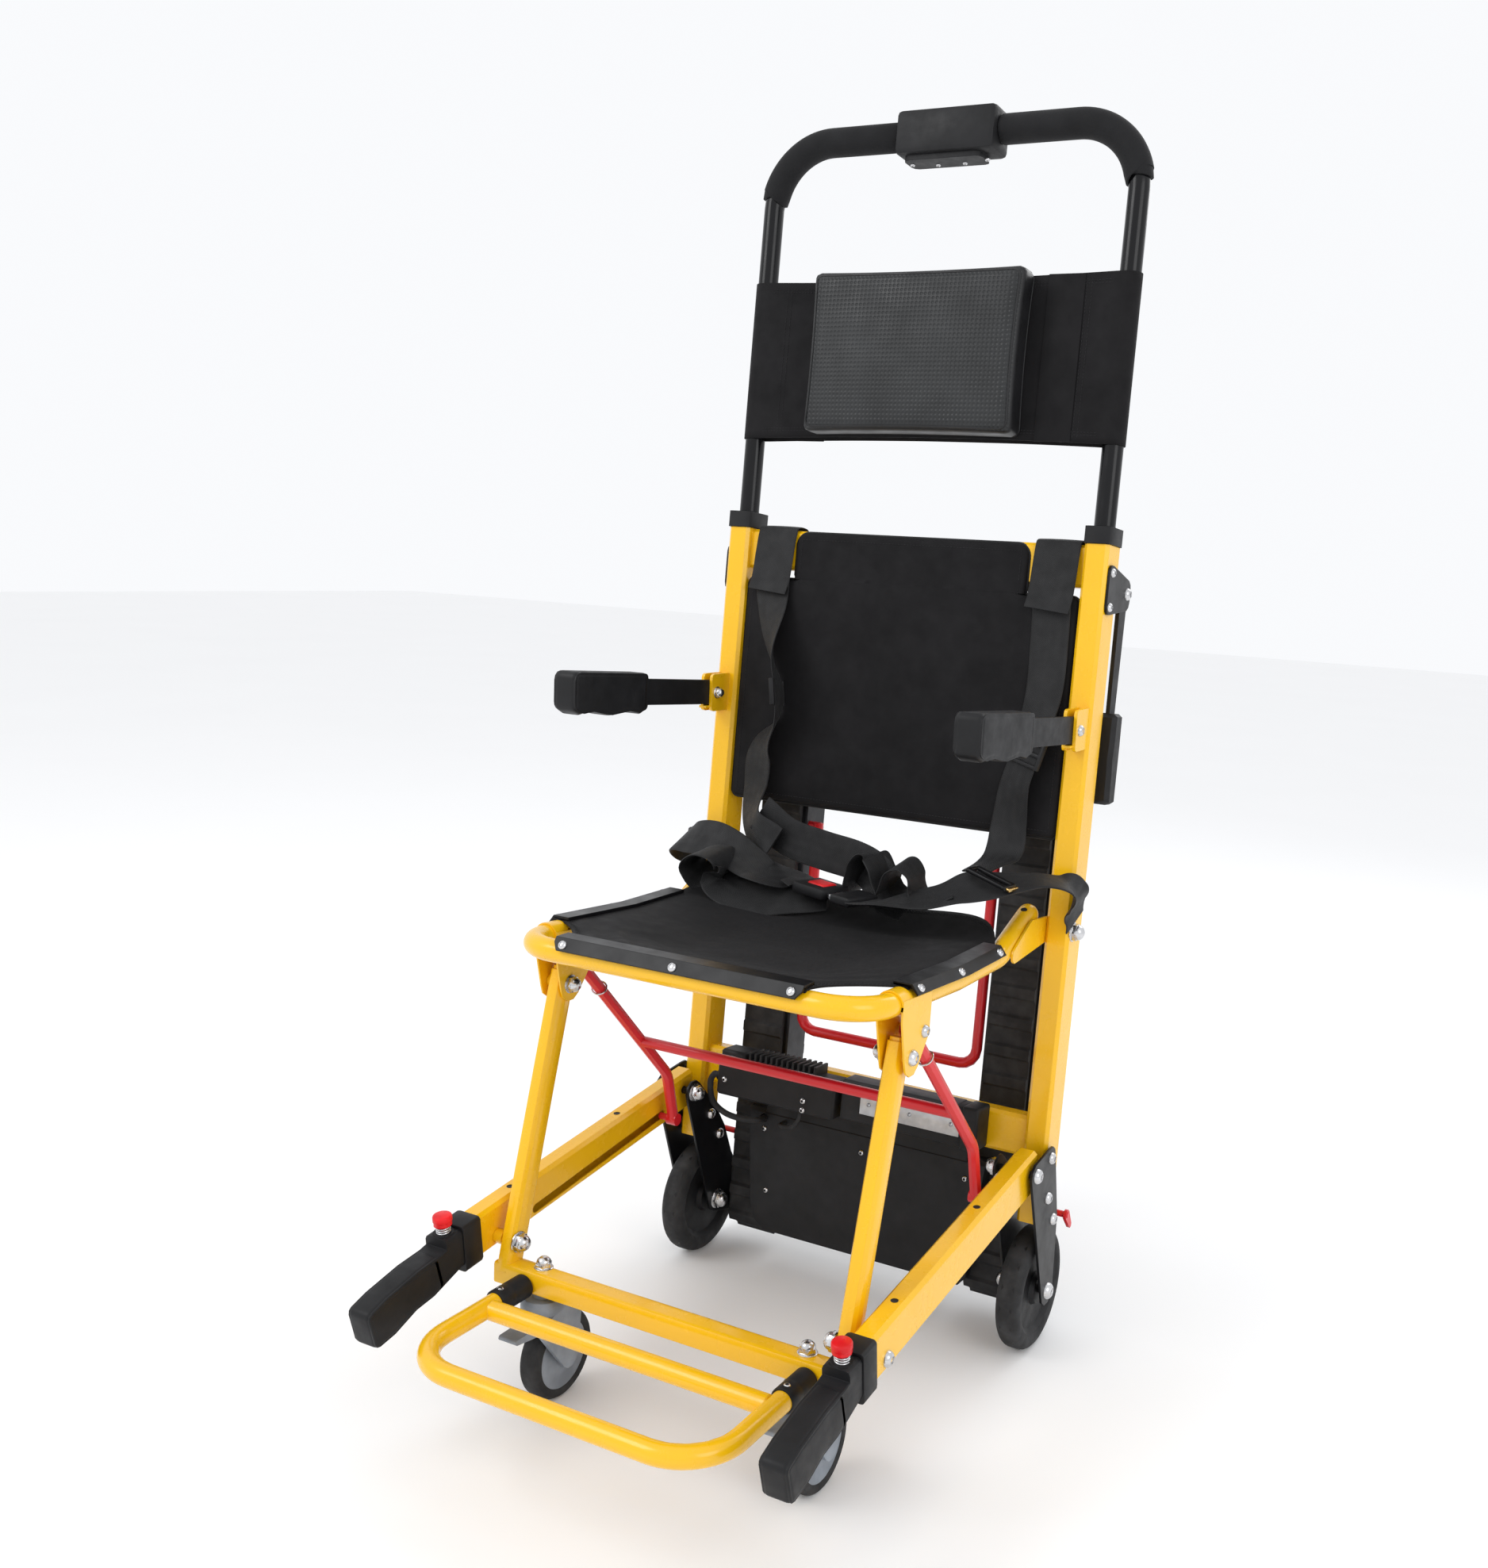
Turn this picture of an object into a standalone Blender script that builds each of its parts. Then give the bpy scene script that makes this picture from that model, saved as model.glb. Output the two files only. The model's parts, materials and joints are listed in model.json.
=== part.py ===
"""Electric stair chair: a folding carry chair with a powered track unit.

Sizes are millimetres and are turned into metres when a shape is made.
X runs to the right seen from the front, the front of the chair faces -Y, Z is up.
Left and right are as seen from the front.
"""
import math

import bpy
import bmesh
from mathutils import Matrix, Vector

MM = 0.001

# Clearances
GAP = 0.3
RUN = 0.6
SINK = 0.8

# Leaning frame: d is measured square to the uprights, s along them
LEAN_SLOPE = 0.085
UPRIGHT_X = 244.0
UPRIGHT_WIDTH = 30.0
UPRIGHT_DEPTH = 45.0
UPRIGHT_FOOT = 166.6
UPRIGHT_TOP = 976.5
TUBE_WALL = 2.0
TUBE_CORNER = 4.0
CAP_HEIGHT = 20.0
CAP_MARGIN = 2.0
RAIL_DEPTH = 25.0
RAIL_HEIGHT = 50.0
RAIL_VENT = 4.0
VENT_X = 138.0
LOW_RAIL_S = 266.5
HIGH_RAIL_S = 950.5

# Pull-out handle and headrest
HANDLE_RADIUS = 12.5
HANDLE_TOP = 1462.0
HANDLE_BEND = 80.0
HANDLE_FOOT = 820.0
FOAM_RADIUS = 17.5
FOAM_DROP = 66.0
CONTROL_HALF = 66.0
CONTROL_HEIGHT = 56.0
CONTROL_DEPTH = 50.0
SLING_WALL = 1.8
SLING_LOW = 1091.5
SLING_HIGH = 1288.0
CUSHION_HALF = 135.0
CUSHION_LOW = 1096.0
CUSHION_HIGH = 1290.0
CUSHION_THICK = 42.0

# Fold linkage, as (y, z): seat pivot, leg top, leg foot on the beam, beam pivot
SEAT_PIVOT = (35.0, 521.0)
LEG_TOP_PIVOT = (-326.0, 459.0)
LEG_BEAM_PIVOT = (-404.0, 182.0)
BEAM_PIVOT = (-43.0, 244.0)
LINK_PIVOT = (-300.0, 480.0)
LINK_PIN = (-95.0, 225.0)
LINK_BEND = (-112.0, 290.0)
LINK_BAR = (-170.0, 350.0)
BOLT_RADIUS = 5.0
ACORN_RADIUS = 9.0

# Seat
SEAT_RADIUS = 12.5
SEAT_X = 213.0
SEAT_FRONT_Y = -403.0
SEAT_FRONT_Z = 520.0
SEAT_MID_Y = -200.0
SEAT_MID_Z = 508.0
SEAT_KNEE_Y = -80.0
SEAT_KNEE_Z = 508.0
SEAT_TAIL_Y = 3.0
SEAT_TAIL_Z = 541.0
SEAT_KNEE = 60.0
SEAT_CORNER = 52.0
SEAT_HOLE = (-19.0, 530.0)
HINGE_PLATE = 2.8
FABRIC_WALL = 2.0
FABRIC_REAR_Y = -92.0
FABRIC_SAG = 16.0
STRIP_WALL = 2.0
STRIP_WIDTH = 20.0
STRIP_FRONT_HALF = 150.0
STRIP_SIDE_FRONT = -326.0
STRIP_SIDE_REAR = -100.0
BRACKET_WALL = 2.0
BRACKET_FRONT_Y = -352.0
BRACKET_REAR_Y = -286.0

# Legs, casters and footrest
LEG_X = 211.0
LEG_WIDTH = 20.0
LEG_DEPTH = 30.0
LEG_BAR_Y = -408.0
LEG_BAR_Z = 148.0
LEG_BAR_SIZE = 25.0
LEG_ABOVE_PIVOT = 14.0
CASTER_X = 167.0
CASTER_Y = -402.0
CASTER_RADIUS = 50.0
CASTER_WIDTH = 28.0
CASTER_TRAIL = 24.0
CASTER_TOP = 128.0
PEDAL_FRONT = 56.0
FOOT_X = 178.0
FOOT_RADIUS = 11.0
FOOT_Z = 144.0
FOOT_FITTING_RADIUS = 13.0
FOOT_FITTING_FRONT = -448.0
FOOT_BAR_Y = -482.0
FOOT_FRONT_Y = -604.0
FOOT_CORNER = 60.0

# Side beams and front lift handles
BEAM_X = 244.0
BEAM_WIDTH = 25.0
BEAM_HEIGHT = 50.0
BEAM_REAR = (-22.0, 242.0)
BEAM_FRONT = (-436.0, 190.0)
BEAM_SLOT_REAR = (-90.0, 225.0)
BEAM_SLOT_FRONT = (-338.0, 189.0)
BEAM_SLOT_HEIGHT = 11.0
BEAM_CAP_LENGTH = 24.0
BEAM_CAP_MARGIN = 3.5
GRIP_TUBE_RADIUS = 10.0
GRIP_TUBE_RISE = 8.2
GRIP_TUBE_LENGTH = 105.0
GRIP_HEAD_LENGTH = 24.0
GRIP_TIP = (-592.0, 149.0)
GRIP_WIDTH = 30.0
GRIP_HEIGHT = 46.0
PUSH_RADIUS = 10.0
PUSH_HEIGHT = 11.0
PUSH_TRAVEL = 4.0

# Rear wheels and their plates
AXLE = (20.0, 75.0)
WHEEL_RADIUS = 75.0
WHEEL_WIDTH = 32.0
WHEEL_X = 241.0
PLATE_WALL = 3.0
PLATE_OUTER_X = 262.0
PLATE_INNER_X = 215.0

# Track unit, in the leaning frame
BELT_X = 176.0
BELT_WIDTH = 58.0
BELT_FRONT = 30.0
BELT_DEPTH = 70.0
BELT_WALL = 5.0
LUG_HEIGHT = 4.0
LUG_PITCH = 38.0
TRACK_SHAFT = (65.0, 64.0)
TRACK_TOP_S = 684.0
SHAFT_RADIUS = 6.0
CHASSIS_WALL = 3.0
CHASSIS_HALF = 23.0
GUIDE_HALF = 19.0
LOCK_ROD = (48.4, 162.7)
LOCK_RADIUS = 4.0
COVER_TOP = 216.0
COVER_FRONT = 8.0
COVER_BACK = 28.0
COVER_HALF = 172.0
COVER_HALF_LOW = 156.0
COVER_KNEE = 88.0
COVER_LOW = 48.0
MOTOR_HALF = 128.0
MOTOR_BACK = 88.0
MOTOR_TOP = 150.0
RELEASE_HALF = 128.0
RELEASE_RADIUS = 7.0
RELEASE_LOW = 322.0
RELEASE_TOP = 600.0
RELEASE_D = 50.0
RELEASE_PIN = 5.0

# Backrest, armrests and rear lift handles
PAD_LOW = 628.0
PAD_SHOULDER = 914.0
PAD_HIGH = 969.0
PAD_NOTCH = 160.0
PAD_FRONT = -16.0
PAD_THICK = 14.0
ARM_PIVOT = (16.0, 762.0)
ARM_X = 248.0
ARM_WALL = 8.0
ARM_HEIGHT = 32.0
ARM_RISE = 0.06
ARM_GRIP_REAR = -145.0
ARM_GRIP_FRONT = -284.0
ARM_PLATE = 4.0
REAR_PIVOT = (52.0, 925.0)
REAR_HANDLE_X = 249.0
REAR_GRIP_LOW = 672.0
REAR_GRIP_HIGH = 782.0

# Electric boxes in front of the low rail, in the leaning frame
BOX_FRONT = -51.0
BOX_LOW = 241.0
BOX_HIGH = 290.0
CONTROLLER_LEFT = -190.0
CONTROLLER_RIGHT = -16.0
SINK_LEFT = -146.0
SINK_RIGHT = -48.0
SINK_HEIGHT = 13.0
FIN_PITCH = 8.0
BATTERY_LEFT = -10.0
BATTERY_RIGHT = 178.0
CABLE_RADIUS = 4.0
THIN_CABLE_RADIUS = 2.5
CABLE_HOLES = ((-148.0, 204.0), (-116.0, 204.0))

# Webbing
STRAP_WIDTH = 48.0
STRAP_WALL = 2.4
BUCKLE_SPOT = (-18.0, -80.0, 551.0)
BUCKLE_TURN = -22.0
BUCKLE_REAR = 33.0
BUCKLE_FRONT = 26.0
BUCKLE_WIDTH = 44.0
TONGUE_LENGTH = 44.0
TONGUE_WIDTH = 34.0

# The whole chair's middle, front to back, is put at Y = 0
Y_SHIFT = 228.8

FLAT_ANGLE = math.radians(0.2)
LEAN_ANGLE = math.atan(LEAN_SLOPE)
LEAN = Matrix.Rotation(-LEAN_ANGLE, 4, "X")
SIDE = Matrix(((0, 0, 1, 0), (1, 0, 0, 0), (0, 1, 0, 0), (0, 0, 0, 1)))
FRONT = Matrix(((1, 0, 0, 0), (0, 0, -1, 0), (0, 1, 0, 0), (0, 0, 0, 1)))
MIRROR_X = Matrix.Diagonal((-1, 1, 1, 1))

FINISHES = {
    "yellow_paint": ((0.90, 0.56, 0.02), 0.30, 0.0),
    "black_paint": ((0.025, 0.025, 0.028), 0.38, 0.0),
    "black_plastic": ((0.030, 0.030, 0.032), 0.55, 0.0),
    "grey_plastic": ((0.25, 0.27, 0.30), 0.50, 0.0),
    "red_paint": ((0.62, 0.03, 0.05), 0.35, 0.0),
    "red_plastic": ((0.80, 0.03, 0.03), 0.35, 0.0),
    "bright_steel": ((0.75, 0.75, 0.76), 0.25, 1.0),
    "black_tube": ((0.012, 0.012, 0.014), 0.18, 0.0),
    "foam": ((0.030, 0.030, 0.032), 0.70, 0.0),
    "rubber": ((0.035, 0.035, 0.036), 0.75, 0.0),
    "black_fabric": ((0.020, 0.020, 0.022), 0.90, 0.0),
    "webbing": ((0.022, 0.022, 0.024), 0.75, 0.0),
    "leatherette": ((0.028, 0.030, 0.032), 0.50, 0.0),
}
# Soft finishes, whose shallow curves keep their own grid
CLOTH = ("black_fabric", "webbing", "leatherette")


def clear_scene():
    for obj in list(bpy.data.objects):
        bpy.data.objects.remove(obj, do_unlink=True)
    for coll in list(bpy.data.collections):
        bpy.data.collections.remove(coll)


def new_collection(name):
    coll = bpy.data.collections.new(name)
    bpy.context.scene.collection.children.link(coll)
    return coll


clear_scene()
PART = new_collection("electric_stair_chair")
WORK = new_collection("cutters")


def at(x=0.0, y=0.0, z=0.0):
    return Matrix.Translation(Vector((x, y, z)) * MM)


def hold(data, name="blank"):
    obj = bpy.data.objects.new(name, data)
    obj.hide_render = True
    obj.display_type = "WIRE"
    WORK.objects.link(obj)
    return obj


def settle(obj, place=None):
    """Evaluate a curve or a mesh with modifiers, weld it and keep it as a mesh."""
    graph = bpy.context.evaluated_depsgraph_get()
    mesh = bpy.data.meshes.new_from_object(obj.evaluated_get(graph))
    if place is not None:
        mesh.transform(place)
    bm = bmesh.new()
    bm.from_mesh(mesh)
    bmesh.ops.remove_doubles(bm, verts=bm.verts, dist=0.00001)
    bmesh.ops.recalc_face_normals(bm, faces=bm.faces)
    bm.to_mesh(mesh)
    bm.free()
    bpy.data.objects.remove(obj, do_unlink=True)
    return hold(mesh)


def curve_object(loops, flat, cyclic):
    data = bpy.data.curves.new("blank", "CURVE")
    data.dimensions = "2D" if flat else "3D"
    for points in loops:
        spline = data.splines.new("POLY")
        spline.points.add(len(points) - 1)
        for target, point in zip(spline.points, points):
            spot = Vector(point).to_3d() * MM
            target.co = (spot.x, spot.y, spot.z, 1.0)
        spline.use_cyclic_u = cyclic
    return hold(data)


def plate(loops, low, high, place=Matrix()):
    """A flat outline with its holes, from low to high along its own Z."""
    obj = curve_object(loops, True, True)
    obj.data.fill_mode = "BOTH"
    obj.data.extrude = (high - low) / 2 * MM
    return settle(obj, place @ at(z=(low + high) / 2))


def tube(points, radius, sides=16, place=Matrix(), closed=False):
    obj = curve_object([points], False, closed)
    obj.data.bevel_depth = radius * MM
    obj.data.bevel_resolution = (sides - 4) // 2
    obj.data.use_fill_caps = not closed
    return settle(obj, place)


def turned(profile, sides=16, place=Matrix(), ring=False):
    """A profile of (radius, z) points, top to bottom, turned about Z."""
    mesh = bpy.data.meshes.new("blank")
    edges = [(i, i + 1) for i in range(len(profile) - 1)]
    if ring:
        edges.append((len(profile) - 1, 0))
    mesh.from_pydata([(r * MM, 0, z * MM) for r, z in profile], edges, [])
    obj = hold(mesh)
    screw = obj.modifiers.new("Turn", "SCREW")
    screw.axis = "Z"
    screw.angle = math.tau
    screw.steps = sides
    screw.render_steps = sides
    screw.use_merge_vertices = True
    screw.merge_threshold = 0.00001
    return settle(obj, place)


def facing(point, direction):
    """Put local Z along a direction, with the local origin at the point."""
    turn = Vector(direction).to_track_quat("Z", "Y").to_matrix().to_4x4()
    return at(*point) @ turn


def rod(start, end, radius, sides=10, place=Matrix(), tip=None):
    along = Vector(end) - Vector(start)
    bm = bmesh.new()
    bmesh.ops.create_cone(
        bm, cap_ends=True, segments=sides, radius1=radius * MM,
        radius2=(radius if tip is None else tip) * MM, depth=along.length * MM)
    bm.transform(place @ facing((Vector(start) + Vector(end)) / 2, along))
    mesh = bpy.data.meshes.new("blank")
    bm.to_mesh(mesh)
    bm.free()
    return hold(mesh)


def box(low, high, place=Matrix(), round_edges=0.0, steps=1):
    size = Vector(high) - Vector(low)
    bm = bmesh.new()
    bmesh.ops.create_cube(bm, size=MM)
    bm.transform(Matrix.Diagonal(size.to_4d()))
    mesh = bpy.data.meshes.new("blank")
    bm.to_mesh(mesh)
    bm.free()
    obj = hold(mesh)
    if round_edges:
        bevel = obj.modifiers.new("Round", "BEVEL")
        bevel.width = round_edges * MM
        bevel.segments = steps
    return settle(obj, place @ at(*((Vector(high) + Vector(low)) / 2)))


def combine(target, tools, operation, solver):
    for tool in tools:
        mod = target.modifiers.new("Shape", "BOOLEAN")
        mod.operation = operation
        mod.solver = solver
        mod.object = tool
    done = settle(target)
    for tool in tools:
        bpy.data.objects.remove(tool, do_unlink=True)
    return done


def cut(target, *tools, solver="EXACT"):
    return combine(target, tools, "DIFFERENCE", solver)


def fuse(target, *tools, solver="EXACT"):
    return combine(target, tools, "UNION", solver)


def common(target, *tools):
    return combine(target, tools, "INTERSECT", "EXACT")


def mirrored(piece):
    mesh = piece.data.copy()
    mesh.transform(MIRROR_X)
    mesh.flip_normals()
    return hold(mesh)


def both(pieces):
    return list(pieces) + [mirrored(piece) for piece in pieces]


def material(name):
    found = bpy.data.materials.get(name)
    if found:
        return found
    colour, rough, metal = FINISHES[name]
    made = bpy.data.materials.new(name)
    made.use_nodes = True
    shader = made.node_tree.nodes["Principled BSDF"]
    shader.inputs["Base Color"].default_value = (*colour, 1.0)
    shader.inputs["Roughness"].default_value = rough
    shader.inputs["Metallic"].default_value = metal
    made.diffuse_color = (*colour, 1.0)
    return made


def node(name, piece, finish, pivot=(0.0, 0.0, 0.0)):
    """Turn one solid into a named part whose origin is its pivot."""
    origin = Vector(pivot) * MM
    mesh = piece.data.copy()
    mesh.name = name
    if finish not in CLOTH:
        # Join the flat pieces that cutting leaves behind
        bm = bmesh.new()
        bm.from_mesh(mesh)
        bmesh.ops.dissolve_limit(bm, angle_limit=FLAT_ANGLE, verts=bm.verts, edges=bm.edges)
        bmesh.ops.triangulate(bm, faces=bm.faces, ngon_method="EAR_CLIP")
        bm.to_mesh(mesh)
        bm.free()
    mesh.transform(Matrix.Translation(-origin))
    mesh.shade_smooth()
    mesh.set_sharp_from_angle(angle=math.radians(38))
    mesh.materials.append(material(finish))
    obj = bpy.data.objects.new(name, mesh)
    obj.location = origin + Vector((0, Y_SHIFT, 0)) * MM
    PART.objects.link(obj)
    return obj


def node_pair(name, piece, finish, pivot=(0.0, 0.0, 0.0)):
    """A right part and its mirror image on the left."""
    other = mirrored(piece)
    node(name + "_right", piece, finish, pivot)
    node(name + "_left", other, finish, (-pivot[0], pivot[1], pivot[2]))


def lean_point(d, s):
    """The (y, z) of a point given square to and along the uprights."""
    spot = LEAN @ Vector((0, d, s))
    return spot.y, spot.z


# Outline helpers

def circle(x, y, radius, count=12):
    return [(x + radius * math.cos(math.tau * i / count),
             y + radius * math.sin(math.tau * i / count)) for i in range(count)]


def rounded_path(points, radii, steps=5, closed=False):
    """Round the corners of a path with arcs."""
    spots = [Vector(p) for p in points]
    count = len(spots)
    result = [] if closed else [spots[0]]
    for i in range(0 if closed else 1, count if closed else count - 1):
        corner = spots[i]
        radius = radii[i] if isinstance(radii, (list, tuple)) else radii
        if radius <= 0:
            result.append(corner)
            continue
        back = (spots[i - 1] - corner).normalized()
        ahead = (spots[(i + 1) % count] - corner).normalized()
        half = back.angle(ahead) / 2
        centre = corner + (back + ahead).normalized() * (radius / math.sin(half))
        first = corner + back * (radius / math.tan(half)) - centre
        last = corner + ahead * (radius / math.tan(half)) - centre
        sweep = math.pi - 2 * half
        for step in range(steps + 1):
            share = step / steps
            blend = (first * math.sin((1 - share) * sweep) + last * math.sin(share * sweep))
            result.append(centre + blend / math.sin(sweep))
    if not closed:
        result.append(spots[-1])
    return [tuple(p) for p in result]


def rounded_rect(width, height, radius, steps=2, centre=(0.0, 0.0)):
    x, y = centre
    corners = [(x - width / 2, y - height / 2), (x + width / 2, y - height / 2),
               (x + width / 2, y + height / 2), (x - width / 2, y + height / 2)]
    return rounded_path(corners, radius, steps, closed=True)


def hull(circles, count=10):
    """The outline drawn tight round several circles."""
    points = sorted({(round(px, 4), round(py, 4))
                     for x, y, r in circles for px, py in circle(x, y, r, count)})

    def half(run):
        chain = []
        for p in run:
            while len(chain) > 1:
                (ax, ay), (bx, by) = chain[-2], chain[-1]
                if (bx - ax) * (p[1] - ay) - (by - ay) * (p[0] - ax) > 0:
                    break
                chain.pop()
            chain.append(p)
        return chain[:-1]
    return half(points) + half(reversed(points))


def side_plate(loops, x_low, x_high, leaning=False):
    """A plate drawn in (y, z), or in (d, s) when leaning, with its thickness along X."""
    return plate(loops, x_low, x_high, (LEAN if leaning else Matrix()) @ SIDE)


def along(start, end, across=(1, 0, 0)):
    """A frame whose Z runs from start to end and whose X is across."""
    z = (Vector(end) - Vector(start)).normalized()
    x = Vector(across).normalized()
    y = z.cross(x).normalized()
    turn = Matrix((x, y, z)).transposed().to_4x4()
    return at(*start) @ turn


def fastener(kind, point, direction, radius, place=Matrix()):
    """A screw head or nut that stands on a face at the point and is fixed into it."""
    r = radius
    point = Vector(point) - Vector(direction) * SINK
    profiles = {
        "dome": [(0, 0.62 * r + SINK), (0.75 * r, 0.42 * r + SINK), (r, SINK), (r, 0), (0, 0)],
        "flat": [(0, 0.3 * r + SINK), (0.8 * r, 0.3 * r + SINK), (r, 0), (0, 0)],
        "acorn": [(0, 1.6 * r), (0.7 * r, 1.25 * r), (r, 0.7 * r), (r, 0), (0, 0)],
    }
    sides = 8
    return turned(profiles[kind], sides, place @ facing(point, direction))


def through_bolt(start, end, shank, head, nut):
    """A bolt whose dome head stands at start and whose acorn nut stands at end."""
    length = (Vector(end) - Vector(start)).length
    profile = [(0, 1.5 * nut + length), (0.7 * nut, 1.15 * nut + length),
               (nut, 0.6 * nut + length), (nut, length), (shank, length), (shank, 0), (head, 0),
               (0.75 * head, -0.42 * head), (0, -0.6 * head)]
    return turned(profile, 8, facing(start, Vector(end) - Vector(start)))


def sheet(surface, columns, rows, wall):
    """A cloth: a grid laid over a surface function of two shares, then thickened."""
    bm = bmesh.new()
    bmesh.ops.create_grid(bm, x_segments=columns, y_segments=rows, size=0.5)
    for vert in bm.verts:
        vert.co = Vector(surface(vert.co.x + 0.5, vert.co.y + 0.5)) * MM
    mesh = bpy.data.meshes.new("blank")
    bm.to_mesh(mesh)
    bm.free()
    obj = hold(mesh)
    thick = obj.modifiers.new("Thickness", "SOLIDIFY")
    thick.thickness = wall * MM
    thick.offset = 0.0
    thick.use_even_offset = True
    return settle(obj)


def smooth_run(points, count):
    """Points at even shares of a smooth curve through the given points."""
    spots = [Vector(p) for p in points]
    spots = [2 * spots[0] - spots[1]] + spots + [2 * spots[-1] - spots[-2]]
    pieces = len(spots) - 3
    run = []
    for i in range(count + 1):
        place = i / count * pieces
        k = min(int(place), pieces - 1)
        t = place - k
        a, b, c, d = spots[k:k + 4]
        run.append(0.5 * (2 * b + (c - a) * t + (2 * a - 5 * b + 4 * c - d) * t * t
                          + (3 * b - a - 3 * c + d) * t * t * t))
    return run


def strap(points, widths, count, wall=STRAP_WALL, width=STRAP_WIDTH):
    """Webbing along a smooth run, lying across the given width directions."""
    run = smooth_run(points, count)
    lay = smooth_run(widths, count)

    def surface(u, v):
        step = round(u * count)
        return run[step] + lay[step].normalized() * (v - 0.5) * width
    return sheet(surface, count, 1, wall)


# Frame that leans back

UPRIGHT_INNER = UPRIGHT_X - UPRIGHT_WIDTH / 2
UPRIGHT_OUTER = UPRIGHT_X + UPRIGHT_WIDTH / 2


def rect_tube(width, height, wall, length_low, length_high, place):
    outer = rounded_rect(width, height, TUBE_CORNER, 1)
    inner = rounded_rect(width - 2 * wall, height - 2 * wall, TUBE_CORNER - wall, 1)
    return plate([outer, inner], length_low, length_high, place)


def make_main_frame():
    """Both uprights, the two cross rails, the armrest brackets and the seat's pivot bolts."""
    post = rect_tube(UPRIGHT_WIDTH, UPRIGHT_DEPTH, TUBE_WALL, UPRIGHT_FOOT, UPRIGHT_TOP,
                     LEAN @ at(UPRIGHT_X))
    reach = UPRIGHT_INNER + TUBE_WALL / 2
    rails = []
    for s in (LOW_RAIL_S, HIGH_RAIL_S):
        rail = rect_tube(RAIL_DEPTH, RAIL_HEIGHT, TUBE_WALL, -reach, reach,
                         LEAN @ at(0, 0, s) @ SIDE)
        vents = [rod((x, RAIL_DEPTH / 4, s), (x, RAIL_DEPTH, s), RAIL_VENT, 8, LEAN)
                 for x in (-VENT_X, VENT_X)]
        rails.append(cut(rail, *vents))
    y, z = SEAT_PIVOT
    inner = UPRIGHT_INNER - HINGE_PLATE - 2 * GAP
    pivot = through_bolt((inner, y, z), (UPRIGHT_OUTER, y, z), BOLT_RADIUS, 8, ACORN_RADIUS)
    y, z = ARM_PIVOT
    ears = ARM_WALL / 2 + GAP + ARM_PLATE
    arm_bolt = through_bolt((ARM_X + ears, y, z), (ARM_X - ears, y, z), 4, 6.5, 6)
    right = fuse(post, make_armrest_bracket(), pivot, arm_bolt)
    left = mirrored(right)
    node("main_frame", fuse(right, left, *rails, solver="MANIFOLD"), "yellow_paint")


def make_upright_caps():
    outline = rounded_rect(UPRIGHT_WIDTH + 2 * CAP_MARGIN, UPRIGHT_DEPTH + 2 * CAP_MARGIN, 6)
    low = UPRIGHT_TOP + GAP
    ring = plate([outline, circle(0, 0, HANDLE_RADIUS + RUN, 20)], low, low + CAP_HEIGHT,
                 LEAN @ at(UPRIGHT_X))
    node_pair("upright_cap", ring, "black_plastic")


def make_wheel_plates():
    """Two plates a side hold the upright, the beam's pivot bolt and the wheel's axle."""
    shaft_y, shaft_z = lean_point(*TRACK_SHAFT)
    upper = [(2, 251, 14), (*BEAM_PIVOT, 16), (-1, 202, 14), (22, 167, 15), (*AXLE, 18)]
    far = PLATE_OUTER_X + PLATE_WALL
    hole = BOLT_RADIUS + GAP
    outer = side_plate([hull(upper)], PLATE_OUTER_X, far)
    parts = []
    for y, z in ((2, 251), (8, 196)):
        parts.append(rod((UPRIGHT_OUTER + GAP, y, z), (PLATE_OUTER_X + 1, y, z), 8))
    for (y, z), size in ((BEAM_PIVOT, 9), (AXLE, 10)):
        parts.append(through_bolt((far, y, z), (PLATE_INNER_X - GAP, y, z), BOLT_RADIUS, size, size))
    for y, z in ((2, 251), (-1, 202), (22, 167)):
        parts.append(fastener("dome", (far, y, z), (1, 0, 0), 7))
    node_pair("wheel_plate_outer", fuse(outer, *parts), "black_paint")
    loops = [hull(upper[1:] + [(shaft_y, shaft_z, 15)]), circle(*BEAM_PIVOT, hole), circle(*AXLE, hole),
             circle(shaft_y, shaft_z, SHAFT_RADIUS + GAP)]
    inner = side_plate(loops, PLATE_INNER_X, PLATE_INNER_X + PLATE_WALL)
    parts = []
    for y, z in ((8, 196), (24, 176)):
        parts.append(rod((PLATE_INNER_X + PLATE_WALL - 1, y, z), (UPRIGHT_INNER - GAP, y, z), 6))
    for y, z in ((-1, 202), (22, 167)):
        parts.append(fastener("dome", (PLATE_INNER_X, y, z), (-1, 0, 0), 7))
    node_pair("wheel_plate_inner", fuse(inner, *parts), "black_paint")


def make_rear_wheels():
    half = WHEEL_WIDTH / 2
    rim = WHEEL_RADIUS - 19
    bore = BOLT_RADIUS + GAP
    profile = [(WHEEL_RADIUS - 8, half - 1), (WHEEL_RADIUS, half - 8), (WHEEL_RADIUS, 8 - half),
               (WHEEL_RADIUS - 8, 1 - half), (rim, 3 - half), (rim - 6, 8 - half), (21, 8 - half),
               (18, 2 - half), (bore, 2 - half), (bore, half - 2), (18, half - 2), (21, half - 8),
               (rim - 6, half - 8), (rim, half - 3)]
    wheel = turned(profile, 18, at(WHEEL_X, *AXLE) @ SIDE, ring=True)
    node_pair("rear_wheel", wheel, "rubber", (WHEEL_X, *AXLE))


# Pull-out handle and headrest

def handle_path(foot):
    corners = [(-UPRIGHT_X, 0, foot), (-UPRIGHT_X, 0, HANDLE_TOP), (UPRIGHT_X, 0, HANDLE_TOP),
               (UPRIGHT_X, 0, foot)]
    return rounded_path(corners, HANDLE_BEND, 6)


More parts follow.
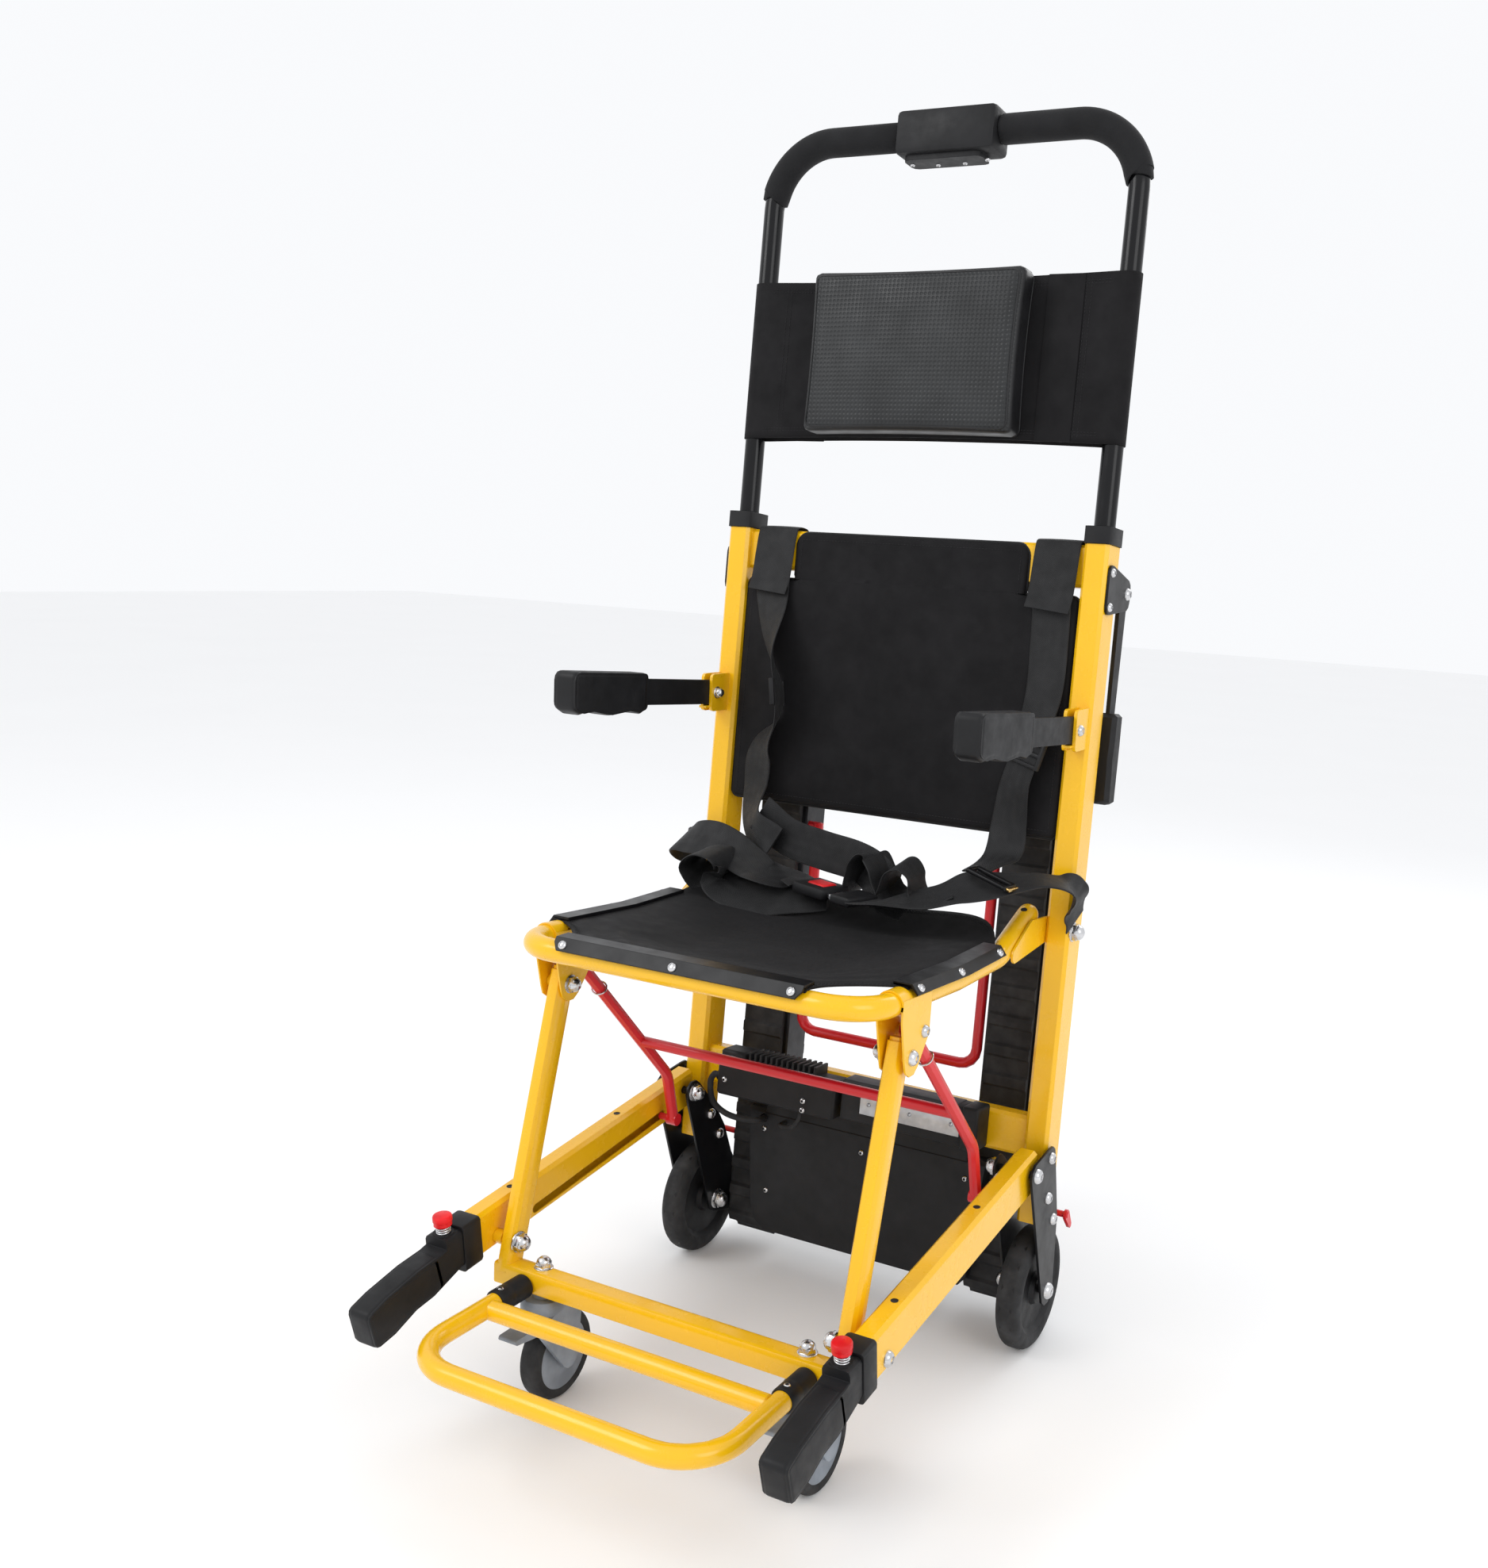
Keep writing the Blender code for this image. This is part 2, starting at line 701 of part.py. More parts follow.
def make_handle():
    bar = tube(handle_path(HANDLE_FOOT), HANDLE_RADIUS, 12, LEAN)
    node("handle_tube", bar, "black_tube")
    edge = CONTROL_HALF + GAP

    def half_path(extra):
        """The right half of the bar's path, ended where the sleeve ends."""
        low = HANDLE_TOP - FOAM_DROP - extra
        corners = [(edge - extra, 0, HANDLE_TOP), (UPRIGHT_X, 0, HANDLE_TOP),
                   (UPRIGHT_X, 0, HANDLE_FOOT)]
        run = rounded_path(corners, HANDLE_BEND, 6)
        kept = [p for p in run if p[2] > low + 1]
        last, below = Vector(kept[-1]), Vector(run[len(kept)])
        share = (last.z - low) / (last.z - below.z)
        return kept + [tuple(last.lerp(below, share))]
    outer = tube(half_path(0), FOAM_RADIUS, 12, LEAN)
    inner = tube(half_path(25), HANDLE_RADIUS + RUN, 12, LEAN)
    node_pair("handle_foam", cut(outer, inner), "foam")


def make_control_box():
    low = HANDLE_TOP - CONTROL_HEIGHT / 2
    high = HANDLE_TOP + CONTROL_HEIGHT / 2 - 3
    body = box((-CONTROL_HALF, -CONTROL_DEPTH / 2, low), (CONTROL_HALF, CONTROL_DEPTH / 2, high),
               LEAN, 7, 2)
    bore = rod((-CONTROL_HALF - 10, 0, HANDLE_TOP), (CONTROL_HALF + 10, 0, HANDLE_TOP),
               HANDLE_RADIUS + GAP, 16, LEAN)
    pocket = box((-17, CONTROL_DEPTH / 2 - 8, HANDLE_TOP - 9),
                 (17, CONTROL_DEPTH / 2 + 5, HANDLE_TOP + 9), LEAN)
    d = CONTROL_DEPTH / 2 - 2
    sockets = rod((0, d, HANDLE_TOP - 12.5), (0, d, HANDLE_TOP + 12.5), 1.5 + GAP, 8, LEAN)
    shell = cut(body, bore, pocket, sockets)
    tray = plate([rounded_rect(104, 34, 8, 2, (-4, 0))], low - 6, low + 4, LEAN)
    node("control_box", fuse(shell, tray), "black_plastic")
    # Two-way travel rocker in its pocket on the rear face
    profile = [(-13, -1.2), (13, -1.2), (14, 2.6), (7, 1.4), (0, 1.0), (-7, 1.4), (-14, 2.6)]
    rocker = plate([[(x, d + rise) for x, rise in profile]], -8.5, 8.5, LEAN @ at(0, 0, HANDLE_TOP))
    pin = rod((0, d, HANDLE_TOP - 12), (0, d, HANDLE_TOP + 12), 1.5, 8, LEAN)
    y, z = lean_point(d, HANDLE_TOP)
    node("drive_rocker", fuse(rocker, pin), "red_plastic", (0, y, z))


def make_headrest():
    reach = HANDLE_RADIUS + GAP + SLING_WALL

    def racetrack(radius):
        right = [(UPRIGHT_X + radius * math.cos(a), radius * math.sin(a))
                 for a in (math.radians(t) for t in range(-90, 91, 30))]
        return right + [(-x, -y) for x, y in right]
    sling = plate([racetrack(reach), racetrack(HANDLE_RADIUS + GAP)], SLING_LOW, SLING_HIGH, LEAN)
    node("headrest_sling", sling, "black_fabric")
    # The cushion is a coarse cage that subdivision crowns and draws in
    front = -reach - GAP - CUSHION_THICK
    back = -reach - GAP
    middle = (CUSHION_LOW + CUSHION_HIGH) / 2
    bm = bmesh.new()
    bmesh.ops.create_cube(bm, size=2.0)
    bmesh.ops.subdivide_edges(bm, edges=bm.edges, cuts=2, use_grid_fill=True)
    half_s = (CUSHION_HIGH - CUSHION_LOW) / 2
    for vert in bm.verts:
        u, w, v = vert.co
        u = math.copysign(min(1, abs(u) * 2.62), u) if abs(u) < 0.9 else u
        v = math.copysign(min(1, abs(v) * 2.55), v) if abs(v) < 0.9 else v
        pull = 1.0 - 0.025 * (1 - abs(w)) - 0.012 * (1 - min(abs(u), abs(v)))
        depth = (front + back) / 2 + w * (back - front) / 2
        vert.co = Vector((u * CUSHION_HALF * pull, depth, middle + v * half_s * pull)) * MM
    mesh = bpy.data.meshes.new("blank")
    bm.to_mesh(mesh)
    bm.free()
    cushion = hold(mesh)
    bevel = cushion.modifiers.new("Edge", "BEVEL")
    bevel.width = 7 * MM
    bevel.segments = 2
    bevel.limit_method = "ANGLE"
    bevel.angle_limit = math.radians(40)
    node("headrest_cushion", settle(cushion, LEAN), "leatherette")


# Backrest, armrests and rear lift handles

def make_backrest():
    half = UPRIGHT_INNER - GAP - GAP
    lower = [(-half, PAD_LOW), (half, PAD_LOW), (half, PAD_SHOULDER), (-half, PAD_SHOULDER)]
    place = LEAN @ FRONT
    back = -(PAD_FRONT + PAD_THICK)
    pad = plate([rounded_path(lower, 8, 2, closed=True)], back, -PAD_FRONT, place)
    flap = [(-PAD_NOTCH, PAD_SHOULDER - 20), (PAD_NOTCH, PAD_SHOULDER - 20),
            (PAD_NOTCH, PAD_HIGH), (-PAD_NOTCH, PAD_HIGH)]
    rail = RAIL_DEPTH / 2 + GAP
    top = plate([rounded_path(flap, [0, 0, 9, 9], 3, closed=True)], rail, -PAD_FRONT - 0.01, place)
    node("backrest_pad", fuse(pad, top), "black_fabric")


def make_armrest_bracket():
    """Base plate, two ears, a stop below the bar and a short lip above it."""
    y0, z0 = ARM_PIVOT
    half = ARM_HEIGHT / 2
    low = z0 - half - 8
    high = z0 + half + 8
    inner = ARM_WALL / 2 + GAP
    outer = inner + ARM_PLATE
    face_low = lean_point(-UPRIGHT_DEPTH / 2, low)[0]
    face_high = lean_point(-UPRIGHT_DEPTH / 2, high)[0]
    base = box((ARM_X - outer, -UPRIGHT_DEPTH / 2 - 3, low),
               (ARM_X + outer, -UPRIGHT_DEPTH / 2 + SINK, high), LEAN)
    ear = rounded_path([(face_low - 1, low), (y0 - 12, low), (y0 - 12, high), (face_high - 1, high)],
                       [0, 5, 5, 0], 2, closed=True)
    ears = [side_plate([ear], ARM_X + inner, ARM_X + outer),
            side_plate([ear], ARM_X - outer, ARM_X - inner)]
    stop = box((ARM_X - inner - 1, y0 - 20, z0 - half - GAP - 3),
               (ARM_X + inner + 1, face_low - 1, z0 - half - GAP))
    lip = box((ARM_X - inner - 1, y0 + half + 2, z0 + half + 1),
              (ARM_X + inner + 1, face_high - 1, z0 + half + 4))
    return fuse(base, *ears, stop, lip)


def make_armrests():
    y0, z0 = ARM_PIVOT
    half = ARM_HEIGHT / 2
    # Flat bar, round at its pivot
    slope = ARM_RISE
    tip_y = ARM_GRIP_REAR - 40
    lift = (y0 - tip_y) * slope
    bar = hull([(y0, z0, half)] + [(tip_y, z0 + lift + e * (half - 2), 2) for e in (-1, 1)])
    x0, x1 = ARM_X - ARM_WALL / 2, ARM_X + ARM_WALL / 2
    solid = side_plate([bar, circle(y0, z0, 4 + GAP, 12)], x0, x1)
    # Moulded grip with finger swells, slipped over the bar
    centre = z0 + (y0 - (ARM_GRIP_REAR + ARM_GRIP_FRONT) / 2) * slope
    length = ARM_GRIP_REAR - ARM_GRIP_FRONT
    sections = []
    for i in range(9):
        share = i / 8
        swell = 24 + 2.2 * math.cos(share * math.tau * 2)
        if i in (0, 8):
            swell = 19.5
        sections.append((ARM_GRIP_REAR - share * length, swell))
    drift = lambda y: z0 + (y0 - y) * slope
    upper = [(y, drift(y) + 23) for y, h in sections]
    lower = [(y, drift(y) - h) for y, h in sections]
    outline = rounded_path(upper + lower[::-1], [6] + [0] * 7 + [10] + [10] + [0] * 7 + [6], 3,
                           closed=True)
    grip = side_plate([outline], ARM_X - 15, ARM_X + 15)
    bevel = grip.modifiers.new("Round", "BEVEL")
    bevel.width = 6 * MM
    bevel.segments = 1
    bevel.limit_method = "ANGLE"
    bevel.angle_limit = math.radians(60)
    grip = settle(grip)
    node_pair("armrest", fuse(solid, grip), "black_plastic", (ARM_X, y0, z0))


def make_rear_handles():
    d, s = REAR_PIVOT
    plate_x = UPRIGHT_OUTER + GAP
    outline = hull([(-8, s - 20, 9), (-8, s + 20, 9), (d, s + 5, 12), (d, s - 8, 12)])
    wing = side_plate([outline], plate_x, plate_x + 3, leaning=True)
    screws = [fastener("dome", (plate_x + 3, -8, s + e), (1, 0, 0), 5, LEAN) for e in (-20, 20)]
    # Flat bar that hangs behind the upright and ends in a moulded grip
    x1 = plate_x - GAP
    x0 = x1 - 5
    bar = side_plate([hull([(d, s, 12), (d, REAR_GRIP_HIGH - 30, 9)]),
                      circle(d, s, 4 + GAP, 12)], x0, x1, leaning=True)
    sections = []
    length = REAR_GRIP_HIGH - REAR_GRIP_LOW
    for i in range(7):
        share = i / 6
        half = 14 if i in (0, 6) else 16 + 1.8 * math.cos(share * math.tau * 2)
        sections.append((half, REAR_GRIP_HIGH - share * length))
    outline = ([(d + 14, z) for h, z in sections] + [(d - h, z) for h, z in reversed(sections)])
    middle = (x0 + x1) / 2
    grip = side_plate([outline], middle - 13, middle + 13, leaning=True)
    bevel = grip.modifiers.new("Round", "BEVEL")
    bevel.width = 5 * MM
    bevel.segments = 1
    bevel.limit_method = "ANGLE"
    bevel.angle_limit = math.radians(60)
    grip = settle(grip)
    y, z = lean_point(d, s)
    pin = through_bolt((plate_x + 3, y, z), (x0 - GAP, y, z), 4, 7, 6)
    node_pair("rear_handle_bracket", fuse(wing, pin, *screws), "black_paint")
    node_pair("rear_handle", fuse(bar, grip), "black_plastic", (x0, y, z))


# Seat

RAIL_START = (SEAT_X, SEAT_MID_Y, SEAT_MID_Z)
RAIL_END = (SEAT_X, SEAT_FRONT_Y, SEAT_FRONT_Z)


def rail_height(y):
    """Centre height of the seat tube beside the seat."""
    share = (y - SEAT_MID_Y) / (SEAT_FRONT_Y - SEAT_MID_Y)
    return SEAT_MID_Z + max(0.0, share) * (SEAT_FRONT_Z - SEAT_MID_Z)


def make_seat_frame():
    """The bent tube with its two saddle brackets and its rear hinge plates welded on."""
    right = [(SEAT_X, SEAT_TAIL_Y, SEAT_TAIL_Z), (SEAT_X, SEAT_KNEE_Y, SEAT_KNEE_Z), RAIL_START,
             RAIL_END]
    left = [(-x, y, z) for x, y, z in reversed(right)]
    bends = [0, SEAT_KNEE, 0, SEAT_CORNER]
    run = rounded_path(right + left, bends + bends[::-1], 4)
    bar = tube(run, SEAT_RADIUS, 12)
    y, z = SEAT_HOLE
    hole = rod((-SEAT_X - 8, y, z), (SEAT_X + 8, y, z), 3.5, 10)
    bracket = make_seat_bracket()
    leaf = make_seat_hinge()
    frame = fuse(cut(bar, hole), bracket, mirrored(bracket), leaf, mirrored(leaf), solver="MANIFOLD")
    node("seat_frame", frame, "yellow_paint", (0, *SEAT_PIVOT))


def seat_level(x, y):
    """Height of the seat cloth's middle: it lies on the tube and sags between."""
    rest = rail_height(y) + SEAT_RADIUS + GAP + FABRIC_WALL / 2
    ease = lambda t: t * t * (3 - 2 * t)
    side = ease(max(0.0, min(1.0, (SEAT_X - SEAT_RADIUS - 4 - abs(x)) / 130)))
    front = ease(max(0.0, min(1.0, (y - SEAT_FRONT_Y - SEAT_RADIUS - 4) / 110)))
    return rest - FABRIC_SAG * side * front


def make_seat_fabric():
    front_y = SEAT_FRONT_Y - 9
    side_half = SEAT_X + 9

    def surface(u, v):
        y = front_y + (FABRIC_REAR_Y - front_y) * v
        reach = (y - front_y) / (STRIP_SIDE_FRONT - front_y)
        if reach < 1:
            half = STRIP_FRONT_HALF + (side_half - STRIP_FRONT_HALF) * max(0.0, reach) ** 2.2
        else:
            half = side_half
        x = (2 * u - 1) * half
        return (x, y, seat_level(x, y))
    node("seat_fabric", sheet(surface, 12, 12, FABRIC_WALL), "black_fabric", (0, *SEAT_PIVOT))


def make_seat_strips():
    """Clamp strips on the cloth, with their screws."""
    lift = SEAT_RADIUS + GAP + FABRIC_WALL + GAP
    width = STRIP_WIDTH / 2
    front_z = rail_height(SEAT_FRONT_Y - width) + lift
    front = box((-STRIP_FRONT_HALF, SEAT_FRONT_Y - width, front_z),
                (STRIP_FRONT_HALF, SEAT_FRONT_Y + width, front_z + STRIP_WALL))
    screws = [fastener("flat", (x, SEAT_FRONT_Y, front_z + STRIP_WALL), (0, 0, 1), 4.5)
              for x in (-138, 0, 138)]
    node("seat_strip_front", fuse(front, *screws), "black_paint", (0, *SEAT_PIVOT))
    spots = [(y, rail_height(y) + lift)
             for y in (STRIP_SIDE_FRONT, SEAT_MID_Y, STRIP_SIDE_REAR)]
    outline = spots + [(y, z + STRIP_WALL) for y, z in reversed(spots)]
    side = side_plate([outline], SEAT_X - width, SEAT_X + width)
    screws = []
    for y in (STRIP_SIDE_FRONT + 12, -215, STRIP_SIDE_REAR - 12):
        z = rail_height(y) + lift + STRIP_WALL
        screws.append(fastener("flat", (SEAT_X, y, z), (0, 0, 1), 4.5))
    node_pair("seat_strip", fuse(side, *screws), "black_paint", (0, *SEAT_PIVOT))


def bracket_frame():
    """A frame whose Z runs forward along the side rail, X across and Y up the bracket."""
    a = (SEAT_X, BRACKET_REAR_Y, rail_height(BRACKET_REAR_Y))
    b = (SEAT_X, BRACKET_FRONT_Y, rail_height(BRACKET_FRONT_Y))
    return along(a, b), (Vector(b) - Vector(a)).length


def make_seat_bracket():
    place, length = bracket_frame()
    # Two cheeks, turned in at the top where they are welded to the tube's sides
    outer = SEAT_RADIUS + GAP + BRACKET_WALL
    ear = SEAT_RADIUS + GAP
    drop = -95
    cheek = [(outer, drop), (outer, 6), (ear - 2.8, 6), (ear - 2.3, -5), (ear, -5), (ear, drop)]
    cheeks = [cheek, [(-x, y) for x, y in reversed(cheek)]]
    saddle = plate(cheeks, 0, length, place)
    tip = LEG_TOP_PIVOT
    face = hull([(tip[0] + 1, tip[1] - 3, 17), (LINK_PIVOT[0] + 2, LINK_PIVOT[1] + 2, 12),
                 (BRACKET_FRONT_Y + 4, 500, 4), (BRACKET_FRONT_Y + 4, 560, 4),
                 (BRACKET_REAR_Y - 4, 560, 4), (BRACKET_REAR_Y - 4, 500, 4)])
    ears = side_plate([face], SEAT_X - 30, SEAT_X + 30)
    shape = common(saddle, ears)
    hole = rod((SEAT_X - 40, *LEG_TOP_PIVOT), (SEAT_X + 40, *LEG_TOP_PIVOT), BOLT_RADIUS + RUN)
    y, z = LINK_PIVOT
    bolt = through_bolt((SEAT_X + outer, y, z), (SEAT_X - outer, y, z), 4, 6.5, 6.5)
    return fuse(cut(shape, hole), bolt)


def make_seat_hinge():
    x1 = UPRIGHT_INNER - GAP
    loops = [hull([(*SEAT_PIVOT, 15), (-19, 529, 12), (-66, 508, 9)]),
             circle(*SEAT_PIVOT, BOLT_RADIUS + GAP)]
    leaf = side_plate(loops, x1 - HINGE_PLATE, x1)
    weld = rod((SEAT_X, -50, SEAT_KNEE_Z + 5), (x1 - 1, -50, SEAT_KNEE_Z + 5), 6)
    return fuse(leaf, weld)


# Legs, casters, footrest

def make_legs():
    foot = Vector((LEG_X, LEG_BAR_Y, LEG_BAR_Z))
    top = Vector((LEG_X, *LEG_TOP_PIVOT))
    direction = (top - foot).normalized()
    end = (top - foot).length + LEG_ABOVE_PIVOT
    oval = [(LEG_WIDTH / 2 * math.copysign(abs(math.cos(a)) ** 0.7, math.cos(a)),
             LEG_DEPTH / 2 * math.copysign(abs(math.sin(a)) ** 0.7, math.sin(a)))
            for a in (math.tau * i / 12 for i in range(12))]
    place = along(foot, top, (1, 0, 0))
    leg = plate([oval], 0, end, place)
    # The bolts at both pivots are tight in the leg and turn in what they pass through
    y, z = LEG_TOP_PIVOT
    clear = SEAT_RADIUS + 2 * GAP + BRACKET_WALL
    top_bolt = through_bolt((SEAT_X + clear, y, z), (SEAT_X - clear, y, z), BOLT_RADIUS, 8, 8)
    top_bush = rod((LEG_X + LEG_WIDTH / 2 - 1, y, z), (SEAT_X + SEAT_RADIUS, y, z), 8)
    y, z = LEG_BEAM_PIVOT
    beam_side = BEAM_WIDTH / 2 + GAP
    low_bolt = through_bolt((BEAM_X + beam_side, y, z), (LEG_X - LEG_WIDTH / 2, y, z), BOLT_RADIUS,
                            8, 9)
    low_bush = rod((LEG_X + LEG_WIDTH / 2 - 1, y, z), (BEAM_X - beam_side, y, z), 8)
    plug = plate([[(x * 0.86, v * 0.86) for x, v in oval]], end - 1, end + 4, place)
    leg = fuse(leg, top_bolt, top_bush, low_bolt, low_bush, plug)
    half = LEG_BAR_SIZE / 2
    reach = LEG_X + LEG_WIDTH / 2
    cross = plate([rounded_rect(LEG_BAR_SIZE, LEG_BAR_SIZE, 3, 2)], -reach, reach,
                  at(0, LEG_BAR_Y, LEG_BAR_Z) @ SIDE)
    stems = []
    nuts = []
    for x in (-CASTER_X, CASTER_X):
        stems.append(rod((x, CASTER_Y, LEG_BAR_Z - half - 5), (x, CASTER_Y, LEG_BAR_Z + half - 3),
                         BOLT_RADIUS + GAP))
        nuts.append(fastener("acorn", (x, CASTER_Y, LEG_BAR_Z + half), (0, 0, 1), 8))
    frame = cut(fuse(cross, leg, mirrored(leg), *nuts, solver="MANIFOLD"), *stems, solver="MANIFOLD")
    node("leg_frame", frame, "yellow_paint", (0, *LEG_BEAM_PIVOT))


def make_casters():
    x0, y0 = CASTER_X, CASTER_Y
    wheel_y = y0 + CASTER_TRAIL
    half = CASTER_WIDTH / 2
    place = at(x0, wheel_y, CASTER_RADIUS) @ SIDE
    profile = [(CASTER_RADIUS - 4, half - 2), (CASTER_RADIUS, half - 7), (CASTER_RADIUS, 7 - half),
               (CASTER_RADIUS - 4, 2 - half), (38, 3 - half), (26, 5 - half), (12, 1 - half),
               (5 + GAP, 1 - half), (5 + GAP, half - 1), (12, half - 1), (26, half - 5),
               (38, half - 3)]
    wheel = turned(profile, 16, place, ring=True)
    node_pair("caster_wheel", wheel, "rubber", (x0, wheel_y, CASTER_RADIUS))
    # Moulded fork: crown, hood over the wheel and two cheeks with the axle between
    pedal_y = y0 - 20
    pedal_z = 97
    cheek = hull([(wheel_y, CASTER_RADIUS, 13), (wheel_y - 12, 106, 10), (pedal_y, pedal_z + 2, 8),
                  (wheel_y + 8, 98, 10)])
    inner = half + 1.5
    cheeks = [side_plate([cheek], x0 + inner, x0 + inner + 5),
              side_plate([cheek], x0 - inner - 5, x0 - inner)]
    crown = turned([(0, CASTER_TOP), (22, CASTER_TOP), (25, CASTER_TOP - 4), (25, CASTER_TOP - 12),
                    (inner + 4, CASTER_TOP - 20), (0, CASTER_TOP - 20)], 14, at(x0, y0))
    hood = box((x0 - inner - 1, y0 - 9, 104), (x0 + inner + 1, wheel_y + 16, 114))
    axle = rod((x0 - inner - 2, wheel_y, CASTER_RADIUS), (x0 + inner + 2, wheel_y, CASTER_RADIUS), 5)
    pin = rod((x0 - inner - 2, pedal_y, pedal_z), (x0 + inner + 2, pedal_y, pedal_z), 2.5, 10)
    stem = rod((x0, y0, CASTER_TOP - 3), (x0, y0, LEG_BAR_Z + LEG_BAR_SIZE / 2 - 3 - GAP),
               BOLT_RADIUS)
    collar = rod((x0, y0, CASTER_TOP - 3), (x0, y0, LEG_BAR_Z - LEG_BAR_SIZE / 2 - GAP), 12, 16)
    fork = fuse(crown, *cheeks, hood, axle, pin, collar, stem)
    node_pair("caster_fork", fork, "grey_plastic", (x0, y0, CASTER_TOP))
    # Brake pedal that turns on its pin in front of the fork
    outline = hull([(pedal_y, pedal_z, 5.5), (y0 - 32, 99, 4.5), (y0 - PEDAL_FRONT, 100, 3)])
    pedal = side_plate([outline, circle(pedal_y, pedal_z, 2.5 + GAP, 10)], x0 - 12, x0 + 12)
    node_pair("caster_pedal", pedal, "grey_plastic", (x0, pedal_y, pedal_z))


def make_footrest():
    y0 = FOOT_FITTING_FRONT + 4
    right = [(FOOT_X, y0, FOOT_Z), (FOOT_X, FOOT_FRONT_Y, FOOT_Z)]
    left = [(-x, y, z) for x, y, z in reversed(right)]
    hoop = tube(rounded_path(right + left, [0, FOOT_CORNER, FOOT_CORNER, 0], 5), FOOT_RADIUS, 12)
    reach = FOOT_X - FOOT_RADIUS + 4
    bar = rod((-reach, FOOT_BAR_Y, FOOT_Z), (reach, FOOT_BAR_Y, FOOT_Z), FOOT_RADIUS - 0.5, 10)
    rear = LEG_BAR_Y - LEG_BAR_SIZE / 2 - 0.8
    length = rear - FOOT_FITTING_FRONT
    profile = [(0, length), (FOOT_FITTING_RADIUS - 1.5, length), (FOOT_FITTING_RADIUS, length - 1.5),
               (FOOT_FITTING_RADIUS, 1.5), (FOOT_FITTING_RADIUS - 1.5, 0), (0, 0)]
    sleeve = turned(profile, 12, facing((FOOT_X, rear, FOOT_Z), (0, -1, 0)))
    screw = fastener("dome", (FOOT_X, FOOT_FITTING_FRONT - 12, FOOT_Z + FOOT_RADIUS), (0, 0, 1), 4)
    arms = [sleeve, mirrored(sleeve), screw, mirrored(screw)]
    hinge = (0, rear, FOOT_Z + FOOT_FITTING_RADIUS)
    node("footrest", fuse(hoop, bar, *arms), "yellow_paint", hinge)


# Side beams and lift handles

def beam_frame():
    """A frame whose Z runs forward along the right beam from its rear end."""
    start = (BEAM_X, *BEAM_REAR)
    end = (BEAM_X, *BEAM_FRONT)
    return along(start, end), (Vector(end) - Vector(start)).length


def make_beams():
    place, length = beam_frame()
    body = rect_tube(BEAM_WIDTH, BEAM_HEIGHT, TUBE_WALL, 0, length, place)
    inner_face = BEAM_X - BEAM_WIDTH / 2
    holes = [rod((inner_face - 9, *BEAM_PIVOT), (inner_face + 40, *BEAM_PIVOT), BOLT_RADIUS + GAP),
             rod((inner_face - 9, *LEG_BEAM_PIVOT), (inner_face + 40, *LEG_BEAM_PIVOT),
                 BOLT_RADIUS + GAP)]
    for y in (-170, -368):
        holes.append(rod((BEAM_X, y, 218), (BEAM_X, y, 262), 4, 10))
    radius = BEAM_SLOT_HEIGHT / 2
    slot = hull([(*BEAM_SLOT_REAR, radius), (*BEAM_SLOT_FRONT, radius)])
    holes.append(side_plate([slot], inner_face - 5, inner_face + 5))
    body = cut(body, *holes)
    # Black receiver on the front end, bored for the handle tube
    outline = rounded_rect(BEAM_WIDTH + 2 * BEAM_CAP_MARGIN, BEAM_HEIGHT + BEAM_CAP_MARGIN, 4)
    bore = circle(0, GRIP_TUBE_RISE, GRIP_TUBE_RADIUS + RUN, 12)
    cap = plate([outline, bore], length - SINK, length + BEAM_CAP_LENGTH, place)
    node_pair("beam", fuse(body, cap), "yellow_paint", (BEAM_X, *BEAM_PIVOT))


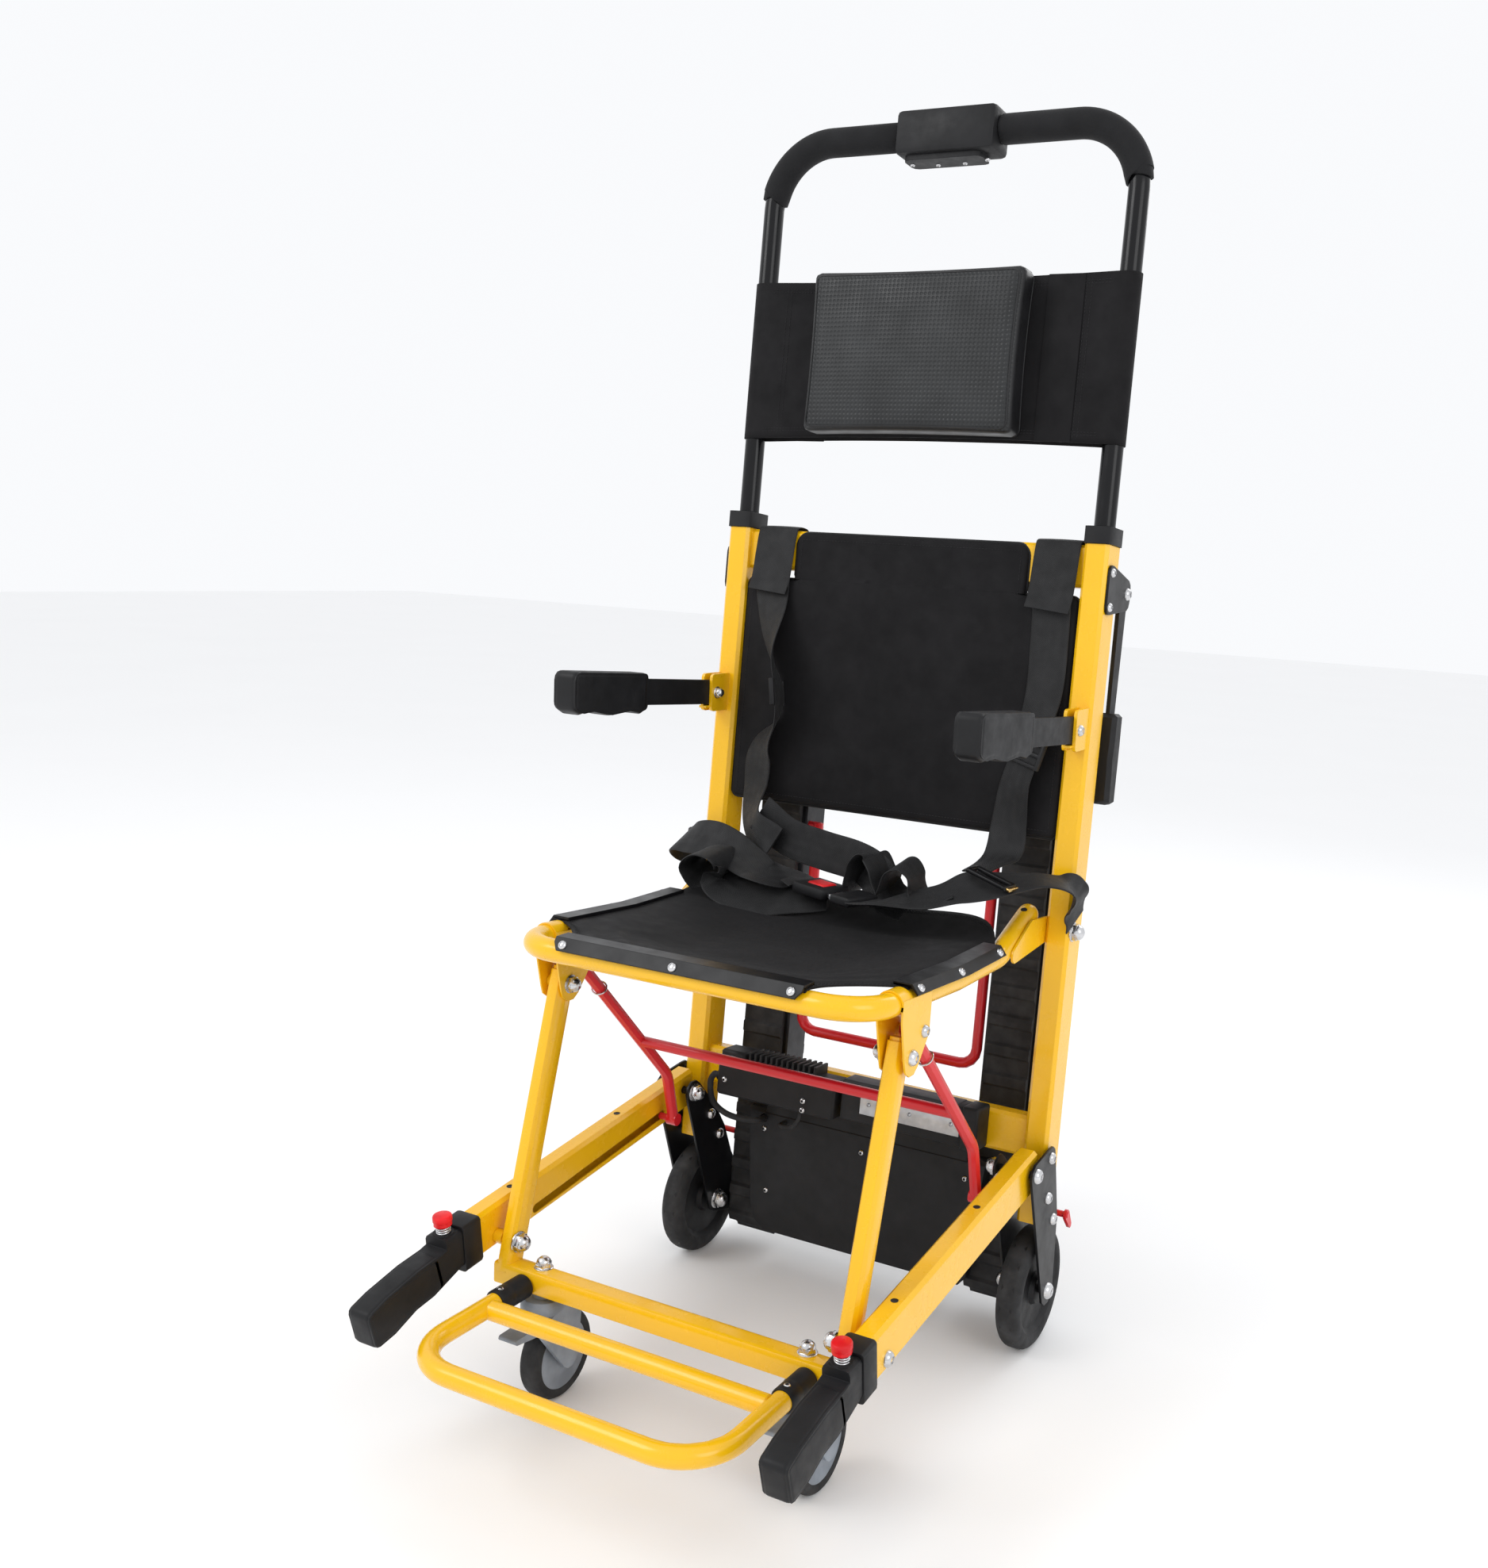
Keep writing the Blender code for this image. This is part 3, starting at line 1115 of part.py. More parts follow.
def make_front_handles():
    place, length = beam_frame()
    start = length + 2 * GAP + BEAM_CAP_LENGTH
    stub = rod((0, GRIP_TUBE_RISE, start - GRIP_TUBE_LENGTH), (0, GRIP_TUBE_RISE, start + 4),
               GRIP_TUBE_RADIUS, 12, place)
    head = plate([rounded_rect(GRIP_WIDTH, BEAM_HEIGHT - 6, 5, 2, (0, 2))], start,
                 start + GRIP_HEAD_LENGTH, place)
    centre = place @ (Vector((0, 0, start + 6)) * MM) / MM
    tip = Vector((BEAM_X, *GRIP_TIP))
    grip_place = along(centre, tip)
    reach = (tip - centre).length
    # Grip outline seen from the side: slim neck, swelling body, blunt tip
    half = GRIP_HEIGHT / 2
    outline = [(-half + 5, 0), (half - 7, 0), (half - 7, reach * 0.2), (half - 2, reach * 0.45),
               (half, reach * 0.8), (half - 2, reach), (-half + 2, reach),
               (-half, reach * 0.8), (-half + 4, reach * 0.55), (-half + 1, reach * 0.35)]
    swap = Matrix(((0, 0, 1, 0), (1, 0, 0, 0), (0, 1, 0, 0), (0, 0, 0, 1)))
    grip = plate([rounded_path(outline, [4, 4, 6, 6, 6, 6, 6, 6, 6, 6], 2, closed=True)],
                 -GRIP_WIDTH / 2, GRIP_WIDTH / 2, grip_place @ swap)
    bevel = grip.modifiers.new("Round", "BEVEL")
    bevel.width = 6 * MM
    bevel.segments = 1
    bevel.limit_method = "ANGLE"
    bevel.angle_limit = math.radians(60)
    grip = settle(grip)
    # The red push button stands on the head, over a coil spring
    top = BEAM_HEIGHT / 2 - 3 + 2
    at_z = start + GRIP_HEAD_LENGTH * 0.5
    seat = rod((0, top - 2, at_z), (0, top + 1.0, at_z), PUSH_RADIUS + 1.5, 12, place)
    well = rod((0, top - 4, at_z), (0, top + 12, at_z), 3 + GAP, 10, place)
    coil = []
    turns = 3
    count = 18
    low = top + 0.6
    rise = 8.0
    for i in range(count + 1):
        a = math.tau * turns * i / count
        coil.append((7.0 * math.cos(a), low + rise * i / count, at_z + 7.0 * math.sin(a)))
    spring = tube(coil, 0.8, 4, place)
    body = fuse(stub, head, grip, seat)
    node_pair("front_handle", fuse(cut(body, well), spring), "black_plastic",
              (BEAM_X, *BEAM_PIVOT))
    # The cap is hollow round its stem so that it slides down over the spring
    mushroom = turned([(0, PUSH_HEIGHT), (PUSH_RADIUS - 3, PUSH_HEIGHT), (PUSH_RADIUS, PUSH_HEIGHT - 2.5),
                       (PUSH_RADIUS, 0), (8.6, 0), (8.6, 6), (3, 6), (3, -9.5), (0, -9.5)], 12,
                      place @ at(0, low + rise + 1.2, at_z) @ Matrix.Rotation(-math.pi / 2, 4, "X"))
    spot = place @ (Vector((0, low + rise, at_z)) * MM) / MM
    node_pair("handle_button", mushroom, "red_plastic", tuple(spot))


def make_folding_link():
    x = LEG_X
    arm = tube(rounded_path([(x, *LINK_PIVOT), (x, *LINK_BEND), (x, *LINK_PIN)], [0, 40, 0], 3), 7, 8)
    eye = rod((x - 7, *LINK_PIVOT), (x + 7, *LINK_PIVOT), 10, 10)
    low_eye = rod((x - 7, *LINK_PIN), (x + 7, *LINK_PIN), 8, 10)
    pin = rod((x + 2, *LINK_PIN), (BEAM_X - BEAM_WIDTH / 2 - 0.5, *LINK_PIN), 4.5, 8)
    hole = rod((x - 20, *LINK_PIVOT), (x + 20, *LINK_PIVOT), 4 + GAP, 12)
    right = cut(fuse(arm, eye, low_eye, pin), hole)
    left = mirrored(right)
    share = (LINK_BAR[0] - LINK_PIVOT[0]) / (LINK_BEND[0] - LINK_PIVOT[0])
    z = LINK_PIVOT[1] + share * (LINK_BEND[1] - LINK_PIVOT[1])
    bar = rod((-x, LINK_BAR[0], z), (x, LINK_BAR[0], z), 6.5, 12)
    node("folding_link", fuse(bar, right, left), "red_paint", (0, *LINK_PIVOT))


# Track unit

def track_loop(radius, steps):
    d, low = TRACK_SHAFT
    points = []
    for base, start in ((TRACK_TOP_S, 0.0), (low, math.pi)):
        for i in range(steps + 1):
            a = start + math.pi * i / steps
            points.append((d + radius * math.cos(a), base + radius * math.sin(a)))
    return points


def belt_outline():
    """The belt's outer face, with a lug at each pitch."""
    radius = BELT_DEPTH / 2
    d, low = TRACK_SHAFT
    run = TRACK_TOP_S - low
    around = math.pi * (radius - LUG_HEIGHT)
    total = 2 * run + 2 * around
    count = int(round(total / LUG_PITCH))
    points = []

    def spot(distance, height):
        distance %= total
        r = radius - LUG_HEIGHT + height
        if distance < run:
            return (d - r, TRACK_TOP_S - distance)
        distance -= run
        if distance < around:
            a = math.pi + distance / around * math.pi
            return (d + r * math.cos(a), low + r * math.sin(a))
        distance -= around
        if distance < run:
            return (d + r, low + distance)
        distance -= run
        a = distance / around * math.pi
        return (d + r * math.cos(a), TRACK_TOP_S + r * math.sin(a))
    pitch = total / count
    for i in range(count):
        base = i * pitch
        for share, height in ((0.0, 0.0), (0.52, 0.0), (0.6, LUG_HEIGHT), (0.92, LUG_HEIGHT)):
            points.append(spot(base + share * pitch, height))
    return points


def make_track_belts():
    inner = track_loop(BELT_DEPTH / 2 - LUG_HEIGHT - BELT_WALL, 10)
    low = BELT_X - BELT_WIDTH / 2
    high = BELT_X + BELT_WIDTH / 2
    belt = plate([belt_outline(), inner], low, high, LEAN @ SIDE)
    shaft = lean_point(*TRACK_SHAFT)
    node_pair("track_belt", belt, "rubber", (BELT_X, *shaft))


def make_track_chassis():
    d, low = TRACK_SHAFT
    pivot = (0, *lean_point(d, low))
    inner_x = BELT_X - BELT_WIDTH / 2 - 3 - CHASSIS_WALL
    outer_x = BELT_X + BELT_WIDTH / 2 + 3
    outline = hull([(d, low, CHASSIS_HALF), (d, TRACK_TOP_S, CHASSIS_HALF)])
    loops = [outline, circle(*LOCK_ROD, LOCK_RADIUS + GAP, 10)]
    plates = [side_plate(loops, x, x + CHASSIS_WALL, leaning=True) for x in (inner_x, outer_x)]
    pin_s = RELEASE_TOP - 4
    plates[0] = cut(plates[0], rod((inner_x - 5, RELEASE_D, pin_s), (inner_x + 9, RELEASE_D, pin_s),
                                   RELEASE_PIN + GAP, 12, LEAN))
    roller_radius = BELT_DEPTH / 2 - LUG_HEIGHT - BELT_WALL - 2 * RUN
    near = inner_x + CHASSIS_WALL / 2
    far = outer_x + CHASSIS_WALL / 2
    rollers = [rod((near, d, s), (far, d, s), roller_radius, 14, LEAN) for s in (low, TRACK_TOP_S)]
    bore = rod((near - 5, d, low), (far + 5, d, low), SHAFT_RADIUS + RUN, 12, LEAN)
    guide = box((near, d - GUIDE_HALF, low + 130), (far, d + GUIDE_HALF, TRACK_TOP_S - 45), LEAN)
    side = cut(fuse(*plates, *rollers, guide), bore)
    cross = [rod((-near, d, s), (near, d, s), 9, 10, LEAN) for s in (low + 150, TRACK_TOP_S - 40)]
    node("track_chassis", fuse(side, mirrored(side), *cross), "grey_plastic", pivot)


def make_track_lock():
    d, s = LOCK_ROD
    end = PLATE_OUTER_X + PLATE_WALL + 4
    bar = rod((-end - 2, d, s), (end + 2, d, s), LOCK_RADIUS, 12, LEAN)
    lever = side_plate([hull([(d, s, 6.5), (d + 14, s - 16, 4)])], end - 3, end + 1, leaning=True)
    other = mirrored(lever)
    y, z = lean_point(d, s)
    node("track_lock_bar", fuse(bar, lever, other), "red_paint", (0, y, z))


def make_release_bar():
    x = RELEASE_HALF
    corners = [(-x, RELEASE_D, RELEASE_TOP), (-x, RELEASE_D, RELEASE_LOW),
               (x, RELEASE_D, RELEASE_LOW), (x, RELEASE_D, RELEASE_TOP)]
    bar = tube(rounded_path(corners, 22, 4), RELEASE_RADIUS, 10, LEAN)
    # Pins turn in the chassis plates
    end = BELT_X - BELT_WIDTH / 2 - 3 - CHASSIS_WALL / 2
    pin = rod((-end, RELEASE_D, RELEASE_TOP - 4), (end, RELEASE_D, RELEASE_TOP - 4), RELEASE_PIN, 12,
              LEAN)
    gap = box((4 - x, RELEASE_D - 9, RELEASE_TOP - 14), (x - 4, RELEASE_D + 9, RELEASE_TOP + 6), LEAN)
    y, z = lean_point(RELEASE_D, RELEASE_TOP - 4)
    node("release_bar", fuse(bar, cut(pin, gap)), "red_paint", (0, y, z))


# Electric boxes, cover and cables

def make_motor_cover():
    profile = [(COVER_FRONT, COVER_KNEE), (COVER_FRONT, COVER_TOP - 5), (COVER_FRONT + 5, COVER_TOP),
               (COVER_BACK, COVER_TOP), (COVER_BACK, COVER_LOW), (COVER_BACK - 6, COVER_LOW)]
    front = [(-COVER_HALF_LOW + 12, COVER_LOW), (COVER_HALF_LOW - 12, COVER_LOW),
             (COVER_HALF_LOW, COVER_LOW + 14), (COVER_HALF, COVER_TOP), (-COVER_HALF, COVER_TOP),
             (-COVER_HALF_LOW, COVER_LOW + 14)]
    slab = side_plate([profile], -COVER_HALF - 10, COVER_HALF + 10, leaning=True)
    face = plate([front], -COVER_BACK - 5, -COVER_FRONT + 5, LEAN @ FRONT)
    cover = common(slab, face)
    core_profile = [(COVER_BACK - 4, COVER_LOW + 3), (MOTOR_BACK - 16, COVER_LOW - 8),
                    (MOTOR_BACK, COVER_LOW + 8), (MOTOR_BACK, MOTOR_TOP - 12),
                    (MOTOR_BACK - 10, MOTOR_TOP), (COVER_BACK - 4, MOTOR_TOP)]
    core = side_plate([core_profile], -MOTOR_HALF, MOTOR_HALF, leaning=True)
    # Two straps hang the housing from the low cross rail
    hangers = []
    for x in (-92, 92):
        hangers.append(box((x - 12, RAIL_DEPTH / 2 + GAP, COVER_TOP - 20),
                           (x + 12, RAIL_DEPTH / 2 + GAP + 3, LOW_RAIL_S), LEAN))
    holes = []
    for (x, s), radius in zip(CABLE_HOLES, (CABLE_RADIUS, THIN_CABLE_RADIUS)):
        holes.append(rod((x, COVER_FRONT - 10, s), (x, COVER_FRONT + 8, s), radius + 1.5, 12, LEAN))
    screws = [fastener("dome", (x, COVER_FRONT, s), (0, -1, 0), 3.5, LEAN)
              for x, s in ((-146, 190), (146, 190), (-136, 108), (136, 108), (0, 190))]
    # Half shafts that drive the belts run out to the inner wheel plates
    shaft = rod((MOTOR_HALF - 5, *TRACK_SHAFT), (PLATE_INNER_X + PLATE_WALL, *TRACK_SHAFT),
                SHAFT_RADIUS, 12, LEAN)
    body = cut(fuse(cover, core, shaft, mirrored(shaft), *hangers, *screws), *holes)
    node("motor_cover", body, "black_plastic")


def make_boxes():
    back = -RAIL_DEPTH / 2 - GAP
    body = box((CONTROLLER_LEFT, BOX_FRONT, BOX_LOW), (CONTROLLER_RIGHT, back, BOX_HIGH), LEAN, 3)
    fins = [(SINK_LEFT, BOX_HIGH - 1)]
    x = SINK_LEFT
    while x + FIN_PITCH <= SINK_RIGHT:
        fins += [(x, BOX_HIGH + SINK_HEIGHT), (x + 3, BOX_HIGH + SINK_HEIGHT),
                 (x + 3, BOX_HIGH + 3), (x + FIN_PITCH, BOX_HIGH + 3)]
        x += FIN_PITCH
    fins += [(x, BOX_HIGH + SINK_HEIGHT), (x + 3, BOX_HIGH + SINK_HEIGHT), (x + 3, BOX_HIGH - 1)]
    sink = plate([fins], -back + 3, -BOX_FRONT - 3, LEAN @ FRONT)
    lid = box((CONTROLLER_LEFT + 2, BOX_FRONT + 2, BOX_HIGH - 5),
              (SINK_LEFT - 6, back - 2, BOX_HIGH + SINK_HEIGHT - 2), LEAN, 3)
    gland = rod((CONTROLLER_LEFT - 6, BOX_FRONT + 14, 262), (CONTROLLER_LEFT + 3, BOX_FRONT + 14, 262),
                6.5, 12, LEAN)
    screws = [fastener("dome", (x, BOX_FRONT, s), (0, -1, 0), 3.5, LEAN)
              for x, s in ((-178, 262), (-60, 258), (-60, 246))]
    node("controller_box", fuse(body, sink, lid, gland, *screws), "black_plastic")
    pack = box((BATTERY_LEFT, BOX_FRONT + 5, BOX_LOW + 4), (BATTERY_RIGHT, back, BOX_HIGH + 6), LEAN, 4, 2)
    rail = box((BATTERY_LEFT + 30, BOX_FRONT + 2, BOX_HIGH - 14),
               (BATTERY_RIGHT - 22, BOX_FRONT + 7, BOX_HIGH - 4), LEAN)
    node("battery_pack", fuse(pack, rail), "black_plastic")


def make_cables():
    start = (CONTROLLER_LEFT - 6 - GAP, BOX_FRONT + 14, 262)
    (x1, s1), (x2, s2) = CABLE_HOLES
    route = [start, (start[0] - 4, BOX_FRONT + 14, 262), (start[0] - 7, BOX_FRONT + 14, 261),
             (-209, BOX_FRONT + 16, 249), (-206, BOX_FRONT + 20, 224),
             (-190, -22, 208), (-165, -14, 203), (x1, -6, s1), (x1, COVER_FRONT + 5, s1)]
    thick = tube(smooth_run(route, 24), CABLE_RADIUS, 8, LEAN)
    route = [(-70, BOX_FRONT + 14, BOX_LOW - GAP), (-71, BOX_FRONT + 14, 230), (-84, -28, 214),
             (-104, -14, 206), (x2, -4, s2), (x2, COVER_FRONT + 5, s2)]
    thin = tube(smooth_run(route, 20), THIN_CABLE_RADIUS, 6, LEAN)
    node("motor_cable", thick, "rubber")
    node("sensor_cable", thin, "rubber")


# Harness

def lean_mm(x, d, s):
    y, z = lean_point(d, s)
    return (x, y, z)


BUCKLE_PLACE = at(*BUCKLE_SPOT) @ Matrix.Rotation(math.radians(BUCKLE_TURN), 4, "Z")


def make_shoulder_straps():
    rail = RAIL_DEPTH / 2 + GAP + STRAP_WALL / 2
    top = HIGH_RAIL_S + RAIL_HEIGHT / 2 + GAP + STRAP_WALL / 2
    face = PAD_FRONT - GAP - STRAP_WALL / 2
    low = HIGH_RAIL_S - RAIL_HEIGHT / 2 + 6

    def loop(x):
        return [lean_mm(x, rail, low), lean_mm(x, rail, top - 14), lean_mm(x, rail, top - 4),
                lean_mm(x, rail - 5, top), lean_mm(x, 5 - rail, top), lean_mm(x, -rail, top - 4),
                lean_mm(x, -rail, top - 14), lean_mm(x, face + 0.5, low + 14),
                lean_mm(x, face - 0.4, PAD_SHOULDER - 8)]
    across = Vector((1, 0, 0))
    right = loop(195) + [lean_mm(197, face - 2, 860), lean_mm(198, face - 5, 800),
                         lean_mm(188, face - 10, 740), lean_mm(176, face - 13, 690),
                         lean_mm(172, face - 10, 640), (172, 12, 606), (158, -30, 590)]
    lay = [across] * 9 + [Vector((1, 0, 0)), Vector((1, -0.1, 0)), Vector((1, -0.3, 0.2)),
                          Vector((1, -0.4, 0.2)), Vector((1, -0.1, 0.1)), Vector((1, 0.2, 0.2)),
                          Vector((0.8, 0.3, 0.3))]
    left = loop(-188) + [lean_mm(-182, face - 7, 880), lean_mm(-168, face - 23, 820),
                         lean_mm(-150, face - 27, 770), lean_mm(-152, face - 25, 730),
                         lean_mm(-176, face - 16, 690), lean_mm(-180, face - 14, 645),
                         (-155, -22, 606), (-110, -46, 588)]
    lay_left = [across] * 9 + [Vector((1, -0.2, 0)), Vector((0.6, -0.8, 0)), Vector((0.3, -1, 0.1)),
                               Vector((0.5, -0.9, 0.2)), Vector((0.9, -0.4, 0.2)),
                               Vector((0.9, -0.3, 0.3)), Vector((0.6, -0.4, 0.6)),
                               Vector((0.5, 0.2, 0.8))]
    node("shoulder_strap_right", strap(right, lay, 34), "webbing")
    node("shoulder_strap_left", strap(left, lay_left, 36), "webbing")


def make_lap_belt():
    """Both belts run round the uprights and end on the buckle and on its tongue."""
    y = Vector((0, 1, 0))
    x0 = UPRIGHT_OUTER + GAP + STRAP_WALL / 2 + 0.4
    lie = (BUCKLE_PLACE.to_3x3() @ Vector((0, 1, 0)))

    def spot(reach, rise=0.0):
        return tuple(BUCKLE_PLACE @ (Vector((reach, 0, rise)) * MM) / MM)
    tongue_end = BUCKLE_FRONT + GAP + TONGUE_LENGTH + 2 * GAP
    right = [(x0, 33, 534), (x0 + 1, 22, 552), (x0 + 6, 4, 572), (x0 - 2, -12, 590),
             (240, -16, 597), (214, -16, 590), (184, -20, 578), (150, -44, 567),
             spot(tongue_end + 62, 8), spot(tongue_end + 26, 2), spot(tongue_end)]
    lay = [y, y, y, y, y, y, y, Vector((0.1, 1, 0.2)), Vector((0.4, 1, 0)), lie, lie]
    left = [(-x0, 33, 534), (-x0 - 6, 20, 556), (-x0 - 14, -4, 578), (-x0 - 4, -22, 594),
            (-236, -28, 592), (-206, -40, 576), (-172, -60, 560), (-134, -66, 552),
            spot(-BUCKLE_REAR - 30, 5), spot(-BUCKLE_REAR - 2 * GAP)]
    lay_left = [y, y, y, y, y, Vector((0.1, 1, 0)), Vector((0.3, 1, 0.1)), Vector((0.2, 1, 0.2)),
                lie, lie]
    node("lap_belt_right", strap(right, lay, 26), "webbing")
    node("lap_belt_left", strap(left, lay_left, 24), "webbing")


def make_buckle():
    half = BUCKLE_WIDTH / 2
    body = box((-BUCKLE_REAR, -half, -7), (BUCKLE_FRONT, half, 7), BUCKLE_PLACE, 4, 2)
    pocket = box((-17, -11, 2), (15, 11, 12), BUCKLE_PLACE)
    middle = BUCKLE_FRONT + GAP + TONGUE_LENGTH / 2
    outline = rounded_rect(TONGUE_LENGTH, TONGUE_WIDTH, 5, 2, (middle, 0))
    tongue = plate([outline], -1.5, 1.5, BUCKLE_PLACE)
    node("buckle", cut(body, pocket), "black_plastic", (0, *SEAT_PIVOT))
    node("buckle_tongue", tongue, "bright_steel", (0, *SEAT_PIVOT))
    button = box((-16.5, -10.5, 2 + GAP + 2.4), (14.5, 10.5, 8.6), BUCKLE_PLACE, 1.5, 1)
    spot = BUCKLE_PLACE @ (Vector((-1, 0, 7)) * MM) / MM
    node("buckle_button", button, "red_plastic", tuple(spot))


def build():
    make_main_frame()
    make_upright_caps()
    make_wheel_plates()
    make_rear_wheels()
    make_handle()
    make_control_box()
    make_headrest()
    make_backrest()
    make_armrests()
    make_rear_handles()
    make_seat_frame()
    make_seat_fabric()
    make_seat_strips()
    make_legs()
    make_casters()
    make_footrest()
    make_beams()
    make_front_handles()
    make_folding_link()
    make_track_belts()
    make_track_chassis()
    make_track_lock()
    make_release_bar()
    make_motor_cover()
    make_boxes()
    make_cables()
    make_shoulder_straps()
    make_lap_belt()
    make_buckle()
    for obj in list(WORK.objects):
        bpy.data.objects.remove(obj, do_unlink=True)


build()
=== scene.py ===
"""Electric stair chair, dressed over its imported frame.

Points are millimetres in the chair's own frame: X to the right seen from the front, Y back
from the uprights' feet, Z up. d is measured square to the leaning uprights, s along them.
"""
import json
import math

import bmesh
import bpy
from mathutils import Matrix, Vector, noise


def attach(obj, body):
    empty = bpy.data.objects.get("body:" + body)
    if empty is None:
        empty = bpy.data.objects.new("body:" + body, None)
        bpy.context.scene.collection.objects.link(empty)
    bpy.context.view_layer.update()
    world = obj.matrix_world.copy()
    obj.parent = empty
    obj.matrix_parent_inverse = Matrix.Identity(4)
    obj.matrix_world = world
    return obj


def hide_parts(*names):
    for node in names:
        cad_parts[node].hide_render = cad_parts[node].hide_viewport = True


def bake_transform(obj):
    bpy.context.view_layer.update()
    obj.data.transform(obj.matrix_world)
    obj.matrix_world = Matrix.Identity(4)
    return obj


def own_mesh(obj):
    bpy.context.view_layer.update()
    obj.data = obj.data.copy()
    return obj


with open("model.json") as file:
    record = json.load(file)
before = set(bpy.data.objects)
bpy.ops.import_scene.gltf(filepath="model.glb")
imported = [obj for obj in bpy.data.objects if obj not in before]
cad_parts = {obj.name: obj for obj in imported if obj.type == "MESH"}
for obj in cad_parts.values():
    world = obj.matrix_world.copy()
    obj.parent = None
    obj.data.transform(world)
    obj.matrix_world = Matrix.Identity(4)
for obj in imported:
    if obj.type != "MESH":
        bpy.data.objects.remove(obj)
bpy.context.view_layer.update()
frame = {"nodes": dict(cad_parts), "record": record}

bl_info = {
    "name": "Electric Stair Chair",
    "version": (1, 0, 0),
    "blender": (4, 5, 0),
    "location": "3D View > Sidebar > Stair Chair",
    "description": "Dresses the packed stair chair with cloth, webbing, fittings and finishes",
    "category": "Object",
}

MM = 0.001
MID_Y = 228.8
LEAN = Matrix.Rotation(-math.atan(0.085), 4, "X")
SIDEWAYS = Matrix(((0, 0, 1, 0), (1, 0, 0, 0), (0, 1, 0, 0), (0, 0, 0, 1)))
TO_ROW = Matrix.Scale(MM, 4) @ Matrix.Translation((0, MID_Y, 0))

# Frame sizes that the pieces are fitted to
UPRIGHT_X = 244.0
UPRIGHT_TOP_S = 976.5
BAR_RADIUS = 12.5
BAR_TOP = 1462.0
BAR_BEND = 80.0
FOAM_FOOT = 1396.0
FOAM_RADIUS = 17.5
SLING_LOW, SLING_HIGH = 1091.5, 1288.0
PAD_LOW, PAD_SHOULDER, PAD_HIGH = 628.0, 914.0, 973.5
SEAT_X = 213.0
SEAT_FRONT_Y = -403.0
CLOTH_REAR_Y = -92.0
CLOTH_REACH = 58.0
CLOTH_CLIMB = 0.34
CROWN_FALL = 0.6
THREAD_WIDTH, THREAD_RISE = 0.8, 0.45
STRIP_FRONT_HALF = 150.0
STRIP_SIDE_FRONT = -326.0
BEAM_REAR = Vector((244, -22, 242))
BEAM_FRONT = Vector((244, -436, 190))
BUCKLE = Matrix.Translation((-18, -80, 551)) @ Matrix.Rotation(math.radians(-22), 4, "Z")


# Settings that a user would change

class StairChairColours(bpy.types.PropertyGroup):
    """Colours of the chair's finishes"""
    frame_yellow: bpy.props.FloatVectorProperty(
        name="Frame", description="Powder coat on the tubes", subtype="COLOR", size=3,
        min=0, max=1, default=(0.90, 0.50, 0.004))
    link_red: bpy.props.FloatVectorProperty(
        name="Linkage", description="Paint on the folding link and release bars",
        subtype="COLOR", size=3, min=0, max=1, default=(0.66, 0.012, 0.020))
    button_red: bpy.props.FloatVectorProperty(
        name="Buttons", description="Moulded red buttons", subtype="COLOR", size=3,
        min=0, max=1, default=(0.74, 0.012, 0.016))
    cloth_black: bpy.props.FloatVectorProperty(
        name="Cloth", description="Seat, back and sling cloth", subtype="COLOR", size=3,
        min=0, max=1, default=(0.0085, 0.0080, 0.0088))
    webbing_black: bpy.props.FloatVectorProperty(
        name="Webbing", description="Harness webbing", subtype="COLOR", size=3,
        min=0, max=1, default=(0.0075, 0.0075, 0.0082))
    hub_grey: bpy.props.FloatVectorProperty(
        name="Caster hubs", description="Moulded caster forks and hubs", subtype="COLOR",
        size=3, min=0, max=1, default=(0.22, 0.245, 0.28))
    tyre_grey: bpy.props.FloatVectorProperty(
        name="Tyres", description="Rubber tyres", subtype="COLOR", size=3, min=0, max=1,
        default=(0.020, 0.020, 0.021))


class StairChairSizes(bpy.types.PropertyGroup):
    """Sizes of the chair's soft pieces"""
    strap_width: bpy.props.FloatProperty(
        name="Strap width", description="Width of the harness webbing", unit="LENGTH",
        subtype="DISTANCE", min=0.02, max=0.06, default=0.048)
    strap_wall: bpy.props.FloatProperty(
        name="Strap thickness", description="Thickness of the harness webbing", unit="LENGTH",
        subtype="DISTANCE", min=0.001, max=0.004, default=0.0022)
    seat_sag: bpy.props.FloatProperty(
        name="Seat sag", description="How far the seat cloth hangs between its tubes",
        unit="LENGTH", subtype="DISTANCE", min=0.0, max=0.04, default=0.016)
    cushion_crown: bpy.props.FloatProperty(
        name="Cushion crown", description="How far the head cushion's face bulges",
        unit="LENGTH", subtype="DISTANCE", min=0.0, max=0.012, default=0.006)
    stitch: bpy.props.FloatProperty(
        name="Stitch", description="Length of one stitch and its gap", unit="LENGTH",
        subtype="DISTANCE", min=0.002, max=0.01, default=0.0042)


class StairChairStage(bpy.types.PropertyGroup):
    """Floor and lights"""
    floor_size: bpy.props.FloatProperty(
        name="Floor", description="Width of the floor", unit="LENGTH", subtype="DISTANCE",
        min=2, max=60, default=30.0)
    key_power: bpy.props.FloatProperty(
        name="Key light", description="Power of the main soft light", unit="POWER",
        subtype="POWER", min=0, max=500, default=40.0)
    fill_power: bpy.props.FloatProperty(
        name="Fill light", description="Power of the softer light on the other side",
        unit="POWER", subtype="POWER", min=0, max=500, default=18.0)


# Geometry helpers

def lean(x, d, s):
    """A point of the leaning uprights' own frame."""
    return LEAN @ Vector((x, d, s))


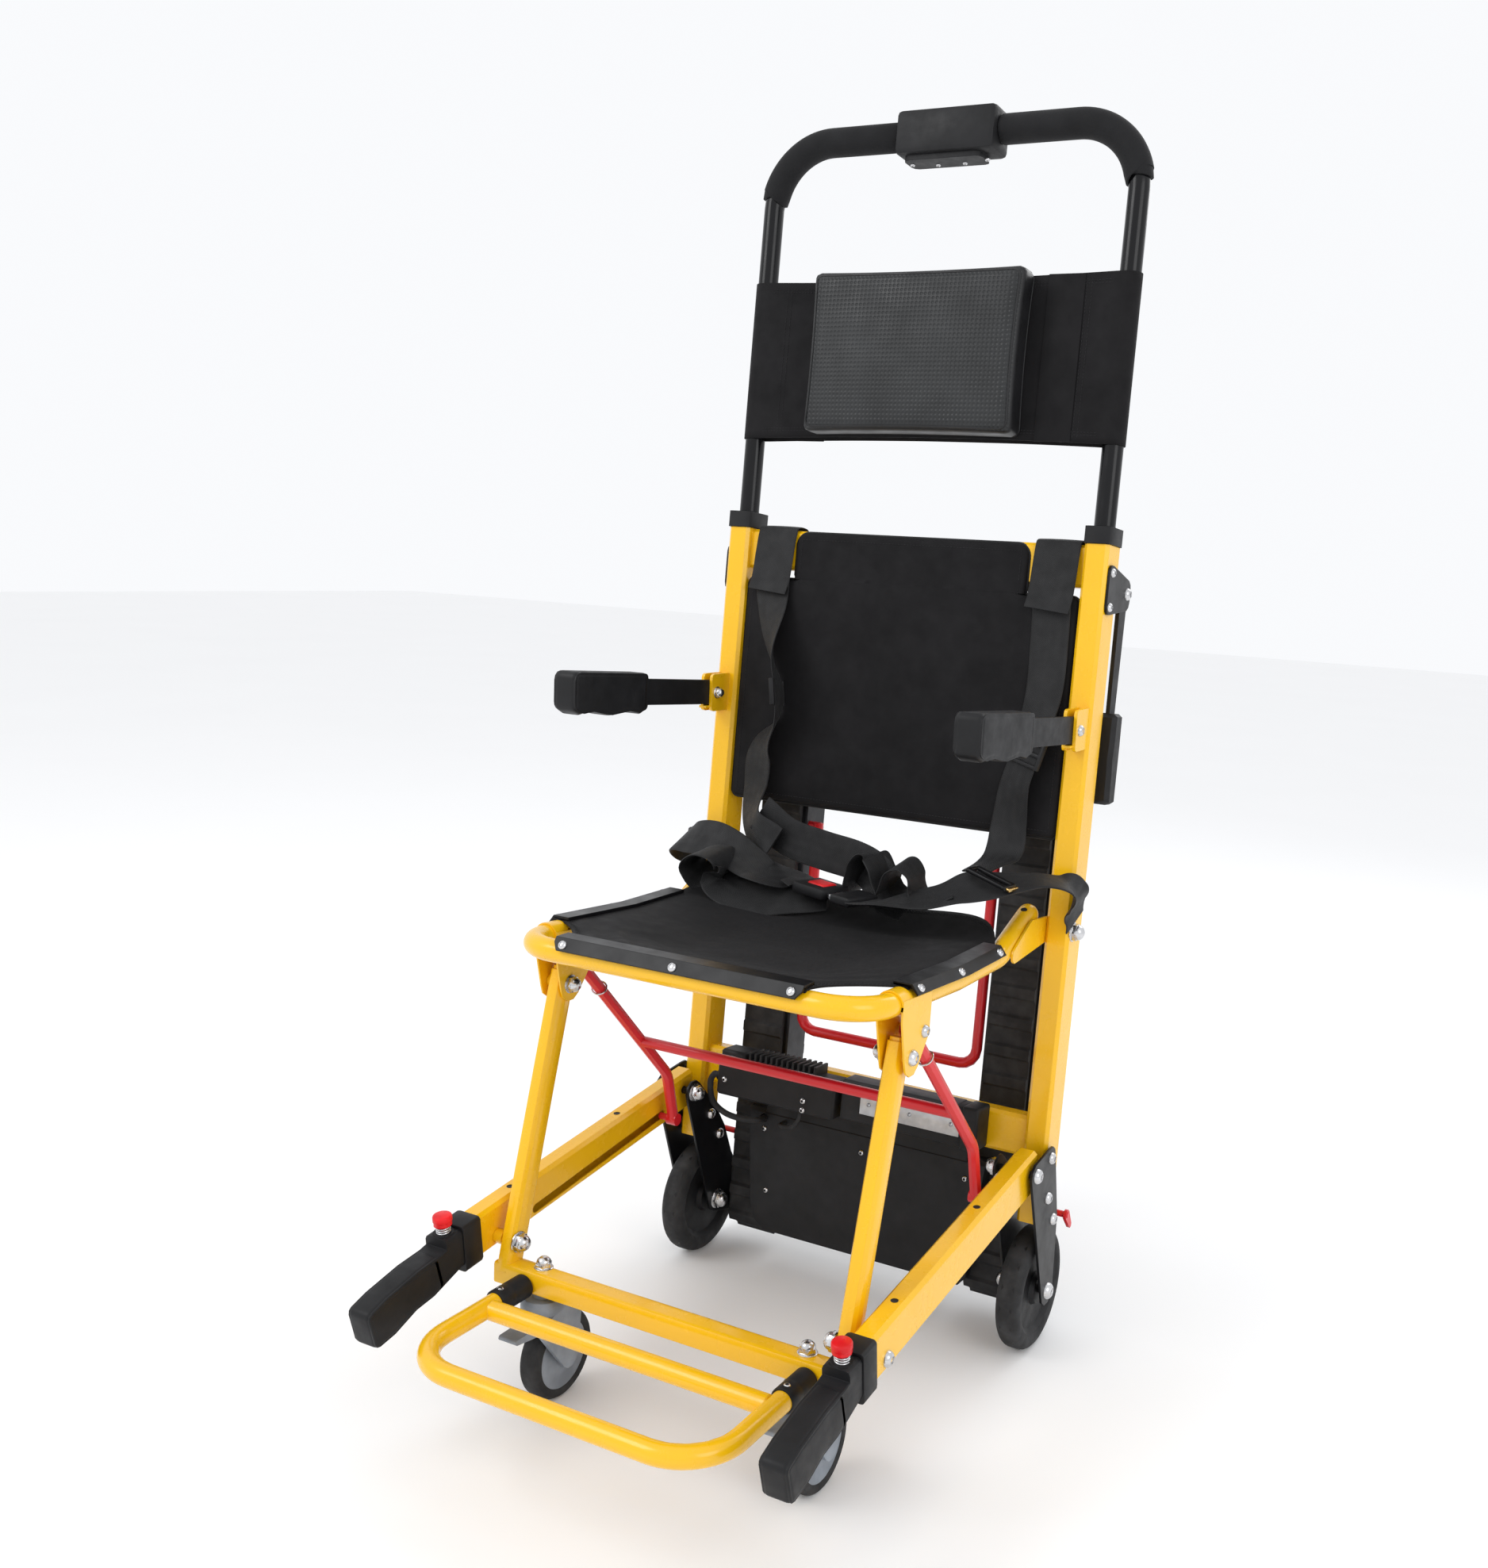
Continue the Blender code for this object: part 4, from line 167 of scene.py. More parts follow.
def rounded(points, radii, steps=10, closed=False):
    """Round the corners of a path with arcs."""
    spots = [Vector(p).to_3d() for p in points]
    count = len(spots)
    result = [] if closed else [spots[0]]
    for i in range(0 if closed else 1, count if closed else count - 1):
        radius = radii[i] if isinstance(radii, (list, tuple)) else radii
        corner = spots[i]
        if radius <= 0:
            result.append(corner)
            continue
        back = (spots[i - 1] - corner).normalized()
        ahead = (spots[(i + 1) % count] - corner).normalized()
        half = back.angle(ahead) / 2
        centre = corner + (back + ahead).normalized() * (radius / math.sin(half))
        first = corner + back * (radius / math.tan(half)) - centre
        last = corner + ahead * (radius / math.tan(half)) - centre
        turn = math.pi - 2 * half
        for step in range(steps + 1):
            share = step / steps
            spoke = first * math.sin((1 - share) * turn) + last * math.sin(share * turn)
            result.append(centre + spoke / math.sin(turn))
    if not closed:
        result.append(spots[-1])
    return result


def rounded_rect(width, height, radius, steps):
    x, y = width / 2, height / 2
    corners = [(-x, -y), (x, -y), (x, y), (-x, y)]
    return [p.to_2d() for p in rounded(corners, radius, steps, closed=True)]


def smooth_run(points, count):
    """Points at even shares of a smooth curve through the given points."""
    spots = [Vector(p) for p in points]
    spots = [2 * spots[0] - spots[1]] + spots + [2 * spots[-1] - spots[-2]]
    pieces = len(spots) - 3
    run = []
    for i in range(count + 1):
        place = i / count * pieces
        k = min(int(place), pieces - 1)
        t = place - k
        a, b, c, d = spots[k:k + 4]
        run.append(0.5 * (2 * b + (c - a) * t + (2 * a - 5 * b + 4 * c - d) * t * t
                          + (3 * b - a - 3 * c + d) * t * t * t))
    return run


def facing(point, direction):
    """A place at a point with its Z along a direction."""
    turn = Vector(direction).to_track_quat("Z", "Y").to_matrix().to_4x4()
    return Matrix.Translation(point) @ turn


def along(start, end):
    """A place with its Z from start to end and its X to the chair's right."""
    z = (Vector(end) - Vector(start)).normalized()
    x = Vector((1, 0, 0))
    y = z.cross(x).normalized()
    return Matrix.Translation(start) @ Matrix((x, y, z)).transposed().to_4x4()


def join_rings(bm, rings, closed=False):
    """Skin a run of vertex rings with quads."""
    count = len(rings)
    for i in range(count if closed else count - 1):
        a, b = rings[i], rings[(i + 1) % count]
        for k in range(len(a)):
            n = (k + 1) % len(a)
            bm.faces.new((a[k], a[n], b[n], b[k]))


def cap_rings(bm, rings):
    """Close both ends of a run of rings."""
    bm.faces.new(rings[0][::-1])
    bm.faces.new(rings[-1])


def add_tube(bm, path, radius, sides, closed=False):
    """A round bar swept along a path, with flat ends when it is open."""
    path = [Vector(p) for p in path]
    count = len(path)
    normal = None
    rings = []
    for i, point in enumerate(path):
        if closed:
            tangent = (path[(i + 1) % count] - path[i - 1]).normalized()
        else:
            tangent = (path[min(i + 1, count - 1)] - path[max(i - 1, 0)]).normalized()
        if normal is None:
            normal = tangent.orthogonal().normalized()
        normal = (normal - tangent * normal.dot(tangent)).normalized()
        side = tangent.cross(normal)
        r = radius[i] if isinstance(radius, (list, tuple)) else radius
        rings.append([bm.verts.new(point + normal * (r * math.cos(math.tau * k / sides))
                                   + side * (r * math.sin(math.tau * k / sides)))
                      for k in range(sides)])
    join_rings(bm, rings, closed)
    if not closed:
        cap_rings(bm, rings)


def add_lathe(bm, profile, sides, place, ring=False):
    """A profile of (radius, height) turned about the place's Z."""
    rings = []
    for k in range(sides):
        a = math.tau * k / sides
        rings.append([(r, bm.verts.new(place @ Vector((r * math.cos(a), r * math.sin(a), z))))
                      for r, z in profile])
    steps = len(profile) if ring else len(profile) - 1
    for k in range(sides):
        a, b = rings[k], rings[(k + 1) % sides]
        for i in range(steps):
            n = (i + 1) % len(profile)
            corners = [a[i][1], b[i][1], b[n][1], a[n][1]]
            if profile[i][0] == 0:
                corners.remove(b[i][1])
            if profile[n][0] == 0:
                corners.remove(b[n][1])
            bm.faces.new(corners)
    bmesh.ops.remove_doubles(bm, verts=[v for ring in rings for _, v in ring], dist=1e-5)


def add_plate(bm, outline, low, high, place=Matrix()):
    """A flat outline with a thickness along its own Z."""
    ends = [[bm.verts.new(place @ Vector((*Vector(p).to_2d(), z))) for p in outline]
            for z in (low, high)]
    bm.faces.new(ends[0][::-1])
    bm.faces.new(ends[1])
    join_rings(bm, ends)


def add_block(bm, low, high, place, radius, steps):
    """A block with rounded edges."""
    low, high = Vector(low), Vector(high)
    part = bmesh.new()
    bmesh.ops.create_cube(part, size=1.0)
    part.transform(Matrix.Diagonal((high - low).to_4d()))
    bmesh.ops.bevel(part, geom=part.edges[:], offset=radius, segments=steps, profile=0.5,
                    affect="EDGES")
    part.transform(place @ Matrix.Translation((low + high) / 2))
    merge(bm, part)


def merge(bm, part):
    """Add one mesh to another and free it."""
    mesh = bpy.data.meshes.new("part")
    part.to_mesh(mesh)
    part.free()
    bm.from_mesh(mesh)
    bpy.data.meshes.remove(mesh)


def add_cushion(bm, half, radius, place, cells, crown, waist):
    """A padded block: rounded edges, a crowned face on -Y and sides that draw in."""
    part = bmesh.new()
    bmesh.ops.create_cube(part, size=2.0)
    bmesh.ops.subdivide_edges(part, edges=part.edges[:], cuts=cells, use_grid_fill=True)
    half = Vector(half)
    core = Vector([h - radius for h in half])
    for vert in part.verts:
        u = vert.co.copy()
        p = Vector([u[i] * half[i] for i in range(3)])
        inner = Vector([max(-core[i], min(core[i], p[i])) for i in range(3)])
        out = p - inner
        if out.length > 1e-6:
            p = inner + out.normalized() * radius
        sx, sz = 1 - min(1, abs(u.x)) ** 2, 1 - min(1, abs(u.z)) ** 2
        p.x *= 1 - waist * sz * abs(u.x)
        p.z *= 1 - waist * sx * abs(u.z)
        if u.y < 0:
            p.y -= crown * (sx * sz) ** CROWN_FALL * -u.y
        vert.co = p
    part.transform(place)
    merge(bm, part)


def add_grip(bm, outline, half, radius, place):
    """A side outline given a width, with full round edges."""
    spots = [Vector(p).to_2d() for p in outline]
    count = len(spots)
    area = sum(a.x * b.y - b.x * a.y for a, b in zip(spots, spots[1:] + spots[:1]))
    inward = []
    for i, p in enumerate(spots):
        ahead = (spots[(i + 1) % count] - spots[i - 1]).normalized()
        side = Vector((-ahead.y, ahead.x)) * (1 if area > 0 else -1)
        inward.append(side)
    levels = []
    for k in range(6):
        a = math.pi / 2 * k / 5
        levels.append((radius * (1 - math.sin(a)), radius * (1 - math.cos(a)) - half))
    levels += [(inset, -level) for inset, level in reversed(levels)]
    rings = [[bm.verts.new(place @ Vector((*(p + side * inset), level)))
              for p, side in zip(spots, inward)] for inset, level in levels]
    join_rings(bm, rings)
    cap_rings(bm, rings)


def add_ribbon(bm, run, lay, width, wall, wobble):
    """Webbing with soft edges along a run; its UV is the cloth's own size in metres."""
    uv = bm.loops.layers.uv.verify()
    section = [(-0.5, 0.0), (-0.488, 0.40), (-0.46, 0.5), (-0.25, 0.5), (0.0, 0.5), (0.25, 0.5),
               (0.46, 0.5), (0.488, 0.40), (0.5, 0.0), (0.488, -0.40), (0.46, -0.5), (0.25, -0.5),
               (0.0, -0.5), (-0.25, -0.5), (-0.46, -0.5), (-0.488, -0.40)]
    rings, reach = [], []
    length = 0.0
    for i, point in enumerate(run):
        tangent = (run[min(i + 1, len(run) - 1)] - run[max(i - 1, 0)]).normalized()
        across = lay[i] - tangent * lay[i].dot(tangent)
        across.normalize()
        normal = across.cross(tangent)
        if i:
            length += (run[i] - run[i - 1]).length
        cup = wobble * math.sin(length * 0.045)
        rings.append([bm.verts.new(point + across * (u * width)
                                   + normal * (v * wall + cup * (4 * u * u - 0.5)))
                      for u, v in section])
        reach.append(length * MM)
    for i in range(len(rings) - 1):
        for k in range(len(section)):
            n = (k + 1) % len(section)
            face = bm.faces.new((rings[i][k], rings[i][n], rings[i + 1][n], rings[i + 1][k]))
            spots = ((k, i), (n, i), (n, i + 1), (k, i + 1))
            for loop, (column, row) in zip(face.loops, spots):
                loop[uv].uv = (section[column][0] * width * MM, reach[row])
    cap_rings(bm, rings)
    return length


def add_stitches(bm, path, normal, pitch):
    """A row of raised stitches that lie on a surface along a path."""
    path = [Vector(p) for p in path]
    normal = Vector(normal)
    travelled, target = 0.0, pitch / 2
    for i in range(len(path) - 1):
        start, end = path[i], path[i + 1]
        span = (end - start).length
        if span < 1e-6:
            continue
        ahead = (end - start) / span
        up = (normal - ahead * normal.dot(ahead)).normalized()
        side = ahead.cross(up)
        while target <= travelled + span:
            centre = start + ahead * (target - travelled)
            half = pitch * 0.34
            base = [centre + ahead * (half * e) + side * (THREAD_WIDTH / 2 * w) - up * 0.2
                    for e, w in ((-1, -1), (1, -1), (1, 1), (-1, 1))]
            top = [centre + ahead * (half * 0.55 * e) + side * (THREAD_WIDTH / 3 * w)
                   + up * THREAD_RISE for e, w in ((-1, -1), (1, -1), (1, 1), (-1, 1))]
            low = [bm.verts.new(p) for p in base]
            high = [bm.verts.new(p) for p in top]
            bm.faces.new(high)
            for k in range(4):
                bm.faces.new((low[k], low[(k + 1) % 4], high[(k + 1) % 4], high[k]))
            target += pitch
        travelled += span


def add_dome(bm, point, direction, radius):
    """A dome head with a socket, just proud of the bolt head in the frame."""
    r, h = radius + 0.5, 0.62 * radius + 0.6
    profile = [(0, h - 1.6), (0.40 * r, h - 1.4), (0.44 * r, h), (0.62 * r, h * 0.90),
               (0.80 * r, h * 0.68), (0.93 * r, h * 0.38), (r, 0.3), (r, -0.6)]
    add_lathe(bm, profile, 20, facing(point, direction))


def add_acorn(bm, point, direction, radius):
    """A washer and an acorn nut, just proud of the nut in the frame."""
    r = radius
    place = facing(point, direction)
    add_lathe(bm, [(0, 1.0), (1.25 * r, 1.0), (1.32 * r, 0.6), (1.32 * r, -0.5)], 24, place)
    flat = (r + 0.3) / math.cos(math.pi / 6)
    low = [Vector((flat * math.cos(math.tau * k / 6), flat * math.sin(math.tau * k / 6)))
           for k in range(6)]
    part = bmesh.new()
    add_plate(part, low, 0.8, 0.62 * r + 1.0)
    bmesh.ops.bevel(part, geom=part.edges[:], offset=0.5, segments=2, profile=0.5, affect="EDGES")
    part.transform(place)
    merge(bm, part)
    top = 1.55 * r + 0.4
    base = 0.62 * r + 0.9
    dome = [(0, top)] + [((r + 0.2) * math.sin(a), base + (top - base) * math.cos(a))
                         for a in (math.radians(t) for t in (15, 30, 45, 60, 75, 90))]
    add_lathe(bm, dome + [(r + 0.2, 0.5 * r)], 20, place)


def add_mirror(bm):
    """Repeat the piece on the left."""
    part = bm.copy()
    part.transform(Matrix.Diagonal((-1, 1, 1, 1)))
    bmesh.ops.reverse_faces(part, faces=part.faces[:])
    merge(bm, part)


def piece(name, bm, finish, body, sharp=38.0):
    """Turn a millimetre mesh into a named piece that rides on a body."""
    bm.transform(TO_ROW)
    bmesh.ops.recalc_face_normals(bm, faces=bm.faces[:])
    mesh = bpy.data.meshes.new(name)
    bm.to_mesh(mesh)
    bm.free()
    mesh.shade_smooth()
    mesh.set_sharp_from_angle(angle=math.radians(sharp))
    obj = bpy.data.objects.new(name, mesh)
    bpy.context.scene.collection.objects.link(obj)
    for made in finish if isinstance(finish, (list, tuple)) else (finish,):
        mesh.materials.append(made)
    if body:
        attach(obj, body)
    return obj


# Finishes

class Finish:
    """A material's node tree, with short calls that add nodes and join them."""

    def __init__(self, name, colour, rough, metal=0.0, **sockets):
        self.made = bpy.data.materials.new(name)
        self.made.use_nodes = True
        self.made.diffuse_color = (*colour, 1.0)
        self.tree = self.made.node_tree
        self.shader = self.tree.nodes["Principled BSDF"]
        self.colour = colour
        self.shader.inputs["Base Color"].default_value = (*colour, 1.0)
        self.shader.inputs["Roughness"].default_value = rough
        self.shader.inputs["Metallic"].default_value = metal
        for key, value in sockets.items():
            self.shader.inputs[key.replace("_", " ")].default_value = value
        where = self.add("TexCoord")
        self.place = where.outputs["Object"]
        self.cloth = where.outputs["UV"]
        self.normal = None

    def add(self, kind, links=(), **settings):
        node = self.tree.nodes.new("ShaderNode" + kind)
        for key, value in settings.items():
            setattr(node, key, value)
        for key, value in links:
            if isinstance(value, bpy.types.NodeSocket):
                self.tree.links.new(value, node.inputs[key])
            else:
                node.inputs[key].default_value = value
        return node

    def noise(self, scale, detail=3.0, place=None, rough=0.55):
        node = self.add("TexNoise", [("Vector", place or self.place), ("Scale", scale),
                                     ("Detail", detail), ("Roughness", rough)])
        return node.outputs["Fac"]

    def math(self, operation, a, b=0.0):
        return self.add("Math", [(0, a), (1, b)], operation=operation).outputs[0]

    def span(self, value, low, high, to_low, to_high):
        return self.add("MapRange", [("Value", value), ("From Min", low), ("From Max", high),
                                     ("To Min", to_low), ("To Max", to_high)]).outputs["Result"]

    def tint(self, share, low, high):
        node = self.add("Mix", [(0, share)], data_type="RGBA")
        for index, colour in ((6, low), (7, high)):
            if isinstance(colour, bpy.types.NodeSocket):
                self.tree.links.new(colour, node.inputs[index])
            else:
                node.inputs[index].default_value = (*colour, 1.0)
        return node.outputs[2]

    def paint(self, share, dark, light):
        """Vary the base colour between a darker and a lighter share of itself."""
        low = tuple(c * dark for c in self.colour)
        high = tuple(min(1.0, c * light) for c in self.colour)
        self.base(self.tint(share, low, high))

    def base(self, colour):
        self.tree.links.new(colour, self.shader.inputs["Base Color"])

    def rough(self, share, low, high):
        self.tree.links.new(self.span(share, 0.3, 0.7, low, high),
                            self.shader.inputs["Roughness"])

    def round_edges(self, radius):
        self.normal = self.add("Bevel", [("Radius", radius)], samples=6).outputs["Normal"]

    def bump(self, height, strength, distance):
        links = [("Height", height), ("Strength", strength), ("Distance", distance)]
        if self.normal:
            links.append(("Normal", self.normal))
        self.normal = self.add("Bump", links).outputs["Normal"]

    def end(self):
        if self.normal:
            self.tree.links.new(self.normal, self.shader.inputs["Normal"])
        return self.made


def powder_coat(name, colour, rough=0.24, coat=0.30, gleam=0.42):
    """Sprayed and baked paint: faint orange peel, patchy tone, dull patches."""
    f = Finish(name, colour, rough, Coat_Weight=coat, Coat_Roughness=0.12,
               Specular_IOR_Level=gleam)
    f.round_edges(0.0011)
    broad = f.noise(9.0, 4.0)
    f.paint(f.span(broad, 0.35, 0.65, 0.0, 1.0), 0.97, 1.015)
    f.rough(f.noise(38.0, 5.0), rough - 0.05, rough + 0.09)
    f.bump(f.noise(420.0, 2.0), 0.06, 0.0003)
    return f.end()


def moulded(name, colour, rough=0.50, grain=0.22, speck=1500.0):
    """Moulded plastic: fine spark grain, scuffs and slightly paler handled patches."""
    f = Finish(name, colour, rough, Specular_IOR_Level=0.27)
    f.round_edges(0.0009)
    f.paint(f.span(f.noise(24.0, 4.0), 0.35, 0.7, 0.0, 1.0), 0.82, 1.32)
    f.rough(f.noise(60.0, 6.0), rough - 0.07, rough + 0.10)
    f.bump(f.noise(speck, 2.0), grain, 0.0002)
    return f.end()


def rubber(name, colour, rough=0.72):
    """Rubber with a dusty, uneven skin."""
    f = Finish(name, colour, rough, Specular_IOR_Level=0.28)
    f.round_edges(0.0010)
    dust = f.span(f.noise(34.0, 7.0), 0.42, 0.74, 0.0, 1.0)
    f.base(f.tint(dust, f.colour, tuple(c * 1.7 + 0.012 for c in f.colour)))
    f.rough(f.noise(90.0, 4.0), rough - 0.08, rough + 0.12)
    f.bump(f.noise(900.0, 3.0), 0.16, 0.0003)
    return f.end()


def steel(name, colour=(0.68, 0.68, 0.69), rough=0.20):
    """Bright plated steel with fine turning lines and a few dull spots."""
    f = Finish(name, colour, rough, 1.0)
    f.paint(f.span(f.noise(70.0, 4.0), 0.35, 0.7, 0.0, 1.0), 0.82, 1.06)
    f.rough(f.noise(220.0, 5.0), rough - 0.06, rough + 0.14)
    f.bump(f.noise(2600.0, 1.0), 0.05, 0.0001)
    return f.end()


def foam_skin(name, colour):
    """Closed-cell foam: small soft pores and a dull sheen."""
    f = Finish(name, colour, 0.80, Sheen_Weight=0.04, Sheen_Roughness=0.5,
               Specular_IOR_Level=0.22)
    cells = f.add("TexVoronoi", [("Vector", f.place), ("Scale", 900.0)]).outputs["Distance"]
    f.paint(f.span(f.noise(30.0, 4.0), 0.35, 0.7, 0.0, 1.0), 0.85, 1.25)
    f.bump(f.math("ADD", cells, f.noise(160.0, 3.0)), 0.28, 0.0006)
    return f.end()


def threads(f, u, v, pitch):
    """Height of a plain weave: two crossing sets of threads, one over the other in turn."""
    turns = math.tau / pitch
    warp = f.math("SINE", f.math("MULTIPLY", u, turns))
    weft = f.math("SINE", f.math("MULTIPLY", v, turns))
    return f.math("MULTIPLY", warp, weft)


def woven(name, colour, pitch=0.0013, sheen=0.03):
    """Coated woven cloth with thread relief, faint creases and a little lint."""
    f = Finish(name, colour, 0.74, Sheen_Weight=sheen, Sheen_Roughness=0.45,
               Specular_IOR_Level=0.16)
    parts = f.add("SeparateXYZ", [(0, f.cloth)])
    height = threads(f, parts.outputs[0], parts.outputs[1], pitch)
    lint = f.span(f.noise(16.0, 6.0), 0.40, 0.72, 0.0, 1.0)
    f.base(f.tint(lint, tuple(c * 0.9 for c in colour), tuple(c * 1.35 for c in colour)))
    f.rough(f.noise(45.0, 5.0), 0.66, 0.84)
    f.bump(f.noise(26.0, 4.0), 0.12, 0.0030)
    f.bump(height, 0.35, 0.0002)
    return f.end()


def webbed(name, colour):
    """Harness webbing: chevron ribs along its length, painted shade in the grooves between them,
    painted highlight on their crests, and a tight bound edge.
    """
    f = Finish(name, colour, 0.50, Sheen_Weight=0.04, Sheen_Roughness=0.4,
               Specular_IOR_Level=0.32)
    parts = f.add("SeparateXYZ", [(0, f.cloth)])
    u, v = parts.outputs[0], parts.outputs[1]
    fold = f.math("PINGPONG", f.math("ADD", u, 1.0), 0.006)
    ribs = f.math("SINE", f.math("MULTIPLY", f.math("ADD", v, fold), math.tau / 0.0022))
    rows = f.math("SINE", f.math("MULTIPLY", u, math.tau / 0.0015))
    height = f.math("ADD", f.math("MULTIPLY", ribs, 0.7), f.math("MULTIPLY", rows, 0.35))
    # The colour follows the ribs' height times a random tone: painted shade in the grooves and
    # painted highlight on the crests
    light = f.math("MULTIPLY", f.span(height, -1.0, 1.0, 0.0, 1.0),
                   f.span(f.noise(22.0, 5.0), 0.3, 0.7, 0.35, 1.0))
    f.base(f.tint(light, tuple(c * 0.55 for c in colour), tuple(c * 2.1 + 0.004 for c in colour)))
    f.rough(f.noise(60.0, 4.0), 0.48, 0.70)
    f.bump(height, 0.45, 0.00035)
    return f.end()


def leatherette(name, colour, dimples):
    """Coated cushion cover: pressed dimples in a grid, or plain grain on the side panels."""
    f = Finish(name, colour, 0.40, Specular_IOR_Level=0.36)
    grain = f.add("TexVoronoi", [("Vector", f.place), ("Scale", 620.0)]).outputs["Distance"]
    f.paint(f.span(f.noise(18.0, 5.0), 0.35, 0.7, 0.0, 1.0), 0.8, 1.35)
    f.rough(f.noise(40.0, 4.0), 0.34, 0.50)
    if dimples:
        cells = f.add("TexVoronoi", [("Vector", f.cloth), ("Scale", 1 / 0.0054),
                                     ("Randomness", 0.0)], voronoi_dimensions="2D")
        pit = f.span(cells.outputs["Distance"], 0.10, 0.42, 0.0, 1.0)
        f.bump(pit, 0.8, 0.0008)
    f.bump(f.noise(14.0, 4.0), 0.25, 0.004)
    f.bump(grain, 0.20, 0.0003)
    return f.end()


FINISHES = {}


def make_finishes(colours):
    yellow = tuple(colours.frame_yellow)
    FINISHES.update({
        "yellow_paint": powder_coat("Yellow powder coat", yellow),
        "black_paint": powder_coat("Black powder coat", (0.006, 0.006, 0.007), 0.34, 0.02, 0.24),
        "black_plastic": moulded("Black moulding", (0.0095, 0.0095, 0.0105)),
        "grey_plastic": moulded("Grey moulding", tuple(colours.hub_grey), 0.42, 0.12),
        "red_paint": powder_coat("Red paint", tuple(colours.link_red), 0.33, 0.25),
        "red_plastic": moulded("Red moulding", tuple(colours.button_red), 0.32, 0.05),
        "bright_steel": steel("Bright steel"),
        "black_tube": powder_coat("Gloss black tube", (0.004, 0.004, 0.005), 0.16, 0.05, 0.25),
        "foam": foam_skin("Foam sleeve", (0.010, 0.010, 0.011)),
        "rubber": rubber("Tyre rubber", tuple(colours.tyre_grey)),
        "black_fabric": woven("Black cloth", tuple(colours.cloth_black)),
        "webbing": webbed("Webbing", tuple(colours.webbing_black)),
        "leatherette": leatherette("Cushion side", (0.010, 0.010, 0.011), False),
        "dimpled": leatherette("Cushion face", (0.016, 0.017, 0.018), True),
        "thread": woven("Thread", (0.020, 0.020, 0.021), 0.0006),
        "aluminium": steel("Brushed aluminium", (0.52, 0.53, 0.55), 0.34),
        "brass": steel("Brass end", (0.62, 0.42, 0.16), 0.28),
        "grey_lid": moulded("Grey lid", (0.035, 0.036, 0.040), 0.5, 0.18),
    })


def round_shading():
    """Nodes that weld a solid's facets and shade all but its real edges smooth."""
    group = bpy.data.node_groups.new("Smooth facets", "GeometryNodeTree")
    group.interface.new_socket("Geometry", in_out="INPUT", socket_type="NodeSocketGeometry")
    group.interface.new_socket("Geometry", in_out="OUTPUT", socket_type="NodeSocketGeometry")
    new = group.nodes.new
    start, end = new("NodeGroupInput"), new("NodeGroupOutput")
    drop = new("GeometryNodeRemoveAttribute")
    drop.inputs["Name"].default_value = "custom_normal"
    weld = new("GeometryNodeMergeByDistance")
    weld.inputs["Distance"].default_value = 0.00001
    smooth = new("GeometryNodeSetShadeSmooth")
    angle = new("GeometryNodeInputMeshEdgeAngle")
    limit = new("FunctionNodeCompare")
    limit.data_type = "FLOAT"
    limit.operation = "LESS_THAN"
    limit.inputs[1].default_value = math.radians(37)
    sharp = new("GeometryNodeSetShadeSmooth")
    sharp.domain = "EDGE"
    link = group.links.new
    link(start.outputs[0], drop.inputs[0])
    link(drop.outputs[0], weld.inputs[0])
    link(weld.outputs[0], smooth.inputs[0])
    link(smooth.outputs[0], sharp.inputs[0])
    link(angle.outputs["Unsigned Angle"], limit.inputs[0])
    link(limit.outputs[0], sharp.inputs["Shade Smooth"])
    link(sharp.outputs[0], end.inputs[0])
    return group


# Operators, one for each piece or group of like pieces

class StepOperator:
    """What the chair's operators share"""
    bl_options = {"REGISTER", "UNDO"}

    @property
    def sizes(self):
        return bpy.context.scene.stair_chair_sizes


class STAIRCHAIR_OT_finishes(StepOperator, bpy.types.Operator):
    """Give every rigid solid of the frame its finish and smooth its facets"""
    bl_idname = "stair_chair.finishes"
    bl_label = "Frame Finishes"

    def execute(self, context):
        make_finishes(context.scene.stair_chair_colours)
        slots = {part["node"]: part["material_slot"] for part in frame["record"]["subparts"]}
        group = round_shading()
        for name, obj in frame["nodes"].items():
            finish = slots[name]
            if name.startswith("caster_wheel"):
                finish = "grey_plastic"
            elif name.startswith("rear_wheel"):
                finish = "black_plastic"
            elif name == "track_chassis":
                finish = "grey_lid"
            obj.data.materials.clear()
            obj.data.materials.append(FINISHES[finish])
            facets = obj.modifiers.new("Smooth facets", "NODES")
            facets.node_group = group
        return {"FINISHED"}


def bar_path(steps=16):
    corners = [(-UPRIGHT_X, 0, 1010), (-UPRIGHT_X, 0, BAR_TOP), (UPRIGHT_X, 0, BAR_TOP),
               (UPRIGHT_X, 0, 1010)]
    return rounded(corners, BAR_BEND, steps)


